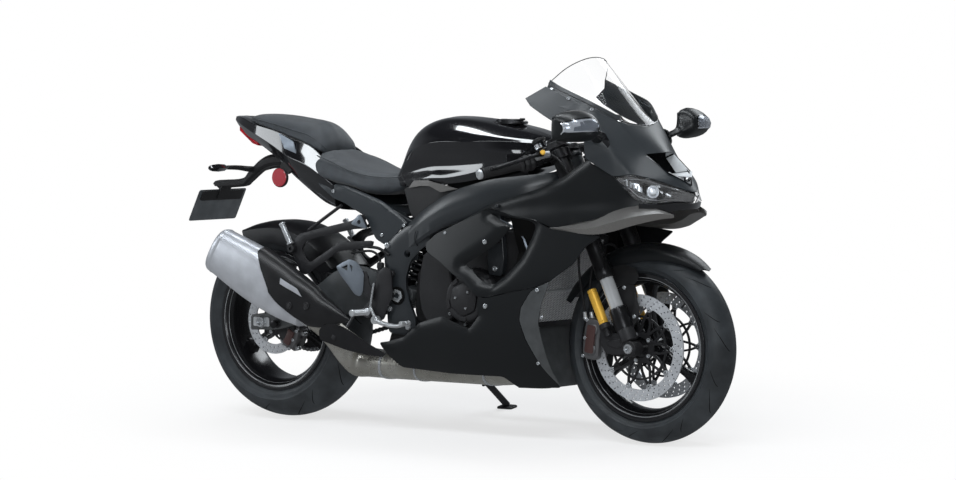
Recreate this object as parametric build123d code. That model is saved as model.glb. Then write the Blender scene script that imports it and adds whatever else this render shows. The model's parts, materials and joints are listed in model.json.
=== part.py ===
from build123d import *
import math
import os

# Sport motorcycle, millimetres. It is modelled upright: X forward, Y left, Z up, rear axle at
# x = 0, floor at z = 0. The last step leans the whole machine onto its side stand.

# ---------------------------------------------------------------- driving dimensions
WHEELBASE = 1450.0
RAKE = 25.0                     # steering axis from the vertical, degrees
TRAIL = 105.0
PARK_LEAN = 9.0                 # lean to the left on the side stand, degrees

FRONT_R, FRONT_W, FRONT_CROWN = 300.0, 120.0, 50.0      # tyre radius, width, tread height
REAR_R, REAR_W, REAR_CROWN = 320.4, 190.0, 58.0
RIM_SEAT_R = 216.0              # 17 inch bead seat
FRONT_RIM_HALF, REAR_RIM_HALF = 52.0, 84.0
TYRE_WALL = 9.0

FRONT_DISC_R, FRONT_DISC_Y, FRONT_DISC_BAND = 165.0, 69.5, 36.0
REAR_DISC_R, REAR_DISC_Y, REAR_DISC_BAND = 110.0, 84.0, 32.0
DISC_T = 5.0
SPROCKET_R, SPROCKET_Y = 104.0, 108.0
DRIVE_R, DRIVE_X, DRIVE_Z = 43.0, 655.0, 445.0          # gearbox sprocket
CHAIN_W, CHAIN_H = 17.0, 17.0
SPROCKET_T, TOOTH_H, TOOTH_GAP = 8.0, 3.0, 0.6

FORK_Y = 105.0
FORK_OUTER_R, FORK_INNER_R = 27.0, 21.5
FORK_OUTER_FROM, FORK_OUTER_TO = 237.0, 702.0           # along the leg, from the axle
FOOT_TOP = 70.0
STEM_R = 14.0
LOWER_YOKE = (420.0, 455.0)
UPPER_YOKE = (668.0, 690.0)
BAR_CLAMP = (632.0, 664.0)
CLAMP_R = 36.0                  # outside of the leg clamps
STEER_STOP, STEER_STEPS, STEER_CLEAR = 27.0, 2, 7.0     # degrees, steps of the swept space, mm
BAR_R, GRIP_R = 11.0, 17.0
GRIP_END = (WHEELBASE - 413.0, 345.0, 832.0)

AXLE_R, AXLE_BORE_R = 11.0, 9.0
REAR_AXLE_R, REAR_AXLE_BORE_R = 14.0, 11.0
PIVOT = (571.0, 430.0)
PIVOT_R, PIVOT_BORE_R = 15.0, 10.0
SPOOL_HOLE_R, SPOOL_HOLE_DEPTH = 4.0, 20.0              # paddock stand thread, M8
STAND_DIA = 24.0
SKIN = 4.0                      # fairing thickness
PANEL_GAP = 0.6                 # between fairing panels
RUN = 0.05                      # radial clearance of a pin in its bore
SEAT_GAP = 0.3                  # clearance of soft pieces


def axle_height(radius, width, crown):
    """Height of an axle in the upright frame so that the leaned tyre just meets the floor."""
    arc = ((width / 2) ** 2 + crown ** 2) / (2 * crown)
    return radius - arc + arc / math.cos(math.radians(PARK_LEAN)), arc


FRONT_Z, FRONT_ARC = axle_height(FRONT_R, FRONT_W, FRONT_CROWN)
REAR_Z, REAR_ARC = axle_height(REAR_R, REAR_W, REAR_CROWN)
FRONT_AXLE = (WHEELBASE, 0.0, FRONT_Z)
REAR_AXLE = (0.0, 0.0, REAR_Z)
SIN_R, COS_R = math.sin(math.radians(RAKE)), math.cos(math.radians(RAKE))
# distance of the steering axis behind the front axle, square to the axis
OFFSET = FRONT_Z * SIN_R - TRAIL * COS_R

# the body's stations are drawn for this wheelbase and front tyre: another wheelbase stretches the
# engine bay, and another tyre lifts the pieces that are drawn by the front axle
DRAWN_WHEELBASE, DRAWN_FRONT_R = 1450.0, 300.0
STRETCH_FROM, STRETCH_TO = 690.0, 1000.0
LIFT = FRONT_R - DRAWN_FRONT_R

NODES = {}


# ---------------------------------------------------------------- helpers
def along(x):
    """Where a station drawn for the usual wheelbase lies."""
    share = min(max((x - STRETCH_FROM) / (STRETCH_TO - STRETCH_FROM), 0.0), 1.0)
    return x + (WHEELBASE - DRAWN_WHEELBASE) * share


def keep(name, *solids):
    """Store the solids of one node."""
    NODES[name] = list(solids)


def fork_point(ahead, y, up):
    """A point given square to the fork leg, across, and along the leg, from the front axle."""
    return (WHEELBASE + ahead * COS_R - up * SIN_R, y, FRONT_Z + ahead * SIN_R + up * COS_R)


FORK_PLANE = Plane(origin=FRONT_AXLE, x_dir=(COS_R, 0, SIN_R), z_dir=(-SIN_R, 0, COS_R))


def at_fork(shape):
    """Move a shape drawn with the front axle at 0 and the leg along Z to its place."""
    return FORK_PLANE.location * shape


def tube(start, end, radius, bore=0.0):
    """A round bar or tube between two points."""
    a, b = Vector(*start), Vector(*end)
    plane = Plane(origin=a, z_dir=b - a)
    bar = Solid.make_cylinder(radius, (b - a).length, plane)
    if bore:
        bar = bar - Solid.make_cylinder(bore, (b - a).length, plane)
    return bar


def block(x, y, z):
    """A box from three (low, high) pairs."""
    low = (x[0], y[0], z[0])
    size = (x[1] - x[0], y[1] - y[0], z[1] - z[0])
    return Pos(*low) * Box(*size, align=(Align.MIN,) * 3)


def inset(points, gap):
    """The outline drawn in by gap on every side, with mitred corners."""
    n = len(points)
    area = sum(points[i][0] * points[(i + 1) % n][1] - points[(i + 1) % n][0] * points[i][1]
               for i in range(n))
    turn = 1 if area > 0 else -1
    result = []
    for i in range(n):
        a, b, c = Vector(*points[i - 1]), Vector(*points[i]), Vector(*points[(i + 1) % n])
        u, v = (b - a).normalized(), (c - b).normalized()
        side = Vector(-u.Y - v.Y, u.X + v.X) * turn
        grow = gap / max(1 + u.dot(v), 0.25)
        result.append((b.X + side.X * grow, b.Y + side.Y * grow))
    return result


def profile(points, y_low, y_high, gap=0.0):
    """An outline of (x, z) points, drawn in a side view and extruded from y_low to y_high."""
    points = inset([(along(x), z) for x, z in points], gap)
    face = Face(Wire.make_polygon([(x, z, 0) for x, z in points], close=True))
    body = extrude(face, y_high - y_low, dir=(0, 0, 1))
    # drawn (x, z, depth) becomes (x, -depth, z): start from the far side
    return Pos(0, y_high, 0) * Rot(90, 0, 0) * body


def mirrored(solid):
    return mirror(solid, Plane.XZ)


def both(solid):
    """The right-hand solid and its left-hand twin."""
    return [solid, mirrored(solid)]


def turned(points, axle, start=0.0, arc=360.0):
    """Revolve an outline of (radius, y) points about a wheel axle, start degrees from ahead."""
    face = Face(Wire.make_polygon([(r, 0, y) for r, y in points], close=True))
    ring = revolve(face, Axis.Z, revolution_arc=arc)
    return Pos(*axle) * Rot(90, 0, 0) * Rot(0, 0, start) * mirror(ring, Plane.XY)


def mesh_solid(triangles):
    """A closed solid with flat triangular sides."""
    shell = Shell([Face(Wire.make_polygon(t, close=True)) for t in triangles])
    solid = Solid(shell)
    return solid if solid.volume > 0 else Solid(solid.wrapped.Reversed())


def quads(rows, wrap):
    """Triangles of the bands between rows of points; wrap joins each row's ends."""
    tris = []
    for a, b in zip(rows, rows[1:]):
        n = len(a)
        for i in range(n if wrap else n - 1):
            j = (i + 1) % n
            for tri in ((a[i], a[j], b[j]), (a[i], b[j], b[i])):
                if len({tuple(round(c, 4) for c in p) for p in tri}) == 3:
                    tris.append(tri)
    return tris


def cap(row):
    """A fan that closes a loop of points."""
    n = len(row)
    mid = tuple(sum(p[k] for p in row) / n for k in range(3))
    return [(row[i], row[(i + 1) % n], mid) for i in range(n)]


def loft_rows(rows):
    """A closed solid through loops with the same number of points."""
    return mesh_solid(quads(rows, True) + cap(rows[0][::-1]) + cap(rows[-1]))


def sections(table):
    """A solid from rows (x, (y, z), (y, z) ...): each row is half a section, top to bottom."""
    rows = []
    for station, *half in table:
        x = along(station)
        right = [(x, -y, z) for y, z in half]
        left = [(x, y, z) for y, z in reversed(half) if y > 0]
        rows.append(right + left)
    return loft_rows(rows)


def beam(table):
    """A beam from rows (x, y, z, height, thickness): upright four-cornered sections."""
    rows = []
    for station, y, z, high, thick in table:
        x, h, t = along(station), high / 2, thick / 2
        rows.append([(x, y - t, z - h), (x, y + t, z - h), (x, y + t, z + h), (x, y - t, z + h)])
    return loft_rows(rows)


def sheet(points, faces, thickness):
    """A thick sheet: faces of named points, thickened to the side that their order turns from.

    Corners are listed anticlockwise as seen from outside."""
    names = sorted({n for f in faces for n in f})
    points = {n: (along(points[n][0]), *points[n][1:]) for n in names}
    normal = {n: Vector(0, 0, 0) for n in names}
    tris = []
    for f in faces:
        for i in range(1, len(f) - 1):
            tri = (f[0], f[i], f[i + 1])
            a, b, c = (Vector(*points[n]) for n in tri)
            up = (b - a).cross(c - a)
            for n in tri:
                normal[n] = normal[n] + up.normalized()
            tris.append(tri)
    outer = {n: tuple(Vector(*points[n])) for n in names}
    inner = {n: tuple(Vector(*points[n]) - normal[n].normalized() * thickness) for n in names}
    count = {}
    for a, b, c in tris:
        for e in ((a, b), (b, c), (c, a)):
            count[e] = count.get(e, 0) + 1
    sides = []
    for a, b in count:
        if (b, a) not in count:
            sides += [(outer[a], inner[b], outer[b]), (outer[a], inner[a], inner[b])]
    return mesh_solid([tuple(outer[n] for n in t) for t in tris]
                      + [tuple(inner[n] for n in reversed(t)) for t in tris] + sides)


def grid_sheet(rows, thickness):
    """A thick sheet through a grid of points."""
    points = {(i, j): p for i, row in enumerate(rows) for j, p in enumerate(row)}
    faces = [((i, j), (i, j + 1), (i + 1, j + 1), (i + 1, j))
             for i in range(len(rows) - 1) for j in range(len(rows[0]) - 1)]
    return sheet(points, faces, thickness)


def cut(solid, *others):
    """Take away every other solid; the largest piece stays."""
    result = solid
    for other in others:
        result = result - other
    pieces = result.solids()
    return max(pieces, key=lambda s: s.volume)


def both_cut(right, *others):
    """The right-hand solid and its twin, each with the other solids taken away."""
    return [cut(right, *others), cut(mirrored(right), *others)]


def one(shape):
    """The single solid of a shape that booleans returned."""
    return max(shape.solids(), key=lambda s: s.volume)


# ---------------------------------------------------------------- wheels
def tyre(axle, radius, width, crown, arc_r, rim_half):
    """A hollow tyre: round tread, straight sidewalls, beads against the rim's flanges."""
    bead = rim_half - 6.2
    edge = radius - crown
    half = width / 2
    wall = TYRE_WALL

    def side(s):
        return [(RIM_SEAT_R + 0.2, s * bead), (RIM_SEAT_R + 15, s * bead), (edge, s * half)]

    outer_top = (radius, 0)
    inner_half, inner_top = half - wall, radius - wall - 1
    with BuildSketch(Plane.XZ) as sk:
        with BuildLine():
            Polyline(side(-1))
            ThreePointArc((edge, -half), outer_top, (edge, half))
            Polyline(side(1)[::-1])
            Line((RIM_SEAT_R + 0.2, bead), (RIM_SEAT_R + 0.2, bead - 14))
            Polyline((RIM_SEAT_R + 0.2, bead - 14), (RIM_SEAT_R + 17, bead - 12), (edge, inner_half))
            ThreePointArc((edge, inner_half), (inner_top, 0), (edge, -inner_half))
            Polyline((edge, -inner_half), (RIM_SEAT_R + 17, 12 - bead), (RIM_SEAT_R + 0.2, 14 - bead))
            Line((RIM_SEAT_R + 0.2, 14 - bead), (RIM_SEAT_R + 0.2, -bead))
        make_face()
    ring = revolve(sk.sketch, Axis.Z)
    return one(Pos(*axle) * Rot(90, 0, 0) * ring)


def rim(axle, rim_half, hub_r, hub_half, sleeve, bore, spoke_t):
    """A cast wheel: barrel, three waisted spokes, hub with its spacer sleeves, bored."""
    half = [(229, rim_half), (208, rim_half), (194, rim_half - 28)]
    seat = [(201, rim_half - 32), (214, rim_half - 22), (RIM_SEAT_R, rim_half - 6), (229, rim_half - 6)]
    mirror_half = [(r, -y) for r, y in half[::-1]]
    mirror_seat = [(r, -y) for r, y in seat[::-1]]
    wheel = turned(half + mirror_half + mirror_seat + seat, axle)
    wheel = wheel + turned([(bore - 2, -hub_half), (hub_r, -hub_half), (hub_r, hub_half),
                            (bore - 2, hub_half)], axle)
    sleeve_r, sleeve_half = sleeve
    wheel = wheel + turned([(bore - 2, -sleeve_half), (sleeve_r, -sleeve_half),
                            (sleeve_r, sleeve_half), (bore - 2, sleeve_half)], axle)
    # half width of a spoke at each radius
    waist = [(20, 30), (45, 30), (85, 17), (150, 15), (180, 19), (197, 30)]
    outline = [(r, w) for r, w in waist] + [(r, -w) for r, w in waist[::-1]]
    for angle in (90, 210, 330):
        face = Face(Wire.make_polygon([(r, w, 0) for r, w in outline], close=True))
        spoke = Pos(0, 0, -spoke_t / 2) * extrude(face, spoke_t, dir=(0, 0, 1))
        wheel = wheel + Pos(*axle) * Rot(90, 0, 0) * Rot(0, 0, angle) * spoke
    return one(wheel - turned([(0, -200), (bore, -200), (bore, 200), (0, 200)], axle))


def disc(axle, radius, band, y, hub_face, hole_r):
    """A brake disc ring on its dished carrier; hub_face is where the carrier meets the hub."""
    s = 1 if y > 0 else -1
    inner = radius - band
    ring = [(inner, abs(y) - DISC_T / 2), (radius, abs(y) - DISC_T / 2),
            (radius, abs(y) + DISC_T / 2), (inner, abs(y) + DISC_T / 2)]
    dish = [(hole_r, hub_face), (inner - 30, hub_face), (inner + 2, abs(y) - DISC_T / 2),
            (inner + 2, abs(y) + DISC_T / 2), (inner - 34, hub_face + 6), (hole_r, hub_face + 6)]
    ring_s = turned([(r, s * v) for r, v in ring], axle)
    dish_s = turned([(r, s * v) for r, v in dish], axle)
    return one(ring_s + dish_s)


def front_wheel():
    keep("front_tyre", tyre(FRONT_AXLE, FRONT_R, FRONT_W, FRONT_CROWN, FRONT_ARC, FRONT_RIM_HALF))
    keep("front_rim", rim(FRONT_AXLE, FRONT_RIM_HALF, 32, 60, (18, 82), AXLE_R + RUN, 30))
    keep("front_discs", *[disc(FRONT_AXLE, FRONT_DISC_R, FRONT_DISC_BAND, s * FRONT_DISC_Y, 60, 18)
                          for s in (-1, 1)])


def rear_wheel():
    keep("rear_tyre", tyre(REAR_AXLE, REAR_R, REAR_W, REAR_CROWN, REAR_ARC, REAR_RIM_HALF))
    keep("rear_rim", rim(REAR_AXLE, REAR_RIM_HALF, 42, 78, (24, 118), REAR_AXLE_R + RUN, 40))
    keep("rear_disc", disc(REAR_AXLE, REAR_DISC_R, REAR_DISC_BAND, -REAR_DISC_Y, 78, 24))
    teeth_r, low, high = SPROCKET_R + TOOTH_H, SPROCKET_Y - SPROCKET_T / 2, SPROCKET_Y + SPROCKET_T / 2
    carrier = turned([(24, 78), (70, 78), (70, low), (teeth_r, low), (teeth_r, high), (24, high)],
                     REAR_AXLE)
    keep("rear_sprocket", one(carrier))


# ---------------------------------------------------------------- steering
GRIP_FROM, GRIP_LEN = 132.0, 138.0
CLAMP_MID = (BAR_CLAMP[0] + BAR_CLAMP[1]) / 2


def bar_point(along, ahead=0.0, up=0.0):
    """A point by the right-hand bar: distance from the fork leg, ahead of it and above it."""
    x, y, z = fork_point(0, -FORK_Y, CLAMP_MID)
    end = Vector(GRIP_END[0], -GRIP_END[1], GRIP_END[2])
    way = (end - Vector(x, y, z)).normalized()
    rise = Vector(-SIN_R, 0, COS_R)
    front = rise.cross(way).normalized()
    p = Vector(x, y, z) + way * along + front * ahead + rise * up
    return (p.X, p.Y, p.Z)


def yoke(low, high, clamp_r, stem_r):
    """A fork yoke: two leg clamps and a stem boss joined by a plate, bored for the legs."""
    depth = high - low
    outline = [(-OFFSET - stem_r, 0), (-OFFSET - 10, -40), (-clamp_r + 6, -FORK_Y - 20),
               (clamp_r - 12, -FORK_Y - 20), (8, -46), (4, 46), (clamp_r - 12, FORK_Y + 20),
               (-clamp_r + 6, FORK_Y + 20), (-OFFSET - 10, 40)]
    face = Face(Wire.make_polygon([(x, y, low) for x, y in outline], close=True))
    body = extrude(face, depth, dir=(0, 0, 1))
    for y in (-FORK_Y, FORK_Y):
        body = body + Solid.make_cylinder(clamp_r, depth, Plane(origin=(0, y, low)))
    body = body + Solid.make_cylinder(stem_r, depth, Plane(origin=(-OFFSET, 0, low)))
    for y in (-FORK_Y, FORK_Y):
        body = body - Solid.make_cylinder(FORK_OUTER_R + RUN, depth, Plane(origin=(0, y, low)))
    return body


def yokes():
    lower = yoke(*LOWER_YOKE, 38, 36)
    lower = lower + Solid.make_cylinder(STEM_R, UPPER_YOKE[1] + 4 - LOWER_YOKE[0],
                                        Plane(origin=(-OFFSET, 0, LOWER_YOKE[0])))
    upper = yoke(*UPPER_YOKE, CLAMP_R, 34)
    upper = upper - Solid.make_cylinder(STEM_R + RUN, 60, Plane(origin=(-OFFSET, 0, UPPER_YOKE[0])))
    nut = Solid.make_cylinder(20, 9, Plane(origin=(-OFFSET, 0, UPPER_YOKE[1])))
    nut = nut - Solid.make_cylinder(STEM_R + RUN, 9, Plane(origin=(-OFFSET, 0, UPPER_YOKE[1])))
    keep("fork_yokes", one(at_fork(lower)), one(at_fork(upper + nut)))


RESERVOIR = (108.0, 224.0, 15.0, -66.0)        # from, to, radius, behind the leg
CALIPER_LUG_Y = (84.0, 100.0)
CALIPER_BACK, CALIPER_TILT, CALIPER_Z = 156.0, 8.0, 322.0      # behind the axle, degrees, height
CALIPER_HIGH, CALIPER_DEEP, CALIPER_WIDE = 128.0, 62.0, 60.0
PAD_T = 6.0


def leg(y):
    """Outer tube, inner tube, axle foot and damper reservoir of one fork leg."""
    outer = Solid.make_cylinder(FORK_OUTER_R, FORK_OUTER_TO - FORK_OUTER_FROM,
                                Plane(origin=(0, y, FORK_OUTER_FROM)))
    bore_depth = 300
    outer = outer - Solid.make_cylinder(FORK_INNER_R + RUN, bore_depth,
                                        Plane(origin=(0, y, FORK_OUTER_FROM)))
    inner_len = FORK_OUTER_FROM + bore_depth - FOOT_TOP
    inner = Solid.make_cylinder(FORK_INNER_R, inner_len, Plane(origin=(0, y, FOOT_TOP)))
    inner = inner - Solid.make_cylinder(FORK_INNER_R - 4, inner_len - 10,
                                        Plane(origin=(0, y, FOOT_TOP + 10)))
    low, high, r, behind = RESERVOIR
    pot = Solid.make_cylinder(r, high - low, Plane(origin=(behind, y, low)))
    side = -1 if y < 0 else 1
    foot = Solid.make_cylinder(FORK_INNER_R + 5.5, FOOT_TOP - 24, Plane(origin=(0, y, 24)))
    foot = foot + Solid.make_cylinder(25, 44, Plane(origin=(0, y - 22, 0), z_dir=(0, 1, 0)))
    y_lug = sorted(side * v for v in CALIPER_LUG_Y)
    lug = [(12, 10), (-30, -8), (-108, 22), (-112, 60), (-96, 104), (-72, 104), (-46, 70), (-18, 66)]
    face = Face(Wire.make_polygon([(x, y_lug[0], z) for x, z in lug], close=True))
    foot = foot + extrude(face, y_lug[1] - y_lug[0], dir=(0, 1, 0))
    foot = foot + Solid.make_cylinder(r + 3, 14, Plane(origin=(behind, y, low - 14)))
    bore = Solid.make_cylinder(AXLE_R + RUN, 60, Plane(origin=(0, y - 30, 0), z_dir=(0, 1, 0)))
    return [one(at_fork(s)) for s in (outer, inner, foot - bore, pot)]


def fork():
    legs = [leg(-FORK_Y), leg(FORK_Y)]
    for name, index in (("fork_outer_tubes", 0), ("fork_inner_tubes", 1), ("fork_feet", 2),
                        ("damper_reservoirs", 3)):
        keep(name, *[parts[index] for parts in legs])
    axle = tube((WHEELBASE, -FORK_Y - 24, FRONT_Z), (WHEELBASE, FORK_Y + 22, FRONT_Z),
                AXLE_R, AXLE_BORE_R)
    head = tube((WHEELBASE, -FORK_Y - 29, FRONT_Z), (WHEELBASE, -FORK_Y - 22.1, FRONT_Z),
                15, AXLE_BORE_R)
    keep("front_axle", one(axle + head))


def front_brakes():
    """Radial calipers behind the legs, each slotted for its disc."""
    high, deep, wide, slot = CALIPER_HIGH, CALIPER_DEEP, CALIPER_WIDE, DISC_T + 2 * PAD_T
    body = Box(deep, wide, high) - Pos(14, 0, 0) * Box(deep, slot, high + 2)
    for z in (-1, 1):
        body = body - Pos(-deep / 2, 0, z * high / 2) * Rot(0, 45, 0) * Box(22, wide + 2, 22)
    centre = Pos(WHEELBASE - CALIPER_BACK, -FRONT_DISC_Y - 2, CALIPER_Z + LIFT)
    body = centre * Rot(0, CALIPER_TILT, 0) * body
    low, high, r, behind = RESERVOIR
    room = at_fork(Solid.make_cylinder(r + 1, high - low, Plane(origin=(behind, -FORK_Y, low))))
    keep("front_calipers", *both(cut(one(body), NODES["fork_feet"][0], room)))


def bars():
    ring = Solid.make_cylinder(CLAMP_R, BAR_CLAMP[1] - BAR_CLAMP[0],
                               Plane(origin=(0, -FORK_Y, BAR_CLAMP[0])))
    hole = Solid.make_cylinder(FORK_OUTER_R + RUN, BAR_CLAMP[1] - BAR_CLAMP[0],
                               Plane(origin=(0, -FORK_Y, BAR_CLAMP[0])))
    ring, hole = at_fork(ring), at_fork(hole)
    end = GRIP_FROM + GRIP_LEN
    bar = tube(bar_point(20), bar_point(end + 12), BAR_R)
    weight = tube(bar_point(end + 0.2), bar_point(end + 13), GRIP_R - 1)
    clamp = one((ring + bar + weight) - hole)
    grip = tube(bar_point(GRIP_FROM), bar_point(end), GRIP_R, BAR_R + RUN)
    pod = tube(bar_point(92), bar_point(GRIP_FROM - 1), 23, BAR_R + RUN)
    pod = pod + tube(bar_point(104, -14, 8), bar_point(124, -14, 8), 15)
    pod = pod - tube(bar_point(80), bar_point(GRIP_FROM + 4), BAR_R + RUN)
    # lever perch with its pump, clamped inboard of the switches
    perch = tube(bar_point(66), bar_point(88), 18)
    perch = perch + tube(bar_point(77, 8, 0), bar_point(77, 40, 0), 11)
    perch = perch + tube(bar_point(52, 40, 2), bar_point(100, 44, 2), 12)
    perch = perch - tube(bar_point(40), bar_point(GRIP_FROM), BAR_R + RUN)
    # (along the bar, ahead of it, above it, height, thickness) of the lever
    rows = []
    for along, ahead, up, high, thick in ((88, 58, 2, 14, 10), (112, 66, 0, 13, 9),
                                          (150, 64, -3, 12, 8), (200, 60, -6, 12, 8),
                                          (250, 62, -9, 13, 8), (262, 68, -10, 8, 7)):
        rows.append([bar_point(along, ahead - thick / 2, up - high / 2),
                     bar_point(along, ahead + thick / 2, up - high / 2),
                     bar_point(along, ahead + thick / 2, up + high / 2),
                     bar_point(along, ahead - thick / 2, up + high / 2)])
    lever = cut(loft_rows(rows), perch)
    pot = Solid.make_cylinder(21, 30, Plane(origin=bar_point(78, 62, 16), z_dir=(-SIN_R, 0, COS_R)))
    neck = tube(bar_point(77, 42, 4), bar_point(78, 60, 20), 6)
    keep("handlebars", *both(clamp))
    keep("grips", *both(one(grip)))
    keep("bar_controls", *both(one(pod)), one(perch + neck + pot), mirrored(one(perch)))
    keep("levers", *both(lever))


HOSE_R = 4.0
HOSE_RIGHT = [(1268, -96, 380), (1262, -100, 440), (1258, -112, 500), (1268, -136, 560),
              (1284, -152, 622), (1284, -160, 690), (1268, -156, 755), (1246, -142, 815)]
HOSE_CROSS = [(1286, -86, 380), (1276, -86, 446), (1276, -84, 506), (1282, -72, 566),
              (1284, -40, 612)]


def hose(points):
    """A round hose along runs joined by arcs as large as the runs allow."""
    radii = []
    for a, b, c in zip(points, points[1:], points[2:]):
        u, v = Vector(*b) - Vector(*a), Vector(*c) - Vector(*b)
        radii.append(0.45 * min(u.length, v.length) / math.tan(math.radians(u.get_angle(v)) / 2))
    print("hose radii", [round(r) for r in radii])
    path = FilletPolyline(*points, radius=radii)
    ring = Plane(origin=path @ 0, z_dir=path % 0) * Circle(HOSE_R)
    return one(sweep(ring, path=path))


def brake_hoses():
    """One hose from the pump to the right caliper, one over the mudguard to the left caliper."""
    pump_end = [bar_point(30, 54, -34), bar_point(38, 42, -10), bar_point(51.5, 40, 2)]
    across = [*HOSE_CROSS, *[(x, -y, z) for x, y, z in HOSE_CROSS[::-1]]]
    right = cut(hose([*HOSE_RIGHT, *pump_end]), *NODES["front_calipers"], *NODES["bar_controls"])
    keep("front_brake_hoses", right, cut(hose(across), *NODES["front_calipers"]))


FORK_GUARD = [(1384, 486), (1384, 430), (1392, 392), (1400, 372), (1452, 380), (1462, 420),
              (1442, 486)]
FENDER_CHEEK = [(1392, 560), (1344, 548), (1350, 500), (1384, 484), (1442, 484), (1440, 540)]


def front_fender():
    """A thin mudguard over the tyre with a guard down each fork leg."""
    inner, outer, half = FRONT_R + 14, FRONT_R + 18, 68
    wall = 4.0
    # (radius, y) of the arch section, outside then inside
    skirt, side, turn_in = FRONT_R - 38, FRONT_R - 8, FRONT_R + 8
    out = [(skirt, half), (side, half + 1), (turn_in, half - 8), (outer - 2, half - 26),
           (outer + 4, 0)]
    section = ([(r, y) for r, y in out] + [(r, -y) for r, y in out[-2::-1]]
               + [(skirt, -half + wall), (side - 1, -half + wall), (turn_in - 4, -half + 12),
                  (inner - 2, -half + 27), (inner + 4, 0)]
               + [(r, y) for r, y in ((inner - 2, half - 27), (turn_in - 4, half - 12),
                                      (side - 1, half - wall), (skirt, half - wall))])
    arch = turned(section, FRONT_AXLE, 54, 100)
    guard = [(x, z + LIFT) for x, z in FORK_GUARD]
    cheek = [(x, z + LIFT) for x, z in FENDER_CHEEK]
    plate = profile(guard, -half - 14, -half - 10) + profile(cheek, -half - 14, -half + 0.5)
    x, _, z = fork_point(0, 0, 100)
    boss = tube((x, -half - 12, z), (x, -FORK_Y, z), 9)
    x, _, z = fork_point(0, 0, 222)
    boss = boss + tube((x, -half - 12, z), (x, -FORK_Y, z), 9)
    side = plate + boss
    whole = arch + side + mirrored(side)
    keep("front_fender", cut(one(whole), *NODES["fork_inner_tubes"], *NODES["fork_feet"],
                             *NODES["fork_outer_tubes"]))


# ---------------------------------------------------------------- frame and engine
HEAD_LOW, HEAD_HIGH = LOWER_YOKE[1] + 3, UPPER_YOKE[0] - 2.0
SPAR = [  # x, y, z, height, thickness of the right-hand spar, from the pivot plate to the head
    (600, -136, 610, 96, 26), (690, -150, 668, 96, 30), (800, -156, 718, 104, 32),
    (930, -150, 754, 106, 32), (1040, -118, 775, 96, 30), (1110, -66, 793, 80, 28),
    (1150, -16, 806, 78, 28)]
PIVOT_PLATE = [(613, 664), (534, 576), (546, 516), (538, 440), (552, 345), (590, 320), (640, 340),
               (645, 398), (634, 489), (652, 540), (700, 600), (680, 650)]
FRAME_Y = (-148.0, -120.0)


def main_frame():
    head = Solid.make_cylinder(33, HEAD_HIGH - HEAD_LOW, Plane(origin=(-OFFSET, 0, HEAD_LOW)))
    bore = Solid.make_cylinder(STEM_R + SEAT_GAP, 400, Plane(origin=(-OFFSET, 0, 400)))
    body = at_fork(head)
    spar = beam(SPAR)
    plate = profile(PIVOT_PLATE, *FRAME_Y)
    side = spar + plate
    body = body + side + mirrored(side)
    cross = block((575, 640), (-122, 122), (610, 655)) + block((560, 600), (-122, 122), (330, 352))
    body = body + cross
    body = body - at_fork(bore)
    body = one(body)
    x, z = PIVOT
    pin = tube((x, -160, z), (x, 160, z), PIVOT_R + RUN)
    keep("main_frame", one(body - pin))
    shaft = tube((x, -154, z), (x, 154, z), PIVOT_R, PIVOT_BORE_R)
    collar = tube((x, -154, z), (x, -148.1, z), 22, PIVOT_BORE_R)
    keep("swingarm_pivot", one(shaft + collar + mirrored(collar)))


ENGINE_Y = 118.0
ENGINE = [(665, 330), (700, 235), (960, 222), (1060, 300), (1082, 420), (1120, 600), (1040, 660),
          (850, 640), (760, 590), (690, 560), (668, 500)]


CLUTCH, STARTER, GENERATOR = (870, 433), (1000, 400), (930, 420)     # x, z of the round covers


def engine():
    body = profile(ENGINE, -ENGINE_Y, ENGINE_Y)
    room = DRIVE_R + 4 + CHAIN_H / 2 + 6
    body = body - tube((DRIVE_X, 92, DRIVE_Z), (DRIVE_X, 140, DRIVE_Z), room)
    body = body + tube((DRIVE_X, 80, DRIVE_Z), (DRIVE_X, SPROCKET_Y + 12, DRIVE_Z), 16)
    body = body + tube((DRIVE_X, SPROCKET_Y - 4, DRIVE_Z), (DRIVE_X, SPROCKET_Y + 4, DRIVE_Z),
                       DRIVE_R + 3)
    keep("engine_block", one(body))
    x, z = along(CLUTCH[0]), CLUTCH[1]
    clutch = tube((x, -150, z), (x, -ENGINE_Y, z), 92)
    clutch = clutch + tube((x, -196, z), (x, -150, z), 74)
    x, z = along(STARTER[0]), STARTER[1]
    starter = tube((x, -158, z), (x, -ENGINE_Y, z), 48)
    x, z = along(GENERATOR[0]), GENERATOR[1]
    generator = tube((x, ENGINE_Y, z), (x, 168, z), 86)
    sprocket_case = tube((655, 126, 445), (655, 140, 445), 62)
    keep("engine_covers", one(clutch), cut(one(starter), clutch), one(generator),
         cut(one(sprocket_case), NODES["main_frame"][0], generator))


def radiator():
    core = Pos(along(1130), 0, 495) * Rot(0, 13, 0) * Box(30, 330, 290)
    keep("radiator", cut(one(core), NODES["engine_block"][0]))


ARM = [  # x, y, z, height, thickness of the right-hand swingarm beam
    (PIVOT[0] - 26, -88, 428, 60, 34), (480, -96, 420, 66, 36), (400, -112, 402, 84, 26),
    (230, -132, 372, 84, 26), (130, -135, 346, 68, 26), (60, -135, 330, 62, 26), (-46, -135, 318, 50, 26)]
TALL_ARM = [  # the right-hand beam, which has no chain beside it, stands higher in the middle
    ARM[0], (480, -100, 438, 106, 36), (400, -118, 444, 148, 26), (310, -130, 428, 148, 26),
    (230, -134, 396, 108, 26), (130, -135, 352, 72, 26), *ARM[-2:]]


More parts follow.
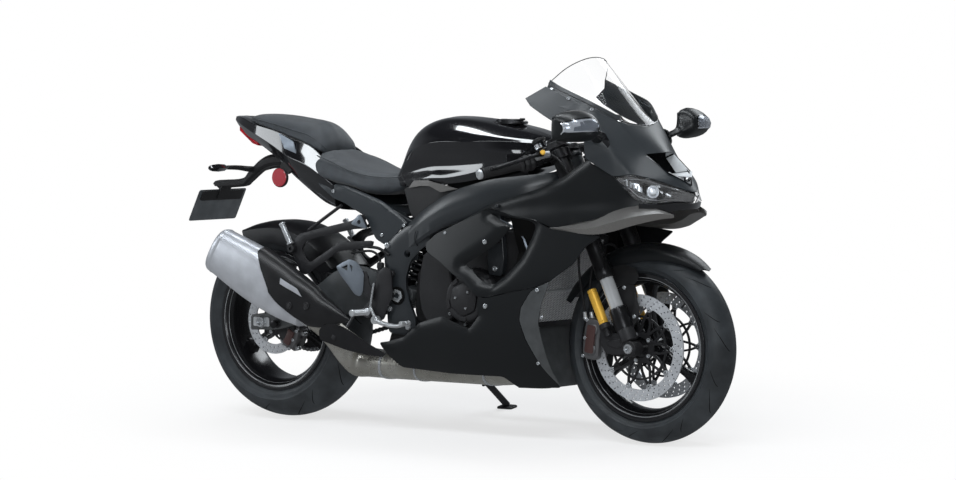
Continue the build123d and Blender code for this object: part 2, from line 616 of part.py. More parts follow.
def swingarm():
    x, z = PIVOT
    hub = tube((x, -112, z), (x, 112, z), 29)
    arm = beam(ARM)
    brace = block((430, 500), (-92, 92), (396, 444))
    body = hub + beam(TALL_ARM) + mirrored(arm) + brace
    body = body - tube((x, -130, z), (x, 130, z), PIVOT_R + RUN)
    body = body - tube((0, -170, REAR_Z), (0, 170, REAR_Z), REAR_AXLE_R + RUN)
    # paddock-stand threads in the outer faces, ahead of the axle
    for s in (-1, 1):
        face_y = s * 148
        body = body - tube((70, face_y - s * SPOOL_HOLE_DEPTH, 318), (70, face_y + s * 10, 318),
                           SPOOL_HOLE_R)
    keep("swingarm", one(body))
    rod = tube((0, -160, REAR_Z), (0, 160, REAR_Z), REAR_AXLE_R, REAR_AXLE_BORE_R)
    nuts = [tube((0, s * 148.1, REAR_Z), (0, s * 160, REAR_Z), 21, REAR_AXLE_BORE_R)
            for s in (-1, 1)]
    keep("rear_axle", one(rod + nuts[0] + nuts[1]))


def suspension():
    """Coil-over unit between a frame cross piece and the swingarm brace."""
    body = tube((500, 0, 446), (588, 0, 606), 14)
    spring = tube((512, 0, 468), (572, 0, 578), 33)
    unit = body + spring
    keep("shock_absorber", cut(one(unit), NODES["main_frame"][0], NODES["swingarm"][0]))


def chain():
    """The chain as one closed band round both sprockets."""
    a, b = Vector(0, REAR_Z), Vector(DRIVE_X, DRIVE_Z)
    span, lift = (b - a).length, math.atan2(DRIVE_Z - REAR_Z, DRIVE_X)
    lean = math.asin((SPROCKET_R - DRIVE_R) / span)

    def band(grow):
        big, small = SPROCKET_R + grow, DRIVE_R + grow
        ends = []
        for s in (1, -1):
            angle = lift + s * (math.pi / 2 - lean)
            ends.append([(c.X + r * math.cos(angle), c.Y + r * math.sin(angle))
                         for c, r in ((a, big), (b, small))])
        loop = ends[0] + ends[1][::-1]
        face = Face(Wire.make_polygon([(x, z, 0) for x, z in loop], close=True))
        solid = extrude(face, CHAIN_W, dir=(0, 0, 1))
        solid = solid + Solid.make_cylinder(big, CHAIN_W, Plane(origin=(a.X, a.Y, 0)))
        return solid + Solid.make_cylinder(small, CHAIN_W, Plane(origin=(b.X, b.Y, 0)))

    loop = band(4 + CHAIN_H / 2) - band(4 - CHAIN_H / 2)
    loop = Pos(0, SPROCKET_Y + CHAIN_W / 2, 0) * Rot(90, 0, 0) * loop
    # the sprocket runs in a groove round the inside of the band
    half, deep = SPROCKET_T / 2 + TOOTH_GAP, SPROCKET_R + TOOTH_H + TOOTH_GAP
    groove = tube((0, SPROCKET_Y - half, REAR_Z), (0, SPROCKET_Y + half, REAR_Z), deep)
    keep("chain", cut(one(loop), groove, NODES["engine_block"][0]))


SUBFRAME = [(600, -96, 640, 60, 26), (470, -110, 705, 56, 24), (330, -104, 760, 50, 24),
            (180, -80, 835, 44, 22), (20, -52, 905, 34, 20)]


def subframe():
    rail = beam(SUBFRAME)
    body = rail + mirrored(rail)
    for x, z in ((470, 705), (200, 822)):
        body = body + block((x - 12, x + 12), (-112, 112), (z - 12, z + 12))
    keep("subframe", cut(one(body), NODES["main_frame"][0]))


def rear_brake():
    body = Box(76, 58, 50) - Pos(0, 0, -8) * Box(80, 10 + DISC_T, 50)
    around = Pos(0, -REAR_DISC_Y - 2, REAR_Z) * Rot(0, 118, 0) * Pos(0, 0, REAR_DISC_R - 6)
    bracket = block((72, 112), (-124, -108), (276, 330))
    keep("rear_caliper", cut(one(around * body + bracket), NODES["swingarm"][0]))


# ---------------------------------------------------------------- exhaust, stand, controls
SILENCER = [  # x, z of the middle, y of the middle, half height, half width, shift of the section
    (-128, 556, -206, 78, 48), (40, 478, -208, 92, 52), (160, 418, -206, 84, 50),
    (240, 372, -200, 62, 44)]


SILENCER_COVER = [  # the same columns
    (60, 474, -216, 70, 50), (170, 420, -218, 66, 48), (250, 384, -222, 60, 36),
    (330, 346, -224, 48, 22), (400, 306, -220, 40, 15), (480, 270, -212, 26, 12),
    (552, 246, -204, 8, 8)]
CHAMBER = [  # the same columns and the tilt of the section: link pipe, collector box, front pipe
    (222, 380, -198, 44, 34, 30), (262, 352, -188, 44, 32, 35), (318, 290, -150, 44, 34, 55),
    (372, 214, -96, 50, 60, 20), (400, 198, -40, 44, 84, 0), (560, 196, -28, 44, 90, 0),
    (760, 194, -24, 42, 90, 0), (900, 192, -10, 40, 96, 0), (970, 196, 0, 36, 100, 0),
    (1040, 214, 0, 34, 104, 0)]
HEADER = [(1020, 216), (1086, 250), (1112, 330), (1116, 420)]  # x, z of each header pipe


def oval(x, y, z, high, wide, tilt):
    """A twelve-sided section, square to a pipe that rises to the rear by tilt degrees."""
    x, t = along(x), math.radians(tilt)
    loop = []
    for i in range(12):
        a = math.pi * 2 * (i + 0.5) / 12
        v, u = high * math.sin(a), wide * math.cos(a)
        loop.append((x + v * math.sin(t), y + u, z + v * math.cos(t)))
    return loop


def exhaust():
    rows = [oval(x, y, z, high, wide, 30) for x, z, y, high, wide in SILENCER]
    can = loft_rows(rows)
    cavity = loft_rows([oval(x, y, z, high - 5, wide - 5, 30) for x, z, y, high, wide in (
        (SILENCER[0][0] + 8, SILENCER[0][1] - 4, *SILENCER[0][2:]), *SILENCER[1:3],
        (SILENCER[3][0] - 8, SILENCER[3][1] + 4, *SILENCER[3][2:]))])
    can = can - cavity
    x, z, y, high, wide = SILENCER[0]
    outlet = tube((x - 40, y, z + 22), (x + 60, y, z - 36), 34)
    keep("silencer", one(can - outlet))
    cover = loft_rows([oval(x, y, z, high, wide, 30) for x, z, y, high, wide in SILENCER_COVER])
    keep("silencer_cover", cut(cover, can))
    pipe = loft_rows([oval(x, y, z, high, wide, tilt) for x, z, y, high, wide, tilt in CHAMBER])
    headers = [loft_rows([oval(x, y, z, 20, 20, 0) for x, z in HEADER]) for y in (-72, -24, 24, 72)]
    body = pipe
    for header in headers:
        body = body + header
    keep("exhaust_pipes", cut(one(body), NODES["silencer"][0], NODES["silencer_cover"][0],
                              NODES["engine_block"][0], NODES["radiator"][0],
                              NODES["main_frame"][0]))


STAND_PIVOT = (620.0, 128.0, 215.0)
STAND_AXIS = (0.0, 0.82, 0.57)


def side_stand():
    """Leg from its pivot under the frame to a foot that is flat on the floor when leaned."""
    lean = math.radians(PARK_LEAN)
    px, py, pz = STAND_PIVOT
    ax = Vector(*STAND_AXIS).normalized()
    # foot: floor height 0 after the lean, straight out along the leg
    reach = Vector(70.0, 150.0, 0)
    fy = py + reach.Y
    fz = fy * math.tan(lean)
    foot_mid = Vector(px + reach.X, fy, fz)
    base = Vector(px, py, pz)
    legs = tube((base.X, base.Y, base.Z), (foot_mid.X, foot_mid.Y, foot_mid.Z + 9), STAND_DIA / 2)
    a, b = base - ax * 14, base + ax * 14
    eye = tube((a.X, a.Y, a.Z), (b.X, b.Y, b.Z), 22)
    plate = Pos(foot_mid.X, foot_mid.Y, foot_mid.Z) * Rot(PARK_LEAN, 0, 0) * (
        Pos(0, 0, 4) * Box(60, 44, 8))
    a, b = base - ax * 30, base + ax * 30
    hole = tube((a.X, a.Y, a.Z), (b.X, b.Y, b.Z), 8 + RUN)
    leg_solid = one((legs + eye) - hole + plate)
    floor = Rot(PARK_LEAN, 0, 0) * (Pos(px, 200, -500) * Box(900, 900, 1000))
    keep("side_stand", one(leg_solid - floor))
    # bracket on the frame with the pivot bolt
    a, b = base - ax * 40, base - ax * 14.3
    lug = tube((a.X, a.Y, a.Z), (b.X, b.Y, b.Z), 24)
    a, b = base - ax * 40, base + ax * 22
    bolt = tube((a.X, a.Y, a.Z), (b.X, b.Y, b.Z), 8)
    a, b = base + ax * 14.3, base + ax * 22
    head = tube((a.X, a.Y, a.Z), (b.X, b.Y, b.Z), 13)
    hanger = beam([(586, 118, 345, 40, 24), (600, 90, 260, 50, 24), (622, 86, 190, 34, 24)])
    frame = NODES["main_frame"][0] + one(lug + bolt + head + hanger)
    NODES["main_frame"] = [cut(one(frame), NODES["engine_block"][0])]


REAR_HANGER = [(454, 642), (428, 690), (392, 666), (254, 636), (176, 618), (140, 594), (132, 566),
               (160, 516), (174, 486), (198, 484), (332, 564), (470, 582), (476, 604), (340, 596),
               (214, 524), (190, 540), (178, 566), (196, 594), (256, 610), (396, 638)]


def footrests():
    outline = [(548, 500), (526, 336), (494, 336), (466, 358), (430, 362), (400, 380), (380, 400), (352, 440),
               (350, 520), (420, 545), (500, 560)]
    plate = profile(outline, -176, -164)
    mount = profile([(548, 420), (575, 420), (575, 520), (540, 540)], -176, -148)
    plate = plate + mount
    rear = profile(REAR_HANGER, -160, -148) + tube((146, -148, 568), (146, -178, 568), 13)
    spigot = tube((424, -152, 668), (424, -104, 704), 10)
    peg = tube((470, -180, 376), (470, -262, 376), 13)
    clevis = tube((470, -164, 376), (470, -182, 376), 20)
    rear_peg = tube((146, -165, 568), (100, -165, 650), 10)      # folded up
    frame = NODES["main_frame"][0]
    # the hollow pivot stays open from the side
    window = tube((PIVOT[0], -190, PIVOT[1]), (PIVOT[0], -140, PIVOT[1]), 24)
    plate = cut(one(plate + clevis), frame, window)
    rear = cut(one(rear + spigot), NODES["subframe"][0])
    keep("footrest_hangers", *both(plate), *both(rear))
    keep("footrests", *both(cut(peg, plate)), *both(cut(rear_peg, rear)))
    pedal = tube((510, -190, 352), (600, -196, 336), 8) + tube((600, -196, 336), (650, -200, 348), 7)
    pedal = pedal + tube((650, -190, 348), (650, -240, 348), 8)
    pedal = pedal + tube((510, -176.5, 352), (510, -198, 352), 12)
    keep("foot_pedals", *both(cut(one(pedal), plate)))


# ---------------------------------------------------------------- bodywork
TANK = [  # x, then (y, z) from the ridge down: shoulder, waist, lower edge
    (488, (0, 806), (40, 803), (58, 790), (60, 776)),
    (520, (0, 872), (52, 852), (80, 806), (78, 776)),
    (560, (0, 942), (68, 908), (98, 836), (92, 776)),
    (610, (0, 980), (92, 942), (116, 866), (104, 778)),
    (680, (0, 1001), (120, 952), (140, 882), (118, 788)),
    (760, (0, 1004), (144, 945), (156, 892), (132, 790)),
    (850, (0, 997), (152, 940), (166, 898), (146, 800)),
    (930, (0, 981), (148, 942), (168, 902), (154, 815)),
    (1000, (0, 966), (132, 938), (152, 904), (146, 838)),
    (1050, (0, 952), (96, 930), (116, 900), (112, 850)),
    (1090, (0, 938), (46, 930), (58, 900), (56, 862))]
SEAT = [  # x, then crown, edge, lower edge
    (566, (0, 822), (52, 812), (62, 790)), (500, (0, 814), (88, 804), (100, 752)),
    (430, (0, 820), (120, 808), (134, 752)), (360, (0, 834), (136, 822), (148, 772)),
    (290, (0, 854), (138, 850), (150, 785)), (238, (0, 884), (134, 868), (146, 800)),
    (200, (0, 925), (118, 882), (134, 838))]
PILLION = [
    (246, (0, 922), (70, 900), (92, 880)), (185, (0, 970), (98, 925), (108, 895)),
    (110, (0, 986), (102, 945), (110, 920)), (20, (0, 998), (98, 966), (105, 945)),
    (-60, (0, 1002), (85, 980), (92, 962)), (-136, (0, 1000), (50, 990), (58, 978))]


def steering_room():
    """The space that the legs and their clamps sweep between the steering stops."""
    room = []
    for side in (-1, 1):
        for k in range(STEER_STEPS + 1):
            turn = Pos(-OFFSET, 0, 0) * Rot(0, 0, side * STEER_STOP * k / STEER_STEPS) * Pos(OFFSET, 0, 0)
            for y in (-FORK_Y, FORK_Y):
                leg_room = Solid.make_cylinder(CLAMP_R + STEER_CLEAR, 160, Plane(origin=(0, y, 590)))
                room.append(at_fork(turn * leg_room))
    return room


def closed(table, floor):
    """Add to each half section a last point at its own floor height on the centre line."""
    return [(x, *half, (0, floor(x, half))) for x, *half in table]


def seats_and_tank():
    frame = NODES["main_frame"][0]
    tank = sections(closed(TANK, lambda x, half: half[-1][1]))
    tank = cut(tank, frame, *NODES["fork_yokes"], *steering_room())
    cap_x, cap_z = along(905.0), 987.0
    neck = tube((cap_x, 0, cap_z - 40), (cap_x, 0, cap_z + 20), 46)
    tank = cut(tank, neck)
    ring = tube((cap_x, 0, cap_z - 40), (cap_x, 0, cap_z + 2), 46.2, 37)
    hinge_x, hinge_z = cap_x + 49, cap_z + 9
    lugs = (block((hinge_x - 5, hinge_x + 6), (11, 17), (cap_z - 16, hinge_z + 4))
            + block((hinge_x - 5, hinge_x + 6), (-17, -11), (cap_z - 16, hinge_z + 4)))
    keep("fuel_tank", one(tank + ring + lugs))
    lid = tube((cap_x, 0, cap_z + 2 + SEAT_GAP), (cap_x, 0, cap_z + 9), 44)
    lid = lid + tube((cap_x, 0, cap_z - 10), (cap_x, 0, cap_z + 3), 30)
    lid = lid + tube((hinge_x, -10.5, hinge_z), (hinge_x, 10.5, hinge_z), 4)
    lid = lid + block((hinge_x - 12, hinge_x), (-9, 9), (hinge_z - 4, hinge_z))
    keep("filler_cap", one(lid))
    rider = sections(closed(SEAT, lambda x, half: half[-1][1]))
    rider = cut(rider, tank, NODES["subframe"][0])
    pad = sections(closed(PILLION, lambda x, half: half[-1][1]))
    keep("rider_seat", rider)
    keep("pillion_seat", cut(pad, rider, NODES["subframe"][0]))
    tail = sections([
        (300, (0, 760), (100, 800), (146, 776), (118, 700), (0, 690)),
        (240, (0, 800), (120, 860), (146, 800), (110, 720), (0, 706)),
        (180, (0, 860), (112, 900), (142, 830), (104, 752), (0, 740)),
        (100, (0, 900), (116, 925), (132, 850), (88, 796), (0, 782)),
        (20, (0, 930), (110, 950), (116, 888), (66, 845), (0, 832)),
        (-70, (0, 955), (98, 968), (100, 930), (50, 892), (0, 884)),
        (-150, (0, 988), (66, 988), (72, 962), (36, 925), (0, 922)),
        (-206, (0, 996), (34, 993), (38, 980), (20, 962), (0, 960))])
    tail = cut(tail, rider, NODES["pillion_seat"][0], NODES["subframe"][0])
    keep("tail_cowl", tail)
    side = [(228, 786), (343, 780), (432, 752), (494, 731), (557, 694), (600, 664), (513, 590),
            (475, 608), (431, 680), (343, 722), (300, 735)]
    cover = profile(side, -136, -124)
    rib = block((330, 360), (-126, -100), (745, 775))
    keep("side_covers", *both_cut(one(cover + rib), rider, tail, frame, NODES["subframe"][0],
                                  *NODES["footrest_hangers"]))


PLATE_PLACE = Pos(-318, 0, 695) * Rot(0, 26, 0)


def tail_parts():
    tail = NODES["tail_cowl"][0]
    lamp = sections([(-196, (0, 962), (30, 962), (30, 944), (0, 942)),
                     (-120, (0, 925), (40, 928), (40, 902), (0, 900)),
                     (-96, (0, 905), (40, 910), (40, 895), (0, 894))])
    keep("tail_light", cut(lamp, tail))
    # x, y, z, height, thickness of the plate hanger arm
    arm = beam([(40, 0, 850, 40, 60), (-60, 0, 850, 44, 56), (-116, 0, 832, 46, 52),
                (-170, 0, 792, 41, 50), (-200, 0, 772, 32, 50), (-298, 0, 764, 34, 60)])
    stalk = tube((-150, -150, 826), (-150, 150, 826), 8)
    back = PLATE_PLACE * Pos(4, 0, 10) * Box(5, 150, 130)
    hanger = one(arm + stalk + back)
    keep("plate_hanger", cut(hanger, tail, NODES["tail_light"][0]))
    plate = PLATE_PLACE * Box(2, 240, 116)
    keep("number_plate", cut(one(plate), NODES["plate_hanger"][0]))
    lens = loft_rows([[(-150 + a * r, y, 826 + b * r) for a, b in
                       ((1, 0.5), (0.6, 1), (-0.6, 1), (-1, 0.5), (-1, -0.5), (-0.6, -1), (0.6, -1),
                        (1, -0.5))]
                      for y, r in ((-150, 15), (-190, 17), (-232, 11))])
    keep("rear_indicators", *both_cut(lens, NODES["plate_hanger"][0]))


# skin of the fairing: half width y at each height (rows) and station x (columns)
SKIN_X = [500, 560, 700, 850, 1000, 1150, 1280, 1400, 1470, 1550]
SKIN_Y = {
    150: [100, 112, 126, 136, 136, 124, 96, 70, 55, 40],
    220: [150, 165, 178, 188, 186, 172, 140, 120, 90, 60],
    300: [174, 188, 203, 214, 212, 198, 165, 140, 110, 80],
    400: [180, 196, 214, 226, 226, 214, 190, 160, 130, 100],
    500: [178, 190, 210, 224, 226, 218, 205, 180, 140, 100],
    600: [170, 178, 196, 212, 220, 220, 215, 195, 150, 100],
    700: [158, 165, 180, 198, 212, 222, 220, 195, 162, 110],
    800: [145, 150, 165, 185, 204, 217, 215, 182, 165, 125],
    890: [135, 140, 155, 175, 195, 208, 204, 172, 165, 130]}
PANEL_A = [(770, 639), (972, 735), (1179, 791), (1263, 829), (1333, 881), (1382, 855),
           (1430, 827), (1475, 793), (1525, 753), (1473, 732), (1363, 694), (1226, 667),
           (1156, 693), (1076, 701), (973, 723)]
PANEL_B = [(762, 637), (973, 722), (1076, 700), (1156, 692), (1226, 666), (1400, 648), (1348, 614),
           (1300, 558), (1212, 501), (1173, 489), (1144, 480), (1069, 465), (991, 447), (945, 443),
           (884, 495), (844, 513), (786, 551), (728, 578), (717, 603)]
VENT = [(978, 704), (1134, 688), (1159, 675), (1140, 632), (1103, 572), (1044, 515), (997, 484),
        (947, 497), (908, 530), (881, 543), (1004, 612), (1062, 668)]
PANEL_C = [(560, 287), (626, 303), (702, 354), (799, 380), (907, 343), (947, 387), (945, 442),
           (991, 446), (1069, 464), (1144, 479), (1173, 488), (1144, 469), (1109, 419),
           (1101, 379), (1118, 319), (1157, 235), (1199, 166), (1043, 160), (1004, 194),
           (803, 193), (596, 202), (550, 239), (507, 279)]
PANEL_F = [(1173, 488), (1144, 469), (1109, 419), (1101, 379), (1118, 319), (1157, 235),
           (1199, 166), (1181, 271), (1167, 371), (1182, 431), (1213, 501)]


POSTS = [(969, 618), (978, 418)]                # x, z of the posts that carry the panels
CHIN_LINE = [(1084, 346), (1104, 300), (1124, 240), (1140, 172), (1126, 160), (1030, 158)]  # x, z
CHIN_HALF = [150, 152, 142, 112, 108, 124]      # half width at each point of the line


def beam_sheet(line, half):
    """A bent sheet across the machine: x and z of its line, and its half width at each point."""
    rows = [[(x, -y, z), (x - 6, 0, z), (x, y, z)] for (x, z), y in zip(line, half)]
    return grid_sheet(rows[::-1], SKIN)


def fairings():
    rows = [[(x, -y, z) for x, y in zip(SKIN_X, ys)] for z, ys in SKIN_Y.items()]
    hide = grid_sheet(rows, SKIN)

    def panel(outline, *holes):
        cutter = profile(outline, -260, -30, PANEL_GAP / 2)
        for hole in holes:
            cutter = cutter - profile(hole, -270, -20)
        return one(hide & cutter)

    upper = panel(PANEL_A)
    middle = cut(panel(PANEL_B, VENT), upper)
    lower = panel(PANEL_C)
    strip = panel(PANEL_F)
    keep("upper_side_panels", *both(upper))
    keep("mid_fairings", *both(middle), *both(strip))
    right = cut(lower, strip, NODES["exhaust_pipes"][0])
    left = cut(mirrored(lower), mirrored(strip), NODES["exhaust_pipes"][0], NODES["main_frame"][0],
               block((400, 700), (40, 260), (100, 420)))
    keep("lower_fairings", right, left)
    # the chin closes the front between the lower panels, behind the wheel
    chin = beam_sheet(CHIN_LINE, CHIN_HALF)
    keep("chin_panel", cut(chin, right, left, strip, mirrored(strip), *NODES["exhaust_pipes"],
                           *NODES["radiator"]))
    # posts from the engine and the frame to the backs of the panels
    posts = [tube((along(x), -ENGINE_Y + 4, z), (along(x), -250, z), 8) for x, z in POSTS]
    posts = posts + [mirrored(p) for p in posts]
    engine_body = NODES["engine_block"][0]
    for post in posts:
        engine_body = engine_body + post
    covers, panels = NODES["engine_covers"], [*NODES["mid_fairings"], right, left]
    NODES["engine_block"] = [cut(one(engine_body), *panels, *covers)]
    tab = tube((along(1010), -130, 730), (along(1010), -250, 730), 6)
    frame = one(NODES["main_frame"][0] + tab + mirrored(tab))
    NODES["main_frame"] = [cut(frame, *NODES["upper_side_panels"])]


COWL = {  # named corners of the right half of the nose
    "s0": (1433, 0, 980), "s1": (1400, 112, 996), "s2": (1335, 166, 1036), "s3": (1215, 174, 1083),
    "s4": (1165, 166, 1103), "t0": (1105, 192, 1066), "t1": (1128, 198, 1043),
    "t2": (1195, 204, 1006), "m1": (1338, 204, 942), "m2": (1340, 206, 886),
    "p1": (1420, 168, 905), "h0": (1428, 178, 828), "h1": (1475, 152, 838), "h2": (1530, 112, 825),
    "h3": (1581, 62, 798), "h4": (1622, 0, 775), "i0": (1512, 0, 903), "i1": (1476, 82, 896),
    "i2": (1556, 62, 838), "i3": (1598, 0, 800)}
COWL_FACES = [("s0", "s1", "i1", "i0"), ("s1", "p1", "i1"), ("i1", "p1", "h1"), ("p1", "h0", "h1"),
              ("p1", "m2", "h0"), ("p1", "m1", "m2"), ("p1", "s2", "m1"), ("p1", "s1", "s2"),
              ("s2", "s3", "t2", "m1"), ("s3", "s4", "t0", "t1", "t2"),
              ("i1", "h1", "h2", "i2"), ("i2", "h2", "h3"), ("i2", "h3", "h4", "i3")]
LAMP = {"h0": (1428, 176, 825), "h1": (1475, 150, 835), "h2": (1530, 110, 822),
        "h3": (1581, 60, 795), "h4": (1620, 6, 772), "g0": (1442, 174, 812), "g1": (1509, 160, 757),
        "g2": (1550, 128, 747), "g3": (1590, 62, 756), "g4": (1606, 6, 748)}
LAMP_FACES = [("h0", "g0", "h1"), ("h1", "g0", "g1"), ("h1", "g1", "g2", "h2"),
              ("h2", "g2", "g3", "h3"), ("h3", "g3", "g4", "h4")]
CHIN = {"g1": (1512, 160, 752), "g2": (1550, 128, 743), "g3": (1590, 60, 752), "g4": (1606, 0, 744),
        "c1": (1500, 150, 716), "c2": (1548, 120, 712), "c3": (1584, 60, 728), "c4": (1600, 0, 728)}
CHIN_FACES = [("g1", "c1", "c2", "g2"), ("g2", "c2", "c3", "g3"), ("g3", "c3", "c4", "g4")]


def right_half(points):
    return {n: (x, -y, z) for n, (x, y, z) in points.items()}


def whole_sheet(points, faces, thickness):
    """A sheet from the right half's corners and its mirror image, joined on the centre line."""
    all_points, all_faces = {}, []
    for n, (x, y, z) in points.items():
        all_points["r" + n] = (x, -y, z)
        all_points["l" + n] = (x, y, z)
        if y == 0:
            all_points["l" + n] = all_points.pop("r" + n)
    name = lambda s, n: "l" + n if points[n][1] == 0 else s + n
    for f in faces:
        all_faces.append(tuple(name("r", n) for n in f))
        all_faces.append(tuple(name("l", n) for n in reversed(f)))
    return sheet(all_points, all_faces, thickness)


def nose():
    cowl = whole_sheet(COWL, [tuple(reversed(f)) for f in COWL_FACES], SKIN)
    upper = NODES["upper_side_panels"]
    cowl = cut(cowl, *upper)
    chin = whole_sheet(CHIN, CHIN_FACES, SKIN)
    lamp = sheet(right_half(LAMP), [tuple(reversed(f)) for f in LAMP_FACES], 10)
    keep("headlights", *both_cut(lamp, cowl, *upper))
    keep("nose_cowl", cowl, cut(chin, *upper, *NODES["headlights"]))
    screen = [
        [(1236, 0, 1192), (1230, 60, 1184), (1204, 112, 1158), (1166, 152, 1112)],
        [(1283, 0, 1142), (1276, 62, 1134), (1248, 118, 1110), (1213, 162, 1092)],
        [(1339, 0, 1079), (1330, 64, 1074), (1306, 122, 1058), (1275, 162, 1068)],
        [(1394, 0, 1020), (1384, 62, 1018), (1364, 116, 1016), (1332, 156, 1044)],
        [(1431, 0, 984), (1424, 42, 987), (1414, 78, 993), (1398, 108, 1001)]]
    rows = [[(x, -y, z) for x, y, z in r[:0:-1]] + r for r in screen]
    glass = grid_sheet([list(reversed(r)) for r in rows], 3)
    keep("windscreen", cut(glass, cowl))
    stay = beam([(1222, 0, 820, 60, 80), (1300, 0, 830, 60, 90), (1430, 0, 840, 60, 110)])
    stay = stay + beam([(1300, 0, 860, 50, 60), (1300.5, 0, 930, 60, 60), (1301, 0, 985, 20, 60)])
    duct = (block((along(1420), along(1560)), (-60, 60), (800, 880))
            - block((along(1430), along(1600)), (-54, 54), (806, 874)))
    stay = one(stay + duct)
    keep("nose_stay", cut(stay, NODES["main_frame"][0], cowl, *NODES["headlights"]))
    dash = Pos(along(1288), 0, 985) * Rot(0, -35, 0) * Box(24, 168, 96)
    keep("instrument", cut(one(dash), NODES["nose_stay"][0], glass))


def mirrors():
    rows = []
    # y, x, z of the middle, half depth, half height
    for y, x, z, deep, high in ((-166, 1372, 938, 26, 20), (-196, 1376, 944, 20, 13),
                                (-236, 1386, 958, 18, 12), (-250, 1392, 974, 34, 40),
                                (-300, 1400, 982, 40, 47), (-350, 1402, 980, 34, 38),
                                (-384, 1404, 976, 14, 16)):
        rows.append([(along(x) + a * deep, y, z + b * high) for a, b in
                     ((1, 0.3), (0.6, 1), (-0.6, 1), (-1, 0.5), (-1, -0.6), (-0.6, -1), (0.5, -1),
                      (1, -0.5))])
    body = loft_rows(rows)
    keep("mirrors", *both_cut(body, NODES["nose_cowl"][0]))


def winglets():
    rows = []
    # x, then (y, z) of the upper, outer, lower and inner corners
    for x, *corner in ((1216, (206, 676), (218, 668), (214, 662), (204, 668)),
                       (1363, (196, 700), (222, 672), (214, 652), (196, 668)),
                       (1440, (176, 728), (220, 690), (206, 662), (176, 684)),
                       (1500, (140, 744), (190, 708), (174, 682), (140, 706)),
                       (1562, (112, 728), (132, 718), (122, 700), (106, 714)),
                       (1590, (88, 714), (94, 710), (90, 704), (86, 708))):
        rows.append([(along(x), -y, z) for y, z in corner])
    blade = loft_rows(rows)
    keep("winglets", *both_cut(blade, *NODES["upper_side_panels"], *NODES["mid_fairings"],
                               *NODES["nose_cowl"], *NODES["headlights"]))


def hugger():
    section = [(REAR_R + 14, 60), (REAR_R + 17, 0), (REAR_R + 14, -60), (REAR_R - 6, -98),
               (REAR_R - 60, -101), (REAR_R - 60, -104), (REAR_R - 3, -101.5), (REAR_R + 18, -62),
               (REAR_R + 21, 0), (REAR_R + 18, 62), (REAR_R - 3, 101.5), (REAR_R - 60, 104),
               (REAR_R - 60, 101), (REAR_R - 6, 98)]
    arch = turned(section, REAR_AXLE, 35, 85)
    tab = block((236, 262), (118, 130), (400, 492)) + block((236, 262), (102, 130), (474, 492))
    arch = arch + tab + mirrored(tab)
    keep("rear_hugger", cut(one(arch), NODES["swingarm"][0], NODES["chain"][0],
                            NODES["shock_absorber"][0]))


# ---------------------------------------------------------------- build, lean and write
for make in (front_wheel, rear_wheel, yokes, fork, front_brakes, bars, brake_hoses, front_fender,
             main_frame, engine, radiator, swingarm, suspension, chain, subframe, rear_brake, exhaust,
             side_stand, footrests, seats_and_tank, tail_parts, fairings, nose, mirrors, winglets,
             hugger):
    make()

lean = Rot(-PARK_LEAN, 0, 0)
parked = {name: [lean * s for s in solids] for name, solids in NODES.items()}
box = Compound([s for solids in parked.values() for s in solids]).bounding_box()
shift = Pos(-(box.min.X + box.max.X) / 2, -(box.min.Y + box.max.Y) / 2, 0)
print("box", box.size, "lowest", box.min.Z)
print("shift", shift.position)
os.makedirs("parts", exist_ok=True)
for name, solids in parked.items():
    moved = [shift * s for s in solids]
    export_step(moved[0] if len(moved) == 1 else Compound(moved), f"parts/{name}.step")
print(len(parked), "nodes")
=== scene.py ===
"""The looks of the sport motorcycle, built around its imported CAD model.

Shapes are drawn in the upright machine's own frame, in millimetres (X ahead, Y left, Z up, rear
axle at x = 0, floor at z = 0), as in the CAD source. PARK leans them onto the side stand.
"""
import json
import math

import bmesh
import bpy
import numpy as np
from mathutils import Matrix, Vector
from mathutils.geometry import delaunay_2d_cdt


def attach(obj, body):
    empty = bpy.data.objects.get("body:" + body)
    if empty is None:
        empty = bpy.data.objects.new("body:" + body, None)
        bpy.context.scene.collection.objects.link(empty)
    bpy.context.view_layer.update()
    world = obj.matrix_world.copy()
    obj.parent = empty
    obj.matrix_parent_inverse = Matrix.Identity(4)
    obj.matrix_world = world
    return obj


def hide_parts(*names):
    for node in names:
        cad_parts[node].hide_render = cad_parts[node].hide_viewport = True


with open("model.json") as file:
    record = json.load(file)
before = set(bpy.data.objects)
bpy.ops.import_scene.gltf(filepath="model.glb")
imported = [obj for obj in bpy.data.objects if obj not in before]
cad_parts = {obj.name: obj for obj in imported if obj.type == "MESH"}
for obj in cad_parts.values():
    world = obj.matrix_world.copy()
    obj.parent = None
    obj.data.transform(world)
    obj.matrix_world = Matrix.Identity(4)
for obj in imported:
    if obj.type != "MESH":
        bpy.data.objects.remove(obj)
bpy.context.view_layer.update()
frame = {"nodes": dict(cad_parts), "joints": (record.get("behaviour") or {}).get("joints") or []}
MM = 0.001
JOINTS = {joint["name"]: joint for joint in frame["joints"]}

# ---------------------------------------------------------------- driving dimensions
WHEELBASE, RAKE, TRAIL, PARK_LEAN = 1450.0, math.radians(25), 105.0, math.radians(9)
FRONT_R, FRONT_W, FRONT_CROWN = 300.0, 120.0, 50.0
REAR_R, REAR_W, REAR_CROWN = 320.4, 190.0, 58.0
RIM_SEAT_R = 216.0
FRONT_RIM_HALF, REAR_RIM_HALF = 52.0, 84.0
FRONT_DISC_R, FRONT_DISC_Y, FRONT_DISC_BAND = 165.0, 69.5, 36.0
REAR_DISC_R, REAR_DISC_Y, REAR_DISC_BAND = 110.0, 84.0, 32.0
DISC_T = 5.0
SPROCKET_R, SPROCKET_Y = 104.0, 108.0
DRIVE_R, DRIVE_X, DRIVE_Z = 43.0, 655.0, 445.0
FORK_Y, FORK_OUTER_R, FORK_INNER_R = 105.0, 27.0, 21.5
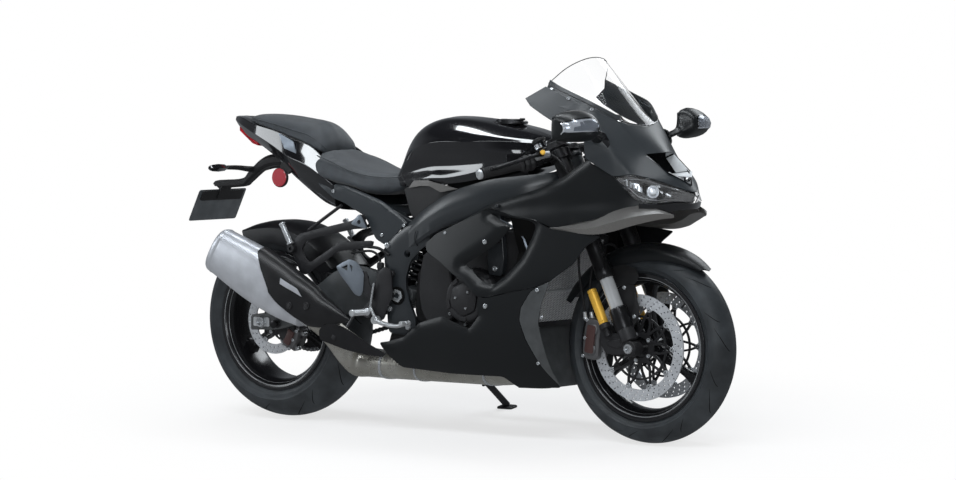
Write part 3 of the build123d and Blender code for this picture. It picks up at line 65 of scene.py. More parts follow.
# along the fork leg, from the axle upwards
FORK_OUTER_FROM, FORK_OUTER_TO, FOOT_TOP = 237.0, 702.0, 70.0
LOWER_YOKE, UPPER_YOKE, BAR_CLAMP = (420.0, 455.0), (668.0, 690.0), (632.0, 664.0)
CLAMP_R, STEM_R = 36.0, 14.0
BAR_R, GRIP_R = 11.0, 17.0
GRIP_END = (1037.0, 345.0, 832.0)
GRIP_FROM, GRIP_LEN = 132.0, 138.0
RESERVOIR = (108.0, 224.0, 15.0, -66.0)  # from and to along the leg, radius, place ahead of it
AXLE_R, AXLE_BORE_R, REAR_AXLE_R, REAR_AXLE_BORE_R = 11.0, 9.0, 14.0, 11.0
PIVOT = (571.0, 430.0)  # x, z of the swingarm's shaft
PIVOT_R, PIVOT_BORE_R = 15.0, 10.0
ENGINE_Y = 118.0


def axle_height(radius, width, crown):
    """Height of an axle so that the leaned tyre just meets the floor."""
    arc = ((width / 2) ** 2 + crown ** 2) / (2 * crown)
    return radius - arc + arc / math.cos(PARK_LEAN), arc


FRONT_Z, FRONT_ARC = axle_height(FRONT_R, FRONT_W, FRONT_CROWN)
REAR_Z, REAR_ARC = axle_height(REAR_R, REAR_W, REAR_CROWN)
SIN_R, COS_R = math.sin(RAKE), math.cos(RAKE)
OFFSET = FRONT_Z * SIN_R - TRAIL * COS_R
FRONT_AXLE, REAR_AXLE = (WHEELBASE, FRONT_Z), (0.0, REAR_Z)


def parked_matrix():
    """From the upright frame, in metres, to the parked model's frame."""
    lean = Matrix.Rotation(-PARK_LEAN, 4, "X")
    axle = Vector(JOINTS["rear_wheel_spin"]["pos_m"])
    return Matrix.Translation(axle - lean @ Vector((0, 0, REAR_Z * MM))) @ lean


PARK = parked_matrix()


# ---------------------------------------------------------------- materials
def principled(name, colour, metallic=0.0, roughness=0.5, **sockets):
    """A material with its constant values on the shader's own sockets."""
    mat = bpy.data.materials.new(name)
    mat.use_nodes = True
    mat.diffuse_color = (*colour, 1)
    shader = mat.node_tree.nodes["Principled BSDF"]
    shader.inputs["Base Color"].default_value = (*colour, 1)
    shader.inputs["Metallic"].default_value = metallic
    shader.inputs["Roughness"].default_value = roughness
    for key, value in sockets.items():
        shader.inputs[key.replace("_", " ")].default_value = value
    return mat, mat.node_tree.nodes, mat.node_tree.links, shader


def noise(nodes, links, scale, detail=4.0, stretch=(1, 1, 1)):
    """Object-space noise, stretched for a brushed or drawn surface."""
    where = nodes.new("ShaderNodeTexCoord")
    grow = nodes.new("ShaderNodeMapping")
    grow.inputs["Scale"].default_value = stretch
    tex = nodes.new("ShaderNodeTexNoise")
    tex.inputs["Scale"].default_value = scale
    tex.inputs["Detail"].default_value = detail
    links.new(where.outputs["Object"], grow.inputs["Vector"])
    links.new(grow.outputs["Vector"], tex.inputs["Vector"])
    return tex


def vary_colour(nodes, links, shader, tex, dark, light, low=0.35, high=0.65):
    """Base colour that wanders between two tones."""
    ramp = nodes.new("ShaderNodeValToRGB")
    ramp.color_ramp.elements[0].position, ramp.color_ramp.elements[1].position = low, high
    ramp.color_ramp.elements[0].color = (*dark, 1)
    ramp.color_ramp.elements[1].color = (*light, 1)
    links.new(tex.outputs["Fac"], ramp.inputs["Fac"])
    links.new(ramp.outputs["Color"], shader.inputs["Base Color"])


def vary_roughness(nodes, links, shader, tex, low, high):
    """Roughness that wanders between two values."""
    span = nodes.new("ShaderNodeMapRange")
    span.inputs["From Min"].default_value, span.inputs["From Max"].default_value = 0.3, 0.7
    span.inputs["To Min"].default_value, span.inputs["To Max"].default_value = low, high
    links.new(tex.outputs["Fac"], span.inputs["Value"])
    links.new(span.outputs["Result"], shader.inputs["Roughness"])


def bump(nodes, links, shader, height, strength, distance):
    """Relief from a height output; the distance is in metres."""
    node = nodes.new("ShaderNodeBump")
    node.inputs["Strength"].default_value = strength
    node.inputs["Distance"].default_value = distance
    links.new(height, node.inputs["Height"])
    links.new(node.outputs["Normal"], shader.inputs["Normal"])


def scaled(colour, factor):
    return tuple(c * factor for c in colour)


def paint(name, colour, roughness, coat, coat_roughness, specular=0.5, flake=0.06):
    """Lacquered paint: faint flake in the colour, orange peel under a clear coat."""
    mat, nodes, links, shader = principled(
        name, colour, 0.0, roughness, Coat_Weight=coat, Coat_Roughness=coat_roughness,
        Specular_IOR_Level=specular)
    vary_colour(nodes, links, shader, noise(nodes, links, 900, 1), scaled(colour, 1 - flake),
                scaled(colour, 1 + flake))
    vary_roughness(nodes, links, shader, noise(nodes, links, 6), roughness * 0.92, roughness * 1.08)
    bump(nodes, links, shader, noise(nodes, links, 220, 2).outputs["Fac"], 0.04, 0.0004)
    return mat


def plastic(name, colour, roughness, grain=1400, depth=0.12, specular=0.4):
    """Moulded plastic with a fine spark-eroded grain."""
    mat, nodes, links, shader = principled(name, colour, 0.0, roughness,
                                           Specular_IOR_Level=specular)
    vary_colour(nodes, links, shader, noise(nodes, links, 25, 3), scaled(colour, 0.85),
                scaled(colour, 1.15))
    vary_roughness(nodes, links, shader, noise(nodes, links, 12), roughness * 0.9,
                   min(1, roughness * 1.1))
    bump(nodes, links, shader, noise(nodes, links, grain, 2).outputs["Fac"], depth, 0.0004)
    return mat


def metal(name, colour, roughness, grain=300, depth=0.05, metallic=1.0, stretch=(1, 1, 1)):
    """Metal with a brushed, ground or cast grain."""
    mat, nodes, links, shader = principled(name, colour, metallic, roughness)
    vary_colour(nodes, links, shader, noise(nodes, links, 18, 5), scaled(colour, 0.9),
                scaled(colour, 1.08))
    vary_roughness(nodes, links, shader, noise(nodes, links, 60, 6, stretch), roughness * 0.8,
                   min(1, roughness * 1.2))
    bump(nodes, links, shader, noise(nodes, links, grain, 3, stretch).outputs["Fac"], depth, 0.0005)
    return mat


def rubber(name, colour, roughness):
    """Matt rubber, dusty in places, with a fine grain."""
    mat, nodes, links, shader = principled(name, colour, 0.0, roughness, Specular_IOR_Level=0.3)
    vary_colour(nodes, links, shader, noise(nodes, links, 14, 6), scaled(colour, 0.75),
                scaled(colour, 1.3))
    vary_roughness(nodes, links, shader, noise(nodes, links, 30, 5), roughness * 0.85,
                   min(1, roughness * 1.12))
    bump(nodes, links, shader, noise(nodes, links, 1800, 2).outputs["Fac"], 0.25, 0.0003)
    return mat


def vinyl(name, colour):
    """Seat cover: grained vinyl with a soft sheen."""
    mat, nodes, links, shader = principled(name, colour, 0.0, 0.55, Specular_IOR_Level=0.35,
                                           Sheen_Weight=0.15, Sheen_Roughness=0.5)
    vary_colour(nodes, links, shader, noise(nodes, links, 30, 4), scaled(colour, 0.82),
                scaled(colour, 1.15))
    where = nodes.new("ShaderNodeTexCoord")
    cells = nodes.new("ShaderNodeTexVoronoi")
    cells.inputs["Scale"].default_value = 700
    links.new(where.outputs["Object"], cells.inputs["Vector"])
    bump(nodes, links, shader, cells.outputs["Distance"], 0.35, 0.0006)
    return mat


def glass(name, colour, roughness, ior, clear=1.0):
    """Clear or tinted plastic that lets light through."""
    mat, nodes, links, shader = principled(name, colour, 0.0, roughness,
                                           Transmission_Weight=clear, IOR=ior)
    vary_roughness(nodes, links, shader, noise(nodes, links, 40, 2), roughness, roughness * 1.6)
    return mat


def titanium(name, colour):
    """Heat-tinted metal: bands from warm grey to straw drift over the surface."""
    mat, nodes, links, shader = principled(name, colour, 0.85, 0.38)
    ramp = nodes.new("ShaderNodeValToRGB")
    tones = [(0.2, (0.30, 0.285, 0.25)), (0.8, (0.38, 0.37, 0.355)), (0.45, (0.46, 0.445, 0.40)),
             (0.6, (0.56, 0.545, 0.50))]
    stops = ramp.color_ramp.elements
    stops[0].position, stops[1].position = tones[0][0], tones[1][0]
    stops[0].color, stops[1].color = (*tones[0][1], 1), (*tones[1][1], 1)
    for place, tone in tones[2:]:
        stops.new(place).color = (*tone, 1)
    tex = noise(nodes, links, 7, 5, (1.0, 1.0, 2.0))
    links.new(tex.outputs["Fac"], ramp.inputs["Fac"])
    links.new(ramp.outputs["Color"], shader.inputs["Base Color"])
    vary_roughness(nodes, links, shader, noise(nodes, links, 40, 6), 0.22, 0.4)
    bump(nodes, links, shader, noise(nodes, links, 160, 4).outputs["Fac"], 0.08, 0.0006)
    return mat


def fins_painted_light_and_shade(name):
    """Radiator core: fine fins as pale bands, lightened as painted light against the shade the core
    sits in, with dark bands of painted shade between them.
    """
    mat, nodes, links, shader = principled(name, (0.3, 0.3, 0.31), 0.2, 0.5)
    where = nodes.new("ShaderNodeTexCoord")
    wave = nodes.new("ShaderNodeTexWave")
    wave.bands_direction = "Z"
    wave.inputs["Scale"].default_value = 120
    links.new(where.outputs["Object"], wave.inputs["Vector"])
    # the pale bands are painted light on the shaded fins; the dark bands between them are painted
    # shade
    vary_colour(nodes, links, shader, wave, (0.09, 0.092, 0.096), (0.75, 0.77, 0.80), 0.3, 0.7)
    bump(nodes, links, shader, wave.outputs["Fac"], 0.6, 0.002)
    return mat


FINISHES = (  # the maker, the finish's name, its colour and the maker's other values
    (paint, "gloss_black", (0.006, 0.006, 0.007), 0.12, 1.0, 0.02),
    (paint, "satin_black", (0.0055, 0.0065, 0.0075), 0.38, 0.0, 0.3, 0.36, 0.1),
    (paint, "graphite", (0.095, 0.093, 0.090), 0.34, 0.35, 0.22, 0.5, 0.25),
    (plastic, "black_plastic", (0.011, 0.011, 0.012), 0.55),
    (plastic, "smooth_plastic", (0.008, 0.008, 0.009), 0.36, 500, 0.04),
    (paint, "frame_paint", (0.017, 0.020, 0.023), 0.33, 0.25, 0.25, 0.5, 0.15),
    (paint, "wheel_paint", (0.007, 0.007, 0.008), 0.24, 0.5, 0.12),
    (metal, "cast_black", (0.02, 0.02, 0.022), 0.48, 500, 0.15, 0.35),
    (metal, "engine_paint", (0.024, 0.024, 0.026), 0.5, 420, 0.2, 0.4),
    (metal, "anodised_black", (0.03, 0.03, 0.032), 0.32, 900, 0.03, 0.8),
    (metal, "aluminium", (0.60, 0.62, 0.64), 0.34, 350, 0.08, 0.7),
    (metal, "cast_silver", (0.36, 0.37, 0.38), 0.42, 260, 0.18, 0.75),
    (metal, "guard_grey", (0.22, 0.25, 0.29), 0.42, 400, 0.05, 0.75),
    (metal, "steel", (0.52, 0.54, 0.56), 0.26, 200, 0.05, 0.75),
    (metal, "dark_steel", (0.16, 0.16, 0.165), 0.38, 200, 0.08),
    (metal, "disc_steel", (0.52, 0.54, 0.57), 0.30, 90, 0.05, 0.45),
    (metal, "chrome", (0.70, 0.72, 0.74), 0.14, 300, 0.01, 0.6),
    (metal, "gold", (0.92, 0.54, 0.08), 0.34, 300, 0.01, 0.5),
    (metal, "caliper_paint", (0.13, 0.13, 0.135), 0.38, 260, 0.1, 0.6),
    (paint, "pad_brown", (0.055, 0.026, 0.024), 0.45, 0.2, 0.3, 0.4, 0.2),
    (paint, "pale_duct", (0.62, 0.64, 0.66), 0.28, 0.5, 0.1),
    (plastic, "charcoal", (0.046, 0.050, 0.053), 0.5),
    (paint, "cowl_satin", (0.020, 0.024, 0.028), 0.36, 0.0, 0.3, 0.45, 0.1),
    (metal, "silencer_metal", (0.52, 0.54, 0.58), 0.38, 180, 0.03, 0.6, (1, 6, 6)),
    (titanium, "titanium", (0.33, 0.27, 0.21)),
    (rubber, "tyre_rubber", (0.027, 0.031, 0.035), 0.5),
    (rubber, "grip_rubber", (0.014, 0.014, 0.015), 0.7),
    (rubber, "hose_rubber", (0.010, 0.010, 0.011), 0.5),
    (vinyl, "seat_vinyl", (0.026, 0.031, 0.037)),
    (glass, "screen", (0.985, 0.99, 0.995), 0.01, 1.12),
    (glass, "lens", (0.92, 0.94, 0.96), 0.01, 1.45),
    (glass, "smoked_lens", (0.35, 0.37, 0.40), 0.05, 1.45),
    (glass, "red_lens", (0.45, 0.012, 0.02), 0.08, 1.3, 0.6),
    (paint, "reflector_red", (0.30, 0.012, 0.022), 0.35, 0.8, 0.05, 0.5, 0.2),
    (metal, "lamp_silver", (0.80, 0.82, 0.85), 0.14, 500, 0.02, 0.55),
    (metal, "mirror_glass", (0.86, 0.87, 0.88), 0.02, 900, 0.002),
    (plastic, "plate_dark", (0.075, 0.085, 0.094), 0.5),
    (fins_painted_light_and_shade, "radiator_core"),
    (paint, "dash_glass", (0.004, 0.005, 0.006), 0.08, 1.0, 0.02),
    # near black with hardly any gloss: painted shade, used for grooves, hollows and gaps where
    # shade falls
    (plastic, "void_black", (0.003, 0.003, 0.003), 0.9, 1400, 0.12, 0.1))
M = {name: make(name, *values) for make, name, *values in FINISHES}


def finish_cad_pieces():
    """The polished fork tubes are the one CAD piece that shows as it is."""
    mesh = frame["nodes"]["fork_inner_tubes"].data
    mesh.materials.clear()
    mesh.materials.append(M["chrome"])
    mesh.polygons.foreach_set("use_smooth", [True] * len(mesh.polygons))
    mesh.set_sharp_from_angle(angle=math.radians(30))


# ---------------------------------------------------------------- camera, light and floor
PHOTO_W = 956
VIEW_AZIMUTH, VIEW_ELEVATION = math.radians(36.93), math.radians(2.966)
VIEW_DISTANCE, VIEW_TARGET = 11957.2, Vector((778.52, 0.0, 608.66))
FOCAL_PIXELS, SENSOR = 3745.1, 36.0
CLIP = (0.1, 200)
LIGHT_COLOUR = (0.92, 0.965, 1.0)
LIGHTS = (  # name, place, what it points at, size, power; in metres and watts
    ("right_strip", (0.1, -1.7, 3.3), (0, 0.1, 0.5), (4.4, 0.45), 72),
    ("left_strip", (0.1, 0.9, 3.5), (0, 0.0, 0.5), (4.4, 0.5), 72),
    ("front_box", (3.4, -3.6, 2.0), (0, 0, 0.6), (1.8, 1.4), 46),
    ("rear_box", (-3.8, -2.4, 2.0), (0, 0, 0.6), (1.6, 1.4), 34),
    ("far_box", (0.4, 4.2, 2.4), (0, 0, 0.6), (3.0, 1.2), 44))
WHITE, WORLD_LIGHT = (1.0, 1.0, 1.0), 0.24
DIRECT_RAYS = ("Is Camera Ray", "Is Transmission Ray")
STUDIO_TONES = ((0.05, (0.17, 0.18, 0.195)), (0.45, (0.02, 0.022, 0.025)))  # height, colour
FLOOR_REFLECTED = (0.15, 0.16, 0.17)
WHITE_FROM, WHITE_BY, WHITE_LEAST = 0.15, 0.95, 0.62  # the floor's white: metres, metres, share


def make_camera():
    """The camera keeps the photograph's place beside the machine, so it leans with it."""
    a, e = VIEW_AZIMUTH, VIEW_ELEVATION
    back = Vector((math.sin(a) * math.cos(e), -math.cos(a) * math.cos(e), math.sin(e)))
    data = bpy.data.cameras.new("camera")
    data.sensor_width, data.lens = SENSOR, FOCAL_PIXELS / PHOTO_W * SENSOR
    data.clip_start, data.clip_end = CLIP
    cam = bpy.data.objects.new("camera", data)
    place = Matrix.Translation((VIEW_TARGET + back * VIEW_DISTANCE) * MM)
    turn = (-back).to_track_quat("-Z", "Y").to_matrix().to_4x4()
    cam.matrix_world = PARK @ place @ turn
    bpy.context.scene.collection.objects.link(cam)
    bpy.context.scene.camera = cam


def area_light(name, place, target, size, power):
    data = bpy.data.lights.new(name, "AREA")
    data.shape, data.size, data.size_y, data.energy = "RECTANGLE", size[0], size[1], power
    data.color = LIGHT_COLOUR
    lamp = bpy.data.objects.new(name, data)
    way = Vector(target) - Vector(place)
    lamp.location = place
    lamp.rotation_mode = "QUATERNION"
    lamp.rotation_quaternion = way.to_track_quat("-Z", "Y")
    bpy.context.scene.collection.objects.link(lamp)


def seen_by(nodes, links, *names):
    """1 for the kinds of ray named, such as camera rays, and 0 for the others."""
    path = nodes.new("ShaderNodeLightPath")
    total = path.outputs[names[0]]
    for name in names[1:]:
        most = nodes.new("ShaderNodeMath")
        most.operation = "MAXIMUM"
        links.new(total, most.inputs[0])
        links.new(path.outputs[name], most.inputs[1])
        total = most.outputs[0]
    return total


def mixed(nodes, links, factor, first, second):
    """The output of a mix: the first shader where the factor is 0, the second where it is 1."""
    mix = nodes.new("ShaderNodeMixShader")
    for spot, source in zip(mix.inputs, (factor, first, second)):
        links.new(source, spot)
    return mix.outputs["Shader"]


def glow(nodes, kind, colour, strength=1.0):
    """An emission or background node of one plain colour."""
    node = nodes.new(kind)
    node.inputs["Color"].default_value = (*colour, 1)
    node.inputs["Strength"].default_value = strength
    return node


def make_world():
    """White to the camera and through glass; reflections meet a dim studio, darker upwards."""
    world = bpy.data.worlds.new("studio")
    world.use_nodes = True
    bpy.context.scene.world = world
    nodes, links = world.node_tree.nodes, world.node_tree.links
    nodes.clear()
    out = nodes.new("ShaderNodeOutputWorld")
    lighting = glow(nodes, "ShaderNodeBackground", WHITE, WORLD_LIGHT)
    reflected, seen = (glow(nodes, "ShaderNodeBackground", WHITE) for _ in range(2))
    where, split = nodes.new("ShaderNodeTexCoord"), nodes.new("ShaderNodeSeparateXYZ")
    ramp = nodes.new("ShaderNodeValToRGB")
    for tone, (height, colour) in zip(ramp.color_ramp.elements, STUDIO_TONES):
        tone.position, tone.color = height, (*colour, 1)
    links.new(where.outputs["Generated"], split.inputs["Vector"])
    links.new(split.outputs["Z"], ramp.inputs["Fac"])
    links.new(ramp.outputs["Color"], reflected.inputs["Color"])
    unseen = mixed(nodes, links, seen_by(nodes, links, "Is Glossy Ray"),
                   lighting.outputs["Background"], reflected.outputs["Background"])
    shown = mixed(nodes, links, seen_by(nodes, links, *DIRECT_RAYS), unseen,
                  seen.outputs["Background"])
    links.new(shown, out.inputs["Surface"])


def make_floor():
    """A pale floor that keeps the shadow, plain white farther off and dim in reflections."""
    mesh = bpy.data.meshes.new("floor")
    reach, level = 60.0, -0.0005
    mesh.from_pydata([(-reach, -reach, level), (reach, -reach, level), (reach, reach, level),
                      (-reach, reach, level)], [], [(0, 1, 2, 3)])
    floor = bpy.data.objects.new("floor", mesh)
    bpy.context.scene.collection.objects.link(floor)
    mat, nodes, links, shader = principled("floor_paint", (0.86, 0.86, 0.87), 0.0, 0.75,
                                           Specular_IOR_Level=0.2)
    vary_colour(nodes, links, shader, noise(nodes, links, 0.6, 2), (0.85, 0.85, 0.86),
                (0.87, 0.87, 0.88))
    white = glow(nodes, "ShaderNodeEmission", WHITE)
    dim = glow(nodes, "ShaderNodeEmission", FLOOR_REFLECTED)
    where, narrow = nodes.new("ShaderNodeTexCoord"), nodes.new("ShaderNodeMapping")
    away, far = nodes.new("ShaderNodeVectorMath"), nodes.new("ShaderNodeMapRange")
    narrow.inputs["Scale"].default_value = (0.5, 1.0, 1.0)
    away.operation, far.interpolation_type = "LENGTH", "SMOOTHSTEP"
    for socket, value in (("From Min", WHITE_FROM), ("From Max", WHITE_BY),
                          ("To Min", WHITE_LEAST)):
        far.inputs[socket].default_value = value
    links.new(where.outputs["Object"], narrow.inputs["Vector"])
    links.new(narrow.outputs["Vector"], away.inputs[0])
    links.new(away.outputs["Value"], far.inputs["Value"])
    plain = mixed(nodes, links, far.outputs["Result"], shader.outputs["BSDF"],
                  white.outputs["Emission"])
    reflected = mixed(nodes, links, seen_by(nodes, links, "Is Glossy Ray"), plain,
                      dim.outputs["Emission"])
    shown = mixed(nodes, links, seen_by(nodes, links, *DIRECT_RAYS), reflected, plain)
    out = next(n for n in nodes if n.type == "OUTPUT_MATERIAL")
    links.new(shown, out.inputs["Surface"])
    mesh.materials.append(mat)


finish_cad_pieces()
make_camera()
make_world()
make_floor()
bpy.context.scene.view_settings.view_transform = "Standard"
for light in LIGHTS:
    area_light(*light)


# ---------------------------------------------------------------- shapes: (points in mm, faces)
SIDES = ((-1, "right"), (1, "left"))
LEG_UP = Vector((-SIN_R, 0, COS_R))  # upwards along the fork leg


def fork_point(ahead, y, up):
    """A point square to the fork leg, across, and along the leg, from the front axle."""
    return (WHEELBASE + ahead * COS_R - up * SIN_R, y, FRONT_Z + ahead * SIN_R + up * COS_R)


def at_fork(shape):
    """Move a shape drawn with the front axle at 0 and the leg along Z to its place."""
    return [fork_point(*p) for p in shape[0]], shape[1]


def bar_point(along, ahead=0.0, up=0.0):
    """A point by the right-hand bar: distance from the fork leg, ahead of it and above it."""
    start = Vector(fork_point(0, -FORK_Y, sum(BAR_CLAMP) / 2))
    way = (Vector((GRIP_END[0], -GRIP_END[1], GRIP_END[2])) - start).normalized()
    return tuple(start + way * along + LEG_UP.cross(way).normalized() * ahead + LEG_UP * up)


def join(*shapes):
    """Several shapes as one."""
    points, faces = [], []
    for pts, fcs in shapes:
        shift = len(points)
        points.extend(pts)
        faces.extend(tuple(i + shift for i in f) for f in fcs)
    return points, faces


def placed(shape, turn, at):
    """A shape drawn about the origin, turned by a matrix and shifted."""
    return [tuple(turn @ Vector(p) + Vector(at)) for p in shape[0]], shape[1]


def mirrored(shape):
    """The shape on the other side of the machine's middle plane."""
    return [(x, -y, z) for x, y, z in shape[0]], [tuple(reversed(f)) for f in shape[1]]


def both(shape):
    return join(shape, mirrored(shape))


def stack(*layers):
    """A body through layers (y, outline) of a side view."""
    return bands([[(x, y, z) for x, z in line] for y, line in layers])


def rim_faces(faces, shift):
    """Quads joining a sheet's open sides to those of its copy, whose points come shift later."""
    sides = dict.fromkeys(pair for f in faces for pair in zip(f, f[1:] + f[:1]))
    return [(b, a, a + shift, b + shift) for a, b in sides if (b, a) not in sides]


def bands(rows, wrap=True, caps=True):
    """Quads between rows of equally many points; wrap joins each row's ends."""
    n = len(rows[0])
    points = [p for row in rows for p in row]
    faces = []
    for k in range(len(rows) - 1):
        for i in range(n if wrap else n - 1):
            j = (i + 1) % n
            faces.append((k * n + i, k * n + j, (k + 1) * n + j, (k + 1) * n + i))
    if caps and wrap:
        last = (len(rows) - 1) * n
        faces += [tuple(range(n))[::-1], tuple(range(last, last + n))]
    return points, faces


def frame_of(start, end):
    """Two unit vectors square to the line from start to end, and its direction."""
    way = (Vector(end) - Vector(start)).normalized()
    side = way.orthogonal().normalized()
    return side, way.cross(side), way


def lathe(profile, start, end, count=32, closed=False):
    """Revolve (radius, height) points about the line from start towards end."""
    side, up, way = frame_of(start, end)
    points, faces, n = [], [], len(profile)
    for k in range(count):
        a = math.radians(360.0) * k / count
        out = side * math.cos(a) + up * math.sin(a)
        points += [tuple(Vector(start) + out * r + way * h) for r, h in profile]
    for k in range(count):
        a, b = k * n, ((k + 1) % count) * n
        for i in range(n if closed else n - 1):
            j = (i + 1) % n
            faces.append((a + i, b + i, b + j, a + j))
    if not closed:
        if profile[0][0] > 0:
            faces.append(tuple(k * n for k in range(count)))
        if profile[-1][0] > 0:
            faces.append(tuple(k * n + n - 1 for k in range(count))[::-1])
    return points, faces


def rod(start, end, radius, chamfer=1.5, count=24):
    """A round bar with chamfered ends."""
    long = (Vector(end) - Vector(start)).length
    c = min(chamfer, long / 3, radius / 2)
    return lathe([(radius - c, 0), (radius, c), (radius, long - c), (radius - c, long)], start,
                 end, count)


def ring(start, end, radius, bore, chamfer=1.0, count=32):
    """A tube with chamfered ends."""
    long = (Vector(end) - Vector(start)).length
    c = min(chamfer, long / 3, (radius - bore) / 3)
    return lathe([(radius - c, 0), (radius, c), (radius, long - c), (radius - c, long),
                  (bore, long), (bore, 0)], start, end, count, closed=True)


def turned(profile, axle, count=96, closed=True):
    """Revolve (radius, y) about a wheel axle."""
    points, faces, n = [], [], len(profile)
    for k in range(count):
        a = math.radians(360.0 * k / count)
        points += [(axle[0] + r * math.cos(a), y, axle[1] + r * math.sin(a)) for r, y in profile]
    for k in range(count):
        a, b = k * n, ((k + 1) % count) * n
        for i in range(n if closed else n - 1):
            j = (i + 1) % n
            faces.append((a + i, a + j, b + j, b + i))
    return points, faces


def prism(outline, y_low, y_high):
    """An outline of (x, z) points in a side view, from y_low to y_high."""
    area = sum(a[0] * b[1] - b[0] * a[1] for a, b in zip(outline, outline[1:] + outline[:1]))
    line = outline if area > 0 else outline[::-1]
    return bands([[(x, y_high, z) for x, z in line], [(x, y_low, z) for x, z in line]])


def box(low, high):
    """An upright block between two corners."""
    (x0, y0, z0), (x1, y1, z1) = low, high
    return prism([(x0, z0), (x1, z0), (x1, z1), (x0, z1)], y0, y1)


def beam(table):
    """Upright four-cornered sections from rows (x, y, z, height, thickness)."""
    rows = []
    for x, y, z, high, thick in table:
        h, t = high / 2, thick / 2
        rows.append([(x, y - t, z - h), (x, y + t, z - h), (x, y + t, z + h), (x, y - t, z + h)])
    return bands(rows)


def spline(points, steps=6):
    """Points along a smooth curve through the given ones."""
    pts = [Vector(p) for p in points]
    pts = [pts[0] * 2 - pts[1], *pts, pts[-1] * 2 - pts[-2]]
    line = [between(*four, k / steps) for four in zip(pts, pts[1:], pts[2:], pts[3:])
            for k in range(steps)]
    return line + [pts[-2]]


def pipe(points, radius, count=12, steps=6, smooth=True):
    """A round tube along a curve; radius may be a list, one for each given point."""
    line = spline(points, steps) if smooth else [Vector(p) for p in points]
    if isinstance(radius, (list, tuple)):
        marks = np.linspace(0, len(line) - 1, len(radius))
        radii = np.interp(range(len(line)), marks, radius)
    else:
        radii = [radius] * len(line)
    way = (line[1] - line[0]).normalized()
    side = way.orthogonal().normalized()
    rows = []
    for k, at in enumerate(line):
        ahead = line[min(k + 1, len(line) - 1)] - line[max(k - 1, 0)]
        way = ahead.normalized()
        side = (side - way * side.dot(way)).normalized()
        up = way.cross(side)
        rows.append([tuple(at + (side * math.cos(a) + up * math.sin(a)) * radii[k])
                     for a in np.linspace(0, 2 * math.pi, count, endpoint=False)])
    return bands(rows)


def coil(start, end, radius, wire, turns, count=8):
    """A helical spring."""
    per_turn = 24
    side, up, way = frame_of(start, end)
    long = (Vector(end) - Vector(start)).length
    line = []
    for k in range(int(turns * per_turn) + 1):
        a = 2 * math.pi * k / per_turn
        line.append(Vector(start) + (side * math.cos(a) + up * math.sin(a)) * radius
                    + way * (long * k / (turns * per_turn)))
    return pipe(line, wire, count, smooth=False)


def bolt(at, way, radius, high, count=18):
    """A cap screw with a socket, standing on a surface."""
    at, way = Vector(at), Vector(way).normalized()
    floor = high - high * 0.6
    return lathe([(radius, -0.5), (radius, high * 0.8), (radius * 0.86, high), (radius * 0.5, high),
                  (radius * 0.46, floor), (0.01, floor)], at, at + way, count)


def hex_nut(at, way, across, high):
    """A hexagon head or nut with a chamfered top."""
    r = across / 2
    return lathe([(r, 0), (r, high * 0.8), (r * 0.88, high), (0.01, high)], at,
                 Vector(at) + Vector(way), 6)


# ---------------------------------------------------------------- pieces
BEVEL_FROM = math.radians(35)


def mesh_of(name, shape):
    """A mesh in metres from a shape in mm, its faces turned outwards."""
    mesh = bpy.data.meshes.new(name)
    mesh.from_pydata([(x * MM, y * MM, z * MM) for x, y, z in shape[0]], [], shape[1])
    work = bmesh.new()
    work.from_mesh(mesh)
    bmesh.ops.recalc_face_normals(work, faces=work.faces)
    work.to_mesh(mesh)
    work.free()
    return mesh


def piece(name, shape, finish, body, slot, replaces=(), angle=32, bevel=0.0, subdivide=0):
    """One visible piece, drawn upright in mm: its mesh, finish and body; the material slot is not
    used.

    Edges sharper than angle (degrees) stay crisp; bevel is the width of their chamfer in mm.
    """
    mesh = mesh_of(name, shape)
    mesh.transform(PARK)
    mesh.update()
    mesh.validate()
    obj = bpy.data.objects.new(name, mesh)
    bpy.context.scene.collection.objects.link(obj)
    mesh.materials.append(M[finish])
    if subdivide:
        mod = obj.modifiers.new("subdivide", "SUBSURF")
        mod.levels = mod.render_levels = subdivide
    if bevel:
        mod = obj.modifiers.new("edges", "BEVEL")
        mod.width, mod.segments, mod.limit_method = bevel * MM, 2, "ANGLE"
        mod.angle_limit = BEVEL_FROM
        mod.harden_normals = False
    mesh.polygons.foreach_set("use_smooth", [True] * len(mesh.polygons))
    if not subdivide:
        mesh.set_sharp_from_angle(angle=math.radians(angle))
    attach(obj, body)
    if replaces:
        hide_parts(*([replaces] if isinstance(replaces, str) else replaces))
    return obj


def between(a, b, c, d, t):
    """The point at t (0 to 1) from b to c on a smooth curve through a, b, c and d."""
    return 0.5 * ((2 * b) + (c - a) * t + (2 * a - 5 * b + 4 * c - d) * t * t
                  + (3 * b - 3 * c + d - a) * t ** 3)


def smooth_table(rows, steps):
    """Rows of numbers filled in along a smooth curve, steps between each pair."""
    data = np.array(rows, float)
    data = np.vstack([2 * data[0] - data[1], data, 2 * data[-1] - data[-2]])
    result = [between(*four, k / steps) for four in zip(data, data[1:], data[2:], data[3:])
              for k in range(steps)]
    result.append(data[-2])
    return [tuple(r) for r in result]


# ---------------------------------------------------------------- wheels
SPOKES = (90, 210, 330)
DISC_BOBBINS = 10
VALVE_ANGLE = 48
RIM_LINES = (  # (radius, distance beyond the flange) of the two pale machined lines
    ((214.2, 0.05), (215.4, 0.25), (216.6, 0.05)), ((206.0, -12.5), (206.8, -11.6), (207.2, -10.8)))
LUG_DEPTH, LUG_HALF = 11, 5.5  # of a disc ring's inward lugs, in mm and degrees


def circle_points(axle, radius, angle, y):
    a = math.radians(angle)
    return (axle[0] + radius * math.cos(a), y, axle[1] + radius * math.sin(a))


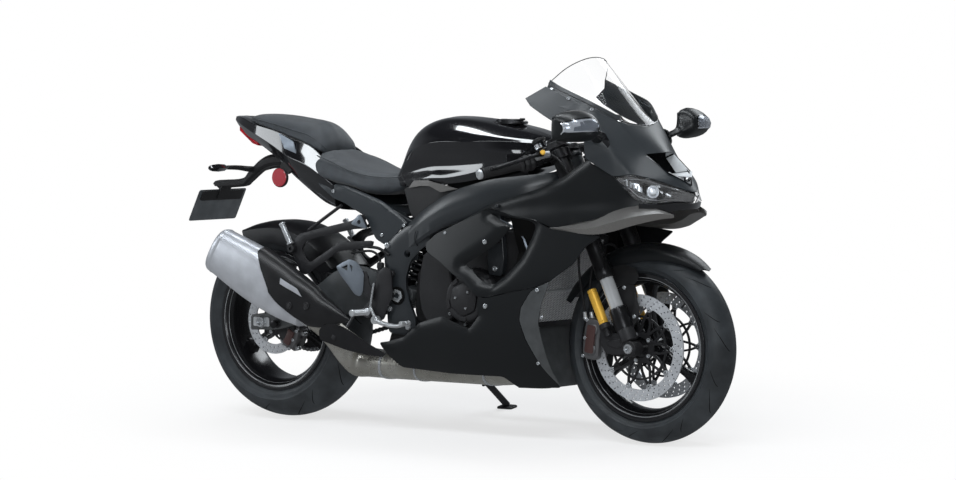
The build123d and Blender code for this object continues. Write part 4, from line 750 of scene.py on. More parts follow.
def tyre(name, axle, radius, width, crown, arc_r, rim_half, body):
    """Round tread, moulded sidewall steps, and curved grooves shown as near-black strips of painted
    shade.
    """
    bead, edge, half = rim_half - 6.2, radius - crown, width / 2
    profile = [(RIM_SEAT_R + 0.6, bead - 14), (RIM_SEAT_R + 0.6, bead),
               (RIM_SEAT_R + 7, bead + 1.5), (RIM_SEAT_R + 15, bead - 0.5)]
    # a shallow step, then the bulge of the sidewall up to the tread's edge
    for t in (0.25, 0.3, 0.62, 0.67, 0.9):
        r = RIM_SEAT_R + 15 + (edge - RIM_SEAT_R - 15) * t
        y = bead + (half - bead) * (t ** 0.8)
        profile.append((r, y - (0.7 if 0.27 < t < 0.65 else 0.0)))
    top = math.asin(min(half / arc_r, 1))
    for k in range(11):
        a = top * (1 - k / 10)
        profile.append((radius - arc_r + arc_r * math.cos(a), arc_r * math.sin(a)))
    loop = profile + [(r, -y) for r, y in profile[-2::-1]]
    wall = 9
    lining = [(RIM_SEAT_R + 0.6, 14 - bead), (RIM_SEAT_R + 17, 12 - bead), (edge, wall - half),
              (radius - wall - 14, -half * 0.55), (radius - wall - 1, 0),
              (radius - wall - 14, half * 0.55), (edge, half - wall), (RIM_SEAT_R + 17, bead - 12)]
    piece(name, turned(loop[1:] + lining, axle, 160), "tyre_rubber", body, "tyre_rubber", name, 40)
    tread_groove_shade(name + "_slits", axle, radius, arc_r, half, body)


def tread_groove_shade(name, axle, radius, arc_r, half, body):
    """Long swept grooves in the tread, drawn as thin near-black strips laid on it: painted shade
    where the grooves are.
    """
    strips, top = [], math.asin(half / arc_r)
    for side in (-1, 1):
        for k in range(9):
            base = k * 40 + (20 if side > 0 else 0)
            for first, last, sweep, wide in ((0.18, 0.72, 15, 2.2), (0.45, 0.88, 9, 1.6)):
                rows = []
                for step in range(13):
                    t = step / 12
                    across = top * (first + (last - first) * t)
                    grow = wide * math.sin(math.pi * min(max(t, 0.06), 0.94)) ** 0.5
                    turn = base + sweep * t ** 1.5 + (18 if wide < 2 else 0)
                    r = radius - arc_r + (arc_r + 0.15) * math.cos(across)
                    y = side * (arc_r + 0.15) * math.sin(across)
                    d = math.degrees(grow / radius)
                    rows.append([circle_points(axle, r, turn - d, y),
                                 circle_points(axle, r, turn + d, y)])
                strips.append(bands(rows, wrap=False))
    piece(name, join(*strips), "void_black", body, "tyre_rubber")


def cast_wheel(name, axle, rim_half, hub_r, hub_half, sleeve, bore, spoke_t, body):
    """Barrel with rolled flanges and three forked, waisted spokes running into the hub."""
    h = rim_half
    barrel = [(229, h - 1), (228, h), (216, h), (213, h - 2), (210, h - 8), (200, h - 20),
              (195, h - 30), (193, h - 38)]
    outside = [(RIM_SEAT_R, h - 6), (229, h - 5)]
    seat = [(200, h - 33), (207, h - 26), (214, h - 20)]
    loop = barrel + [(r, -y) for r, y in barrel[::-1]]
    loop += [(r, -y) for r, y in outside[::-1]] + [(r, -y) for r, y in seat[::-1]] + seat + outside
    parts = [turned(loop, axle, 144)]
    hub = [(bore, hub_half), (hub_r - 2, hub_half), (hub_r, hub_half - 2),
           (hub_r - 3, hub_half - 14), (hub_r - 5, 0)]
    parts.append(turned(hub + [(r, -y) for r, y in hub[-2::-1]], axle, 64))
    wide, long = sleeve
    for s in (-1, 1):
        spool = [(bore, s * (hub_half - 4)), (wide, s * (hub_half - 4)), (wide, s * (long - 1)),
                 (wide - 1, s * long), (bore, s * long)]
        parts.append(turned(spool if s < 0 else spool[::-1], axle, 48))
    # (radius, half width, half depth) along a spoke
    rows = smooth_table([(hub_r - 8, 24, spoke_t * 0.5), (55, 20, spoke_t * 0.52),
                         (95, 12.5, spoke_t * 0.48), (135, 12, spoke_t * 0.44),
                         (165, 15, spoke_t * 0.46), (184, 21, spoke_t * 0.5),
                         (199, 34, spoke_t * 0.56)], 5)
    for angle in SPOKES:
        a = math.radians(angle)
        out, across = Vector((math.cos(a), 0, math.sin(a))), Vector((-math.sin(a), 0, math.cos(a)))
        centre, depth = Vector((axle[0], 0, axle[1])), Vector((0, 1, 0))
        ring_rows = []
        for r, w, d in rows:
            w = max(w, 4)
            section = [(w, d * 0.45), (w * 0.72, d), (w * 0.3, d * 0.92), (-w * 0.3, d * 0.92),
                       (-w * 0.72, d), (-w, d * 0.45)]
            section += [(u, -v) for u, v in section[::-1]]
            ring_rows.append([tuple(centre + out * r + across * u + depth * v) for u, v in section])
        parts.append(bands(ring_rows))
    piece(name, join(*parts), "wheel_paint", body, "satin_black", name, 38, bevel=0.8)
    lines = [turned([(r, s * (h + out)) for r, out in line], axle, 144, closed=False)
             for s in (-1, 1) for line in RIM_LINES]
    piece(name + "_lines", join(*lines), "cast_silver", body, "bare_aluminium")
    a = math.radians(VALVE_ANGLE)
    foot = Vector((axle[0] + 196 * math.cos(a), 0, axle[1] + 196 * math.sin(a)))
    inward = Vector((-math.cos(a), 0, -math.sin(a)))
    valve = lathe([(5, 0), (5, 6), (3.4, 8), (3.4, 20), (4, 20.5), (4, 28), (3, 30)],
                  foot, foot + inward, 16)
    piece(name + "_valve", valve, "dark_steel", body, "steel")


def outline_mesh(outline, holes, y, thick):
    """A flat plate in the side view with holes in it: points (x, z), faces on both sides."""
    verts, edges = [], []
    for line in (outline, *holes):
        start = len(verts)
        verts += [Vector(p) for p in line]
        edges += [(start + i, start + (i + 1) % len(line)) for i in range(len(line))]
    points, _, faces, *_ = delaunay_2d_cdt(verts, edges, [], 4, 1e-4)
    kept = [f for f in faces if within(middle_of(points, f), outline, holes)]
    n = len(points)
    solid = [(p.x, y - thick / 2, p.y) for p in points] + [(p.x, y + thick / 2, p.y)
                                                           for p in points]
    tris = [tuple(f) for f in kept] + [tuple(i + n for i in reversed(f)) for f in kept]
    return solid, tris + rim_faces(kept, n)


def inside(p, line):
    """Whether a point lies in a closed outline."""
    found = False
    for a, b in zip(line, line[1:] + line[:1]):
        if (a[1] > p[1]) != (b[1] > p[1]):
            if p[0] < (b[0] - a[0]) * (p[1] - a[1]) / (b[1] - a[1]) + a[0]:
                found = not found
    return found


def within(p, outline, holes):
    return inside(p, outline) and not any(inside(p, hole) for hole in holes)


def middle_of(points, face):
    return sum((points[i] for i in face), Vector((0, 0))) / len(face)


def circle(x, z, r, count=24, start=0.0):
    """Points (x, z) of a circle."""
    turns = np.linspace(start, 2 * math.pi + start, count, endpoint=False)
    return [(x + r * math.cos(a), z + r * math.sin(a)) for a in turns]


def disc_ring(axle, radius, band, y, bobbins, rows_of_holes):
    """A drilled brake ring with inward lugs between its bobbins."""
    outer = circle(*axle, radius, 120)
    inner = []
    for k in range(240):
        angle = 360 * k / 240
        near = abs((angle + 180 / bobbins) % (360 / bobbins) - 180 / bobbins)
        lug = LUG_DEPTH * max(0.0, 1 - (near / LUG_HALF) ** 2)
        r = radius - band - lug
        inner.append((axle[0] + r * math.cos(math.radians(angle)),
                      axle[1] + r * math.sin(math.radians(angle))))
    holes = []
    for count, share, hole_r in rows_of_holes:
        for k in range(count):
            angle = math.radians(360 * (k + share) / count)
            r = radius - band * share
            x, z = axle[0] + r * math.cos(angle), axle[1] + r * math.sin(angle)
            holes.append(circle(x, z, hole_r, 10))
    return outline_mesh(outer, [inner, *holes], y, DISC_T)


def carrier(axle, hub_r, tip_r, y, dish_y, count):
    """A cast lattice from the hub out to the bobbins, dished towards the wheel's middle."""
    half = Vector((0, 3, 0))
    parts = [turned([(hub_r - 6, dish_y - 3), (hub_r + 12, dish_y - 3), (hub_r + 12, dish_y + 3),
                     (hub_r - 6, dish_y + 3)], axle, 64)]
    for k in range(count):
        tip = 360 * k / count
        for spread in (-1, 1):
            root = tip + spread * 180 / count
            rows = []
            for t in (0.0, 0.35, 0.7, 1.0):
                r = hub_r + 8 + (tip_r - hub_r - 8) * t
                angle = root + (tip - root) * t
                depth = dish_y + (y - dish_y) * t ** 1.3
                wide = 4.6 - 1.2 * math.sin(math.pi * t)
                x, _, z = circle_points(axle, r, angle, 0)
                a = math.radians(angle)
                across = Vector((-math.sin(a), 0, math.cos(a))) * wide
                at = Vector((x, depth, z))
                corners = (at + across + half, at + across * 0.9 - half, at - across * 0.9 - half,
                           at - across + half)
                rows.append([tuple(corner) for corner in corners])
            parts.append(bands(rows))
    # a thin rim ties neighbouring tips together
    near, far = dish_y * 0.5 + y * 0.5, dish_y * 0.45 + y * 0.55
    parts.append(turned([(tip_r - 30, near - 2.5), (tip_r - 24, far - 2.5), (tip_r - 24, far + 2.5),
                         (tip_r - 30, near + 2.5)], axle, 80))
    return join(*parts)


def brake_disc(name, node, axle, radius, band, y, hub_r, hub_y, count, rows_of_holes, body, owner):
    """Ring, carrier and bobbins; hub_y is where the carrier meets the hub."""
    piece(name, disc_ring(axle, radius, band, y, count, rows_of_holes), "disc_steel", body, "steel",
          node if owner else (), 40)
    s = 1 if y > 0 else -1
    tip = radius - band - 5
    piece(name + "_carrier", carrier(axle, hub_r, tip, y, hub_y, count), "cast_black", body,
          "cast_black", (), 40)
    bobbins, bolts = [], []
    for k in range(count):
        at = circle_points(axle, tip, 360 * k / count, y)
        face = (at[0], at[1] - 4.5, at[2])
        bobbins.append(ring(face, (at[0], at[1] + 4.5, at[2]), 8.5, 3.0, 1, 20))
    for k in range(5 if hub_r > 30 else 4):
        at = circle_points(axle, hub_r + 3, 360 * (k + 0.5) / 5, hub_y + s * 3)
        bolts.append(bolt(at, (0, s, 0), 6.5, 6))
    piece(name + "_bobbins", join(*bobbins), "steel", body, "steel")
    piece(name + "_bolts", join(*bolts), "steel", body, "steel")


def wheels():
    tyre("front_tyre", FRONT_AXLE, FRONT_R, FRONT_W, FRONT_CROWN, FRONT_ARC, FRONT_RIM_HALF,
         "front_wheel")
    tyre("rear_tyre", REAR_AXLE, REAR_R, REAR_W, REAR_CROWN, REAR_ARC, REAR_RIM_HALF, "rear_wheel")
    cast_wheel("front_rim", FRONT_AXLE, FRONT_RIM_HALF, 32, 60, (18, 82), AXLE_R + 0.1, 30,
               "front_wheel")
    cast_wheel("rear_rim", REAR_AXLE, REAR_RIM_HALF, 42, 78, (24, 118), REAR_AXLE_R + 0.1, 40,
               "rear_wheel")
    holes = ((40, 0.2, 2.9), (40, 0.5, 2.9), (40, 0.8, 2.9))
    for side, word in SIDES:
        brake_disc(f"front_disc_{word}", "front_discs", FRONT_AXLE, FRONT_DISC_R, FRONT_DISC_BAND,
                   side * FRONT_DISC_Y, 38, side * 62, DISC_BOBBINS, holes, "front_wheel", side < 0)
    brake_disc("rear_brake_disc", "rear_disc", REAR_AXLE, REAR_DISC_R, REAR_DISC_BAND, -REAR_DISC_Y,
               36, -80, 6, ((30, 0.25, 2.8), (30, 0.7, 2.8)), "rear_wheel", True)
    sprocket()


def sprocket():
    """Rear sprocket with its teeth, lightening holes and cush-drive carrier."""
    teeth, tip = 41, SPROCKET_R + 3.0
    outline = []
    for k in range(teeth * 4):
        r = (tip, tip - 1.0, SPROCKET_R - 5.0, tip - 1.0)[k % 4]
        a = 2 * math.pi * k / (teeth * 4)
        outline.append((REAR_AXLE[0] + r * math.cos(a), REAR_AXLE[1] + r * math.sin(a)))
    holes = [circle(*REAR_AXLE, 26, 40)]
    for k in range(10):
        a = 2 * math.pi * k / 10
        x, z = REAR_AXLE[0] + 82 * math.cos(a), REAR_AXLE[1] + 82 * math.sin(a)
        holes.append(circle(x, z, 10, 20))
    plate = outline_mesh(outline, holes, SPROCKET_Y, 7)
    piece("sprocket_plate", plate, "anodised_black", "rear_wheel", "steel", "rear_sprocket", 40)
    drum = turned([(25, 80), (60, 80), (66, 86), (66, SPROCKET_Y - 4), (25, SPROCKET_Y - 4)],
                  REAR_AXLE, 64)
    piece("sprocket_carrier", drum, "cast_black", "rear_wheel", "cast_black", (), 38, bevel=1.5)
    nuts = [hex_nut(circle_points(REAR_AXLE, 54, 60 * k, SPROCKET_Y + 3.5), (0, 1, 0), 17, 8)
            for k in range(6)]
    piece("sprocket_nuts", join(*nuts), "steel", "rear_wheel", "steel")


wheels()


# ---------------------------------------------------------------- bodywork helpers
EDGE_RINGS = (3.0, 8.0)  # rows of points along a flat mesh's edges


def curve_at(xs, ys, x):
    """Smooth value at x of a curve through the given points."""
    xs, ys, x = np.asarray(xs, float), np.asarray(ys, float), np.clip(x, xs[0], xs[-1])
    slope = np.gradient(ys, xs)
    k = np.clip(np.searchsorted(xs, x) - 1, 0, len(xs) - 2)
    h = xs[k + 1] - xs[k]
    t = (x - xs[k]) / h
    return ((1 + 2 * t) * (1 - t) ** 2 * ys[k] + t * (1 - t) ** 2 * h * slope[k]
            + t * t * (3 - 2 * t) * ys[k + 1] + t * t * (t - 1) * h * slope[k + 1])


def inset(points, gap):
    """The outline drawn in by gap on every side, with mitred corners."""
    n = len(points)
    area = sum(points[i][0] * points[(i + 1) % n][1] - points[(i + 1) % n][0] * points[i][1]
               for i in range(n))
    turn = 1 if area > 0 else -1
    result = []
    for i in range(n):
        a, b, c = Vector(points[i - 1]), Vector(points[i]), Vector(points[(i + 1) % n])
        u, v = (b - a).normalized(), (c - b).normalized()
        side = Vector((-u.y - v.y, u.x + v.x)) * turn
        grow = gap / max(1 + u.dot(v), 0.25)
        result.append((b.x + side.x * grow, b.y + side.y * grow))
    return result


def rounded(points, radius, steps=4):
    """An outline with its corners rounded."""
    result, n = [], len(points)
    for i in range(n):
        a, b, c = Vector(points[i - 1]), Vector(points[i]), Vector(points[(i + 1) % n])
        cut = min(radius, (a - b).length * 0.45, (c - b).length * 0.45)
        start, end = b + (a - b).normalized() * cut, b + (c - b).normalized() * cut
        for k in range(steps + 1):
            t = k / steps
            p = start * (1 - t) ** 2 + b * (2 * t * (1 - t)) + end * t * t
            result.append((p.x, p.y))
    return result


def rounded_box(x_low, z_low, x_high, z_high, corner, steps=3):
    return rounded([(x_low, z_low), (x_high, z_low), (x_high, z_high), (x_low, z_high)],
                   corner, steps)


def divided(points, step):
    """An outline with points no further apart than step."""
    result = []
    for a, b in zip(points, points[1:] + points[:1]):
        count = max(1, math.ceil((Vector(b) - Vector(a)).length / step))
        result += [(a[0] + (b[0] - a[0]) * k / count, a[1] + (b[1] - a[1]) * k / count)
                   for k in range(count)]
    return result


def flat_mesh(outline, holes=(), step=12.0):
    """Triangles over an outline in the side view, finer near its edges."""
    loops = [divided(outline, step)] + [divided(h, step) for h in holes]
    verts, edges = [], []
    for loop in loops:
        start = len(verts)
        verts += [Vector(p) for p in loop]
        edges += [(start + i, start + (i + 1) % len(loop)) for i in range(len(loop))]
    extra = []
    for depth in EDGE_RINGS:
        for k, line in enumerate((outline, *holes)):
            extra += divided(inset(line, depth if k == 0 else -depth), step)
    xs, zs = [p[0] for p in outline], [p[1] for p in outline]
    for i, x in enumerate(np.arange(min(xs), max(xs), step)):
        for z in np.arange(min(zs), max(zs), step):
            extra.append((float(x), float(z) + (i % 2) * step / 2))
    verts += [Vector(p) for p in extra if within(p, outline, holes)]
    points, _, faces, *_ = delaunay_2d_cdt(verts, edges, [], 4, 0.4)
    kept = [tuple(f) for f in faces if within(middle_of(points, f), outline, holes)]
    return [tuple(p) for p in points], kept


def thicken(shape, thickness, inner):
    """Give an open sheet a wall on the side of the inner point."""
    pts = [Vector(p) for p in shape[0]]
    normals = [Vector((0, 0, 0)) for _ in pts]
    used = set()
    for f in shape[1]:
        n = (pts[f[1]] - pts[f[0]]).cross(pts[f[2]] - pts[f[0]])
        for i in f:
            normals[i] = normals[i] + n
            used.add(i)
    inner = Vector(inner)
    vote = sum(1 if normals[i].dot(pts[i] - inner) > 0 else -1 for i in used)
    turn = 1 if vote > 0 else -1
    back = [tuple(p - n.normalized() * thickness * turn) if n.length else tuple(p)
            for p, n in zip(pts, normals)]
    n = len(pts)
    faces = list(shape[1]) + [tuple(i + n for i in reversed(f)) for f in shape[1]]
    return [tuple(p) for p in pts] + back, faces + rim_faces(shape[1], n)


def smooth_section(points, corners, steps):
    """A section's points filled in along curves that break at the corner indices."""
    marks = sorted({0, len(points) - 1, *corners})
    line = []
    for a, b in zip(marks, marks[1:]):
        part = [(p[0], p[1], 0) for p in points[a:b + 1]]
        curve = spline(part, steps) if len(part) > 2 else [
            Vector(part[0]).lerp(Vector(part[1]), k / steps) for k in range(steps + 1)]
        line += [(v.x, v.y) for v in curve[:-1]]
    line.append(points[-1])
    return line


def filled_in(table, steps):
    """Rows (x, (y, z) ...) as plain rows of numbers, with steps from each to the next."""
    return smooth_table([[x, *[v for p in half for v in p]] for x, *half in table], steps)


def half_sections(table, corners=(), steps_x=4, steps_s=4):
    """A closed body through rows (x, (y, z) ...), each half a section from top to bottom."""
    rows = []
    for row in filled_in(table, steps_x):
        half = [(max(row[i], 0.0), row[i + 1]) for i in range(1, len(row), 2)]
        half[0], half[-1] = (0.0, half[0][1]), (0.0, half[-1][1])
        line = smooth_section(half, corners, steps_s)
        right = [(row[0], -max(y, 0.0), z) for y, z in line]
        left = [(row[0], max(y, 0.0), z) for y, z in line[-2:0:-1]]
        rows.append(right + left)
    return bands(rows)


def loops_body(rows, steps):
    """A closed body through loops of 3-D points, smooth along its length."""
    flat = smooth_table([[v for p in row for v in p] for row in rows], steps)
    return bands([[tuple(r[i:i + 3]) for i in range(0, len(r), 3)] for r in flat])


# ---------------------------------------------------------------- fairings
# half widths of the fairing: for each height, one at every x of SKIN_X
SKIN_X = [500, 560, 700, 850, 1000, 1150, 1280, 1400, 1470, 1550]
SKIN_Y = {
    150: [100, 112, 126, 136, 136, 124, 96, 70, 55, 40],
    220: [150, 165, 178, 188, 186, 172, 140, 120, 90, 60],
    300: [174, 188, 203, 214, 212, 198, 165, 140, 110, 80],
    400: [180, 196, 214, 226, 226, 214, 190, 160, 130, 100],
    500: [178, 190, 210, 224, 226, 218, 205, 180, 140, 100],
    600: [170, 178, 196, 212, 220, 220, 215, 195, 150, 100],
    700: [158, 165, 180, 198, 212, 222, 220, 195, 162, 110],
    800: [145, 150, 165, 185, 204, 217, 215, 182, 165, 125],
    890: [135, 140, 155, 175, 195, 208, 204, 172, 165, 130]}
# outlines in the side view, (x, z)
PANEL_A = [(770, 639), (972, 735), (1179, 791), (1263, 829), (1333, 881), (1382, 855),
           (1430, 827), (1475, 793), (1525, 753), (1473, 732), (1363, 694), (1226, 667),
           (1156, 693), (1076, 701), (973, 723)]
PANEL_B = [(762, 637), (973, 722), (1076, 700), (1156, 692), (1226, 666), (1400, 648), (1348, 614),
           (1300, 558), (1212, 501), (1173, 489), (1144, 480), (1069, 465), (991, 447), (945, 443),
           (884, 495), (844, 513), (786, 551), (728, 578), (717, 603)]
VENT = [(978, 704), (1134, 688), (1159, 675), (1140, 632), (1103, 572), (1044, 515), (997, 484),
        (947, 497), (908, 530), (881, 543), (1004, 612), (1062, 668)]
PANEL_C = [(560, 287), (626, 303), (702, 354), (799, 380), (907, 343), (947, 387), (945, 442),
           (991, 446), (1069, 464), (1144, 479), (1173, 488), (1144, 469), (1109, 419),
           (1101, 379), (1118, 319), (1157, 235), (1199, 166), (1043, 160), (1004, 194),
           (803, 193), (596, 202), (550, 239), (507, 279)]
PANEL_F = PANEL_C[10:17] + [(1181, 271), (1167, 371), (1182, 431), (1213, 501)]
LEFT_LOWER = [(700, 352), *PANEL_C[3:20], (702, 198)]
SEAM, WALL = 0.9, 4.0


def skin_y(x, z):
    """Half width of the fairing at a point of the side view."""
    levels = list(SKIN_Y)
    return float(curve_at(levels, [curve_at(SKIN_X, SKIN_Y[v], x) for v in levels], z))


def distance(p, a, b):
    """From a point to a segment, in the side view."""
    p, a, b = Vector(p), Vector(a), Vector(b)
    t = max(0.0, min(1.0, (p - a).dot(b - a) / max((b - a).length_squared, 1e-9)))
    return (p - a - (b - a) * t).length


def near_line(p, line):
    return min(distance(p, a, b) for a, b in zip(line, line[1:]))


def panel(outline, holes=(), relief=None, round_by=10.0):
    """A right-hand fairing panel laid on the skin, its corners slightly rounded."""
    line = rounded(inset(outline, SEAM), round_by, 3)
    flat, faces = flat_mesh(line, [rounded(h, round_by, 3) for h in holes])
    points = [(x, -skin_y(x, z) + (relief((x, z)) if relief else 0.0), z) for x, z in flat]
    return thicken((points, faces), WALL, (900, 0, 550))


TOP_EDGE = PANEL_A[:5]
VENT_EDGE = VENT + VENT[:1]
MIDDLE_EDGE = [(945, 443), (1069, 465), (1212, 501)]
LOWER_CREASE = [(560, 262), (800, 330), (1100, 330)]
LOWER_EDGE = PANEL_C[-1:] + PANEL_C[:6]


def upper_relief(p):
    """The top edge rolls inwards, and a facet turns under towards the winglet."""
    d = near_line(p, TOP_EDGE)
    roll = 12.0 * max(0.0, 1 - d / 26.0) ** 1.5
    x, z = p
    under = max(0.0, 712 - z + (x - 1226) * 0.02) * 0.16 if x < 1300 else 0.0
    hollow = 7.0 * math.exp(-((z - 735 - (x - 1180) * 0.10) / 26.0) ** 2) * (1 if x > 1000 else 0.3)
    return roll + under + hollow * min(1.0, d / 30)


def middle_relief(p):
    """The rim of the vent turns inwards behind and stands proud ahead."""
    d = near_line(p, VENT_EDGE)
    lip = 16.0 * max(0.0, 1 - d / 34.0) ** 2
    low = 10.0 * max(0.0, 1 - near_line(p, MIDDLE_EDGE) / 30.0) ** 2
    return lip + low * 0.5


def lower_relief(p):
    """The lower panel's edges round under, with a soft crease along its middle."""
    crease = 4.0 * max(0.0, 1 - near_line(p, LOWER_CREASE) / 60.0)
    return 6.0 * max(0.0, 1 - near_line(p, LOWER_EDGE) / 24.0) ** 2 - crease * 0.5


def fairings():
    pairs = (("upper_side_panel", panel(PANEL_A, relief=upper_relief), "upper_side_panels"),
             ("mid_fairing", panel(PANEL_B, [VENT], middle_relief), "mid_fairings"),
             ("front_strip", panel(PANEL_F, round_by=5), ()),
             ("lower_fairing", panel(PANEL_C, relief=lower_relief), "lower_fairings"))
    for name, shape, node in pairs:
        finish = "charcoal" if name == "front_strip" else "satin_black"
        piece(name + "_right", shape, finish, "chassis", "satin_black", node, 34, bevel=1.2)
        if name != "lower_fairing":
            piece(name + "_left", mirrored(shape), finish, "chassis", "satin_black", (), 34,
                  bevel=1.2)
    # the left lower panel is open over the stand and its pivot
    piece("lower_fairing_left", mirrored(panel(LEFT_LOWER, relief=lower_relief)), "satin_black",
          "chassis", "satin_black", (), 34, bevel=1.2)
    screws = []
    for x, z, r in ((969, 618, 7.5), (978, 418, 7.5), (1169, 475, 6.5), (1181, 391, 5.5),
                    (1150, 245, 5.5), (800, 640, 5.0)):
        y = -skin_y(x, z) - 0.4
        screws.append(bolt((x, y, z), (0, -1, 0), r, 3.2))
    piece("fairing_screws", both(join(*screws)), "steel", "chassis", "steel")
    inner_duct()


def inner_duct():
    """A vane inside the vent, and a near-black sheet behind the mid fairing: painted shade inside
    the fairing.
    """
    vane = loops_body([[(x + dx, -y, z + dz) for dx, dz in ((-3, 0), (0, 5), (4, 0), (0, -5))]
                       for x, y, z in ((985, 190, 690), (1030, 176, 672), (1075, 170, 640),
                                       (1100, 176, 600))], 6)
    piece("vent_vanes", both(vane), "guard_grey", "chassis", "satin_black", angle=40)
    # a near-black sheet behind the vent: painted shade where the fairing is hollow
    shade_sheet = []
    for x, z0, z1 in ((1050, 470, 700), (1110, 480, 700), (1170, 500, 690), (1205, 512, 680)):
        middle = (z0 + z1) / 2
        y = -(skin_y(x, middle) - 26)
        shade_sheet.append([(x, y, z0), (x, -150 - (x - 1050) * 0.1, middle), (x, y, z1)])
    piece("vent_shade_sheets", both(thicken(bands(shade_sheet, wrap=False), 3, (900, 0, 550))), "void_black",
          "chassis", "matte_black")


# ---------------------------------------------------------------- nose
COWL = {  # corners: x, distance from the middle plane, z
    "s0": (1433, 0, 980), "s1": (1400, 112, 996), "s2": (1335, 166, 1036), "s3": (1215, 174, 1083),
    "s4": (1165, 166, 1103), "t0": (1105, 192, 1066), "t1": (1128, 198, 1043),
    "t2": (1195, 204, 1006), "m1": (1338, 204, 942), "m2": (1340, 206, 886),
    "p1": (1420, 168, 905), "h0": (1428, 178, 828), "h1": (1475, 152, 838), "h2": (1530, 112, 825),
    "h3": (1581, 62, 798), "h4": (1622, 0, 775), "i0": (1512, 0, 903), "i1": (1476, 82, 896),
    "i2": (1556, 62, 838), "i3": (1598, 0, 800)}
COWL_FACES = [("s0", "s1", "i1", "i0"), ("s1", "p1", "i1"), ("i1", "p1", "h1"), ("p1", "h0", "h1"),
              ("p1", "m2", "h0"), ("p1", "m1", "m2"), ("p1", "s2", "m1"), ("p1", "s1", "s2"),
              ("s2", "s3", "t2", "m1"), ("s3", "s4", "t0", "t1", "t2"),
              ("i1", "h1", "h2", "i2"), ("i2", "h2", "h3"), ("i2", "h3", "h4", "i3")]
LAMP = {"h0": (1428, 176, 825), "h1": (1475, 150, 835), "h2": (1530, 110, 822),
        "h3": (1581, 60, 795), "h4": (1620, 6, 772), "g0": (1442, 174, 812), "g1": (1509, 160, 757),
        "g2": (1550, 128, 747), "g3": (1590, 62, 756), "g4": (1606, 6, 748)}
LAMP_FACES = [("h0", "g0", "h1"), ("h1", "g0", "g1"), ("h1", "g1", "g2", "h2"),
              ("h2", "g2", "g3", "h3"), ("h3", "g3", "g4", "h4")]
CHIN = {"g1": (1512, 160, 752), "g2": (1550, 128, 743), "g3": (1590, 60, 752), "g4": (1606, 0, 744),
        "c1": (1500, 150, 716), "c2": (1548, 120, 712), "c3": (1584, 60, 728), "c4": (1600, 0, 728)}
CHIN_FACES = [("g1", "c1", "c2", "g2"), ("g2", "c2", "c3", "g3"), ("g3", "c3", "c4", "g4")]


def named_sheet(points, faces):
    """A right-hand sheet from named corners, drawn on the left."""
    names = sorted(points)
    index = {n: i for i, n in enumerate(names)}
    verts = [(points[n][0], -points[n][1], points[n][2]) for n in names]
    return verts, [tuple(index[n] for n in f) for f in faces]


def welded(shape):
    """Merge points that meet within half a millimetre, such as two halves along the centre line."""
    keys, points, index = {}, [], []
    for p in shape[0]:
        key = tuple(round(v / 0.5) for v in p)
        if key not in keys:
            keys[key] = len(points)
            points.append(p)
        index.append(keys[key])
    faces = []
    for f in shape[1]:
        g = [index[i] for i in f]
        g = [v for k, v in enumerate(g) if v != g[k - 1]]
        if len(set(g)) > 2:
            faces.append(tuple(g))
    return points, faces


def refine(shape, levels, creases):
    """Catmull-Clark subdivision with creased edges, returned as a plain shape."""
    mesh = bpy.data.meshes.new("refine")
    mesh.from_pydata([tuple(p) for p in shape[0]], [], shape[1])
    work = bmesh.new()
    work.from_mesh(mesh)
    layer = work.edges.layers.float.new("crease_edge")
    for edge in work.edges:
        a, b = (v.co for v in edge.verts)
        if len(edge.link_faces) < 2:
            edge[layer] = 1.0
        for p, q, value in creases:
            near = (a - Vector(p)).length < 2 and (b - Vector(q)).length < 2
            if near or ((b - Vector(p)).length < 2 and (a - Vector(q)).length < 2):
                edge[layer] = value
    work.to_mesh(mesh)
    work.free()
    obj = bpy.data.objects.new("refine", mesh)
    bpy.context.scene.collection.objects.link(obj)
    mod = obj.modifiers.new("refine", "SUBSURF")
    mod.levels = mod.render_levels = levels
    mod.boundary_smooth = "PRESERVE_CORNERS"
    fine = obj.evaluated_get(bpy.context.evaluated_depsgraph_get()).to_mesh()
    result = ([tuple(v.co) for v in fine.vertices], [tuple(f.vertices) for f in fine.polygons])
    bpy.data.objects.remove(obj)
    bpy.data.meshes.remove(mesh)
    return result


def named_creases(points, pairs):
    """Crease rows (corner, corner, weight) as places on the right."""
    place = {n: (x, -y, z) for n, (x, y, z) in points.items()}
    return [(place[a], place[b], w) for a, b, w in pairs]


COWL_CREASES = [("s1", "i1", 0.5), ("i1", "p1", 0.3), ("p1", "m1", 0.5), ("p1", "h0", 0.4),
                ("i1", "i2", 1.0), ("s2", "m1", 0.2), ("h0", "h1", 1.0), ("p1", "m2", 0.5),
                ("s3", "t2", 0.2), ("i1", "h1", 0.35), ("p1", "s2", 0.3), ("p1", "h1", 0.2)]


def nose():
    half = named_sheet(COWL, COWL_FACES)
    creases = named_creases(COWL, COWL_CREASES)
    creases += [((a[0], -a[1], a[2]), (b[0], -b[1], b[2]), w) for a, b, w in creases]
    cowl = refine(welded(both(half)), 3, creases)
    piece("nose_cowl", thicken(cowl, WALL, (1300, 0, 850)), "cowl_satin", "chassis", "satin_black",
          "nose_cowl", 36, bevel=1.2)
    chin = refine(welded(both(named_sheet(CHIN, CHIN_FACES))), 2, [])
    piece("nose_chin", thicken(chin, WALL, (1400, 0, 800)), "gloss_black", "chassis", "gloss_black",
          (), 36, bevel=1.0)
    intake()
    headlights()
    screen()


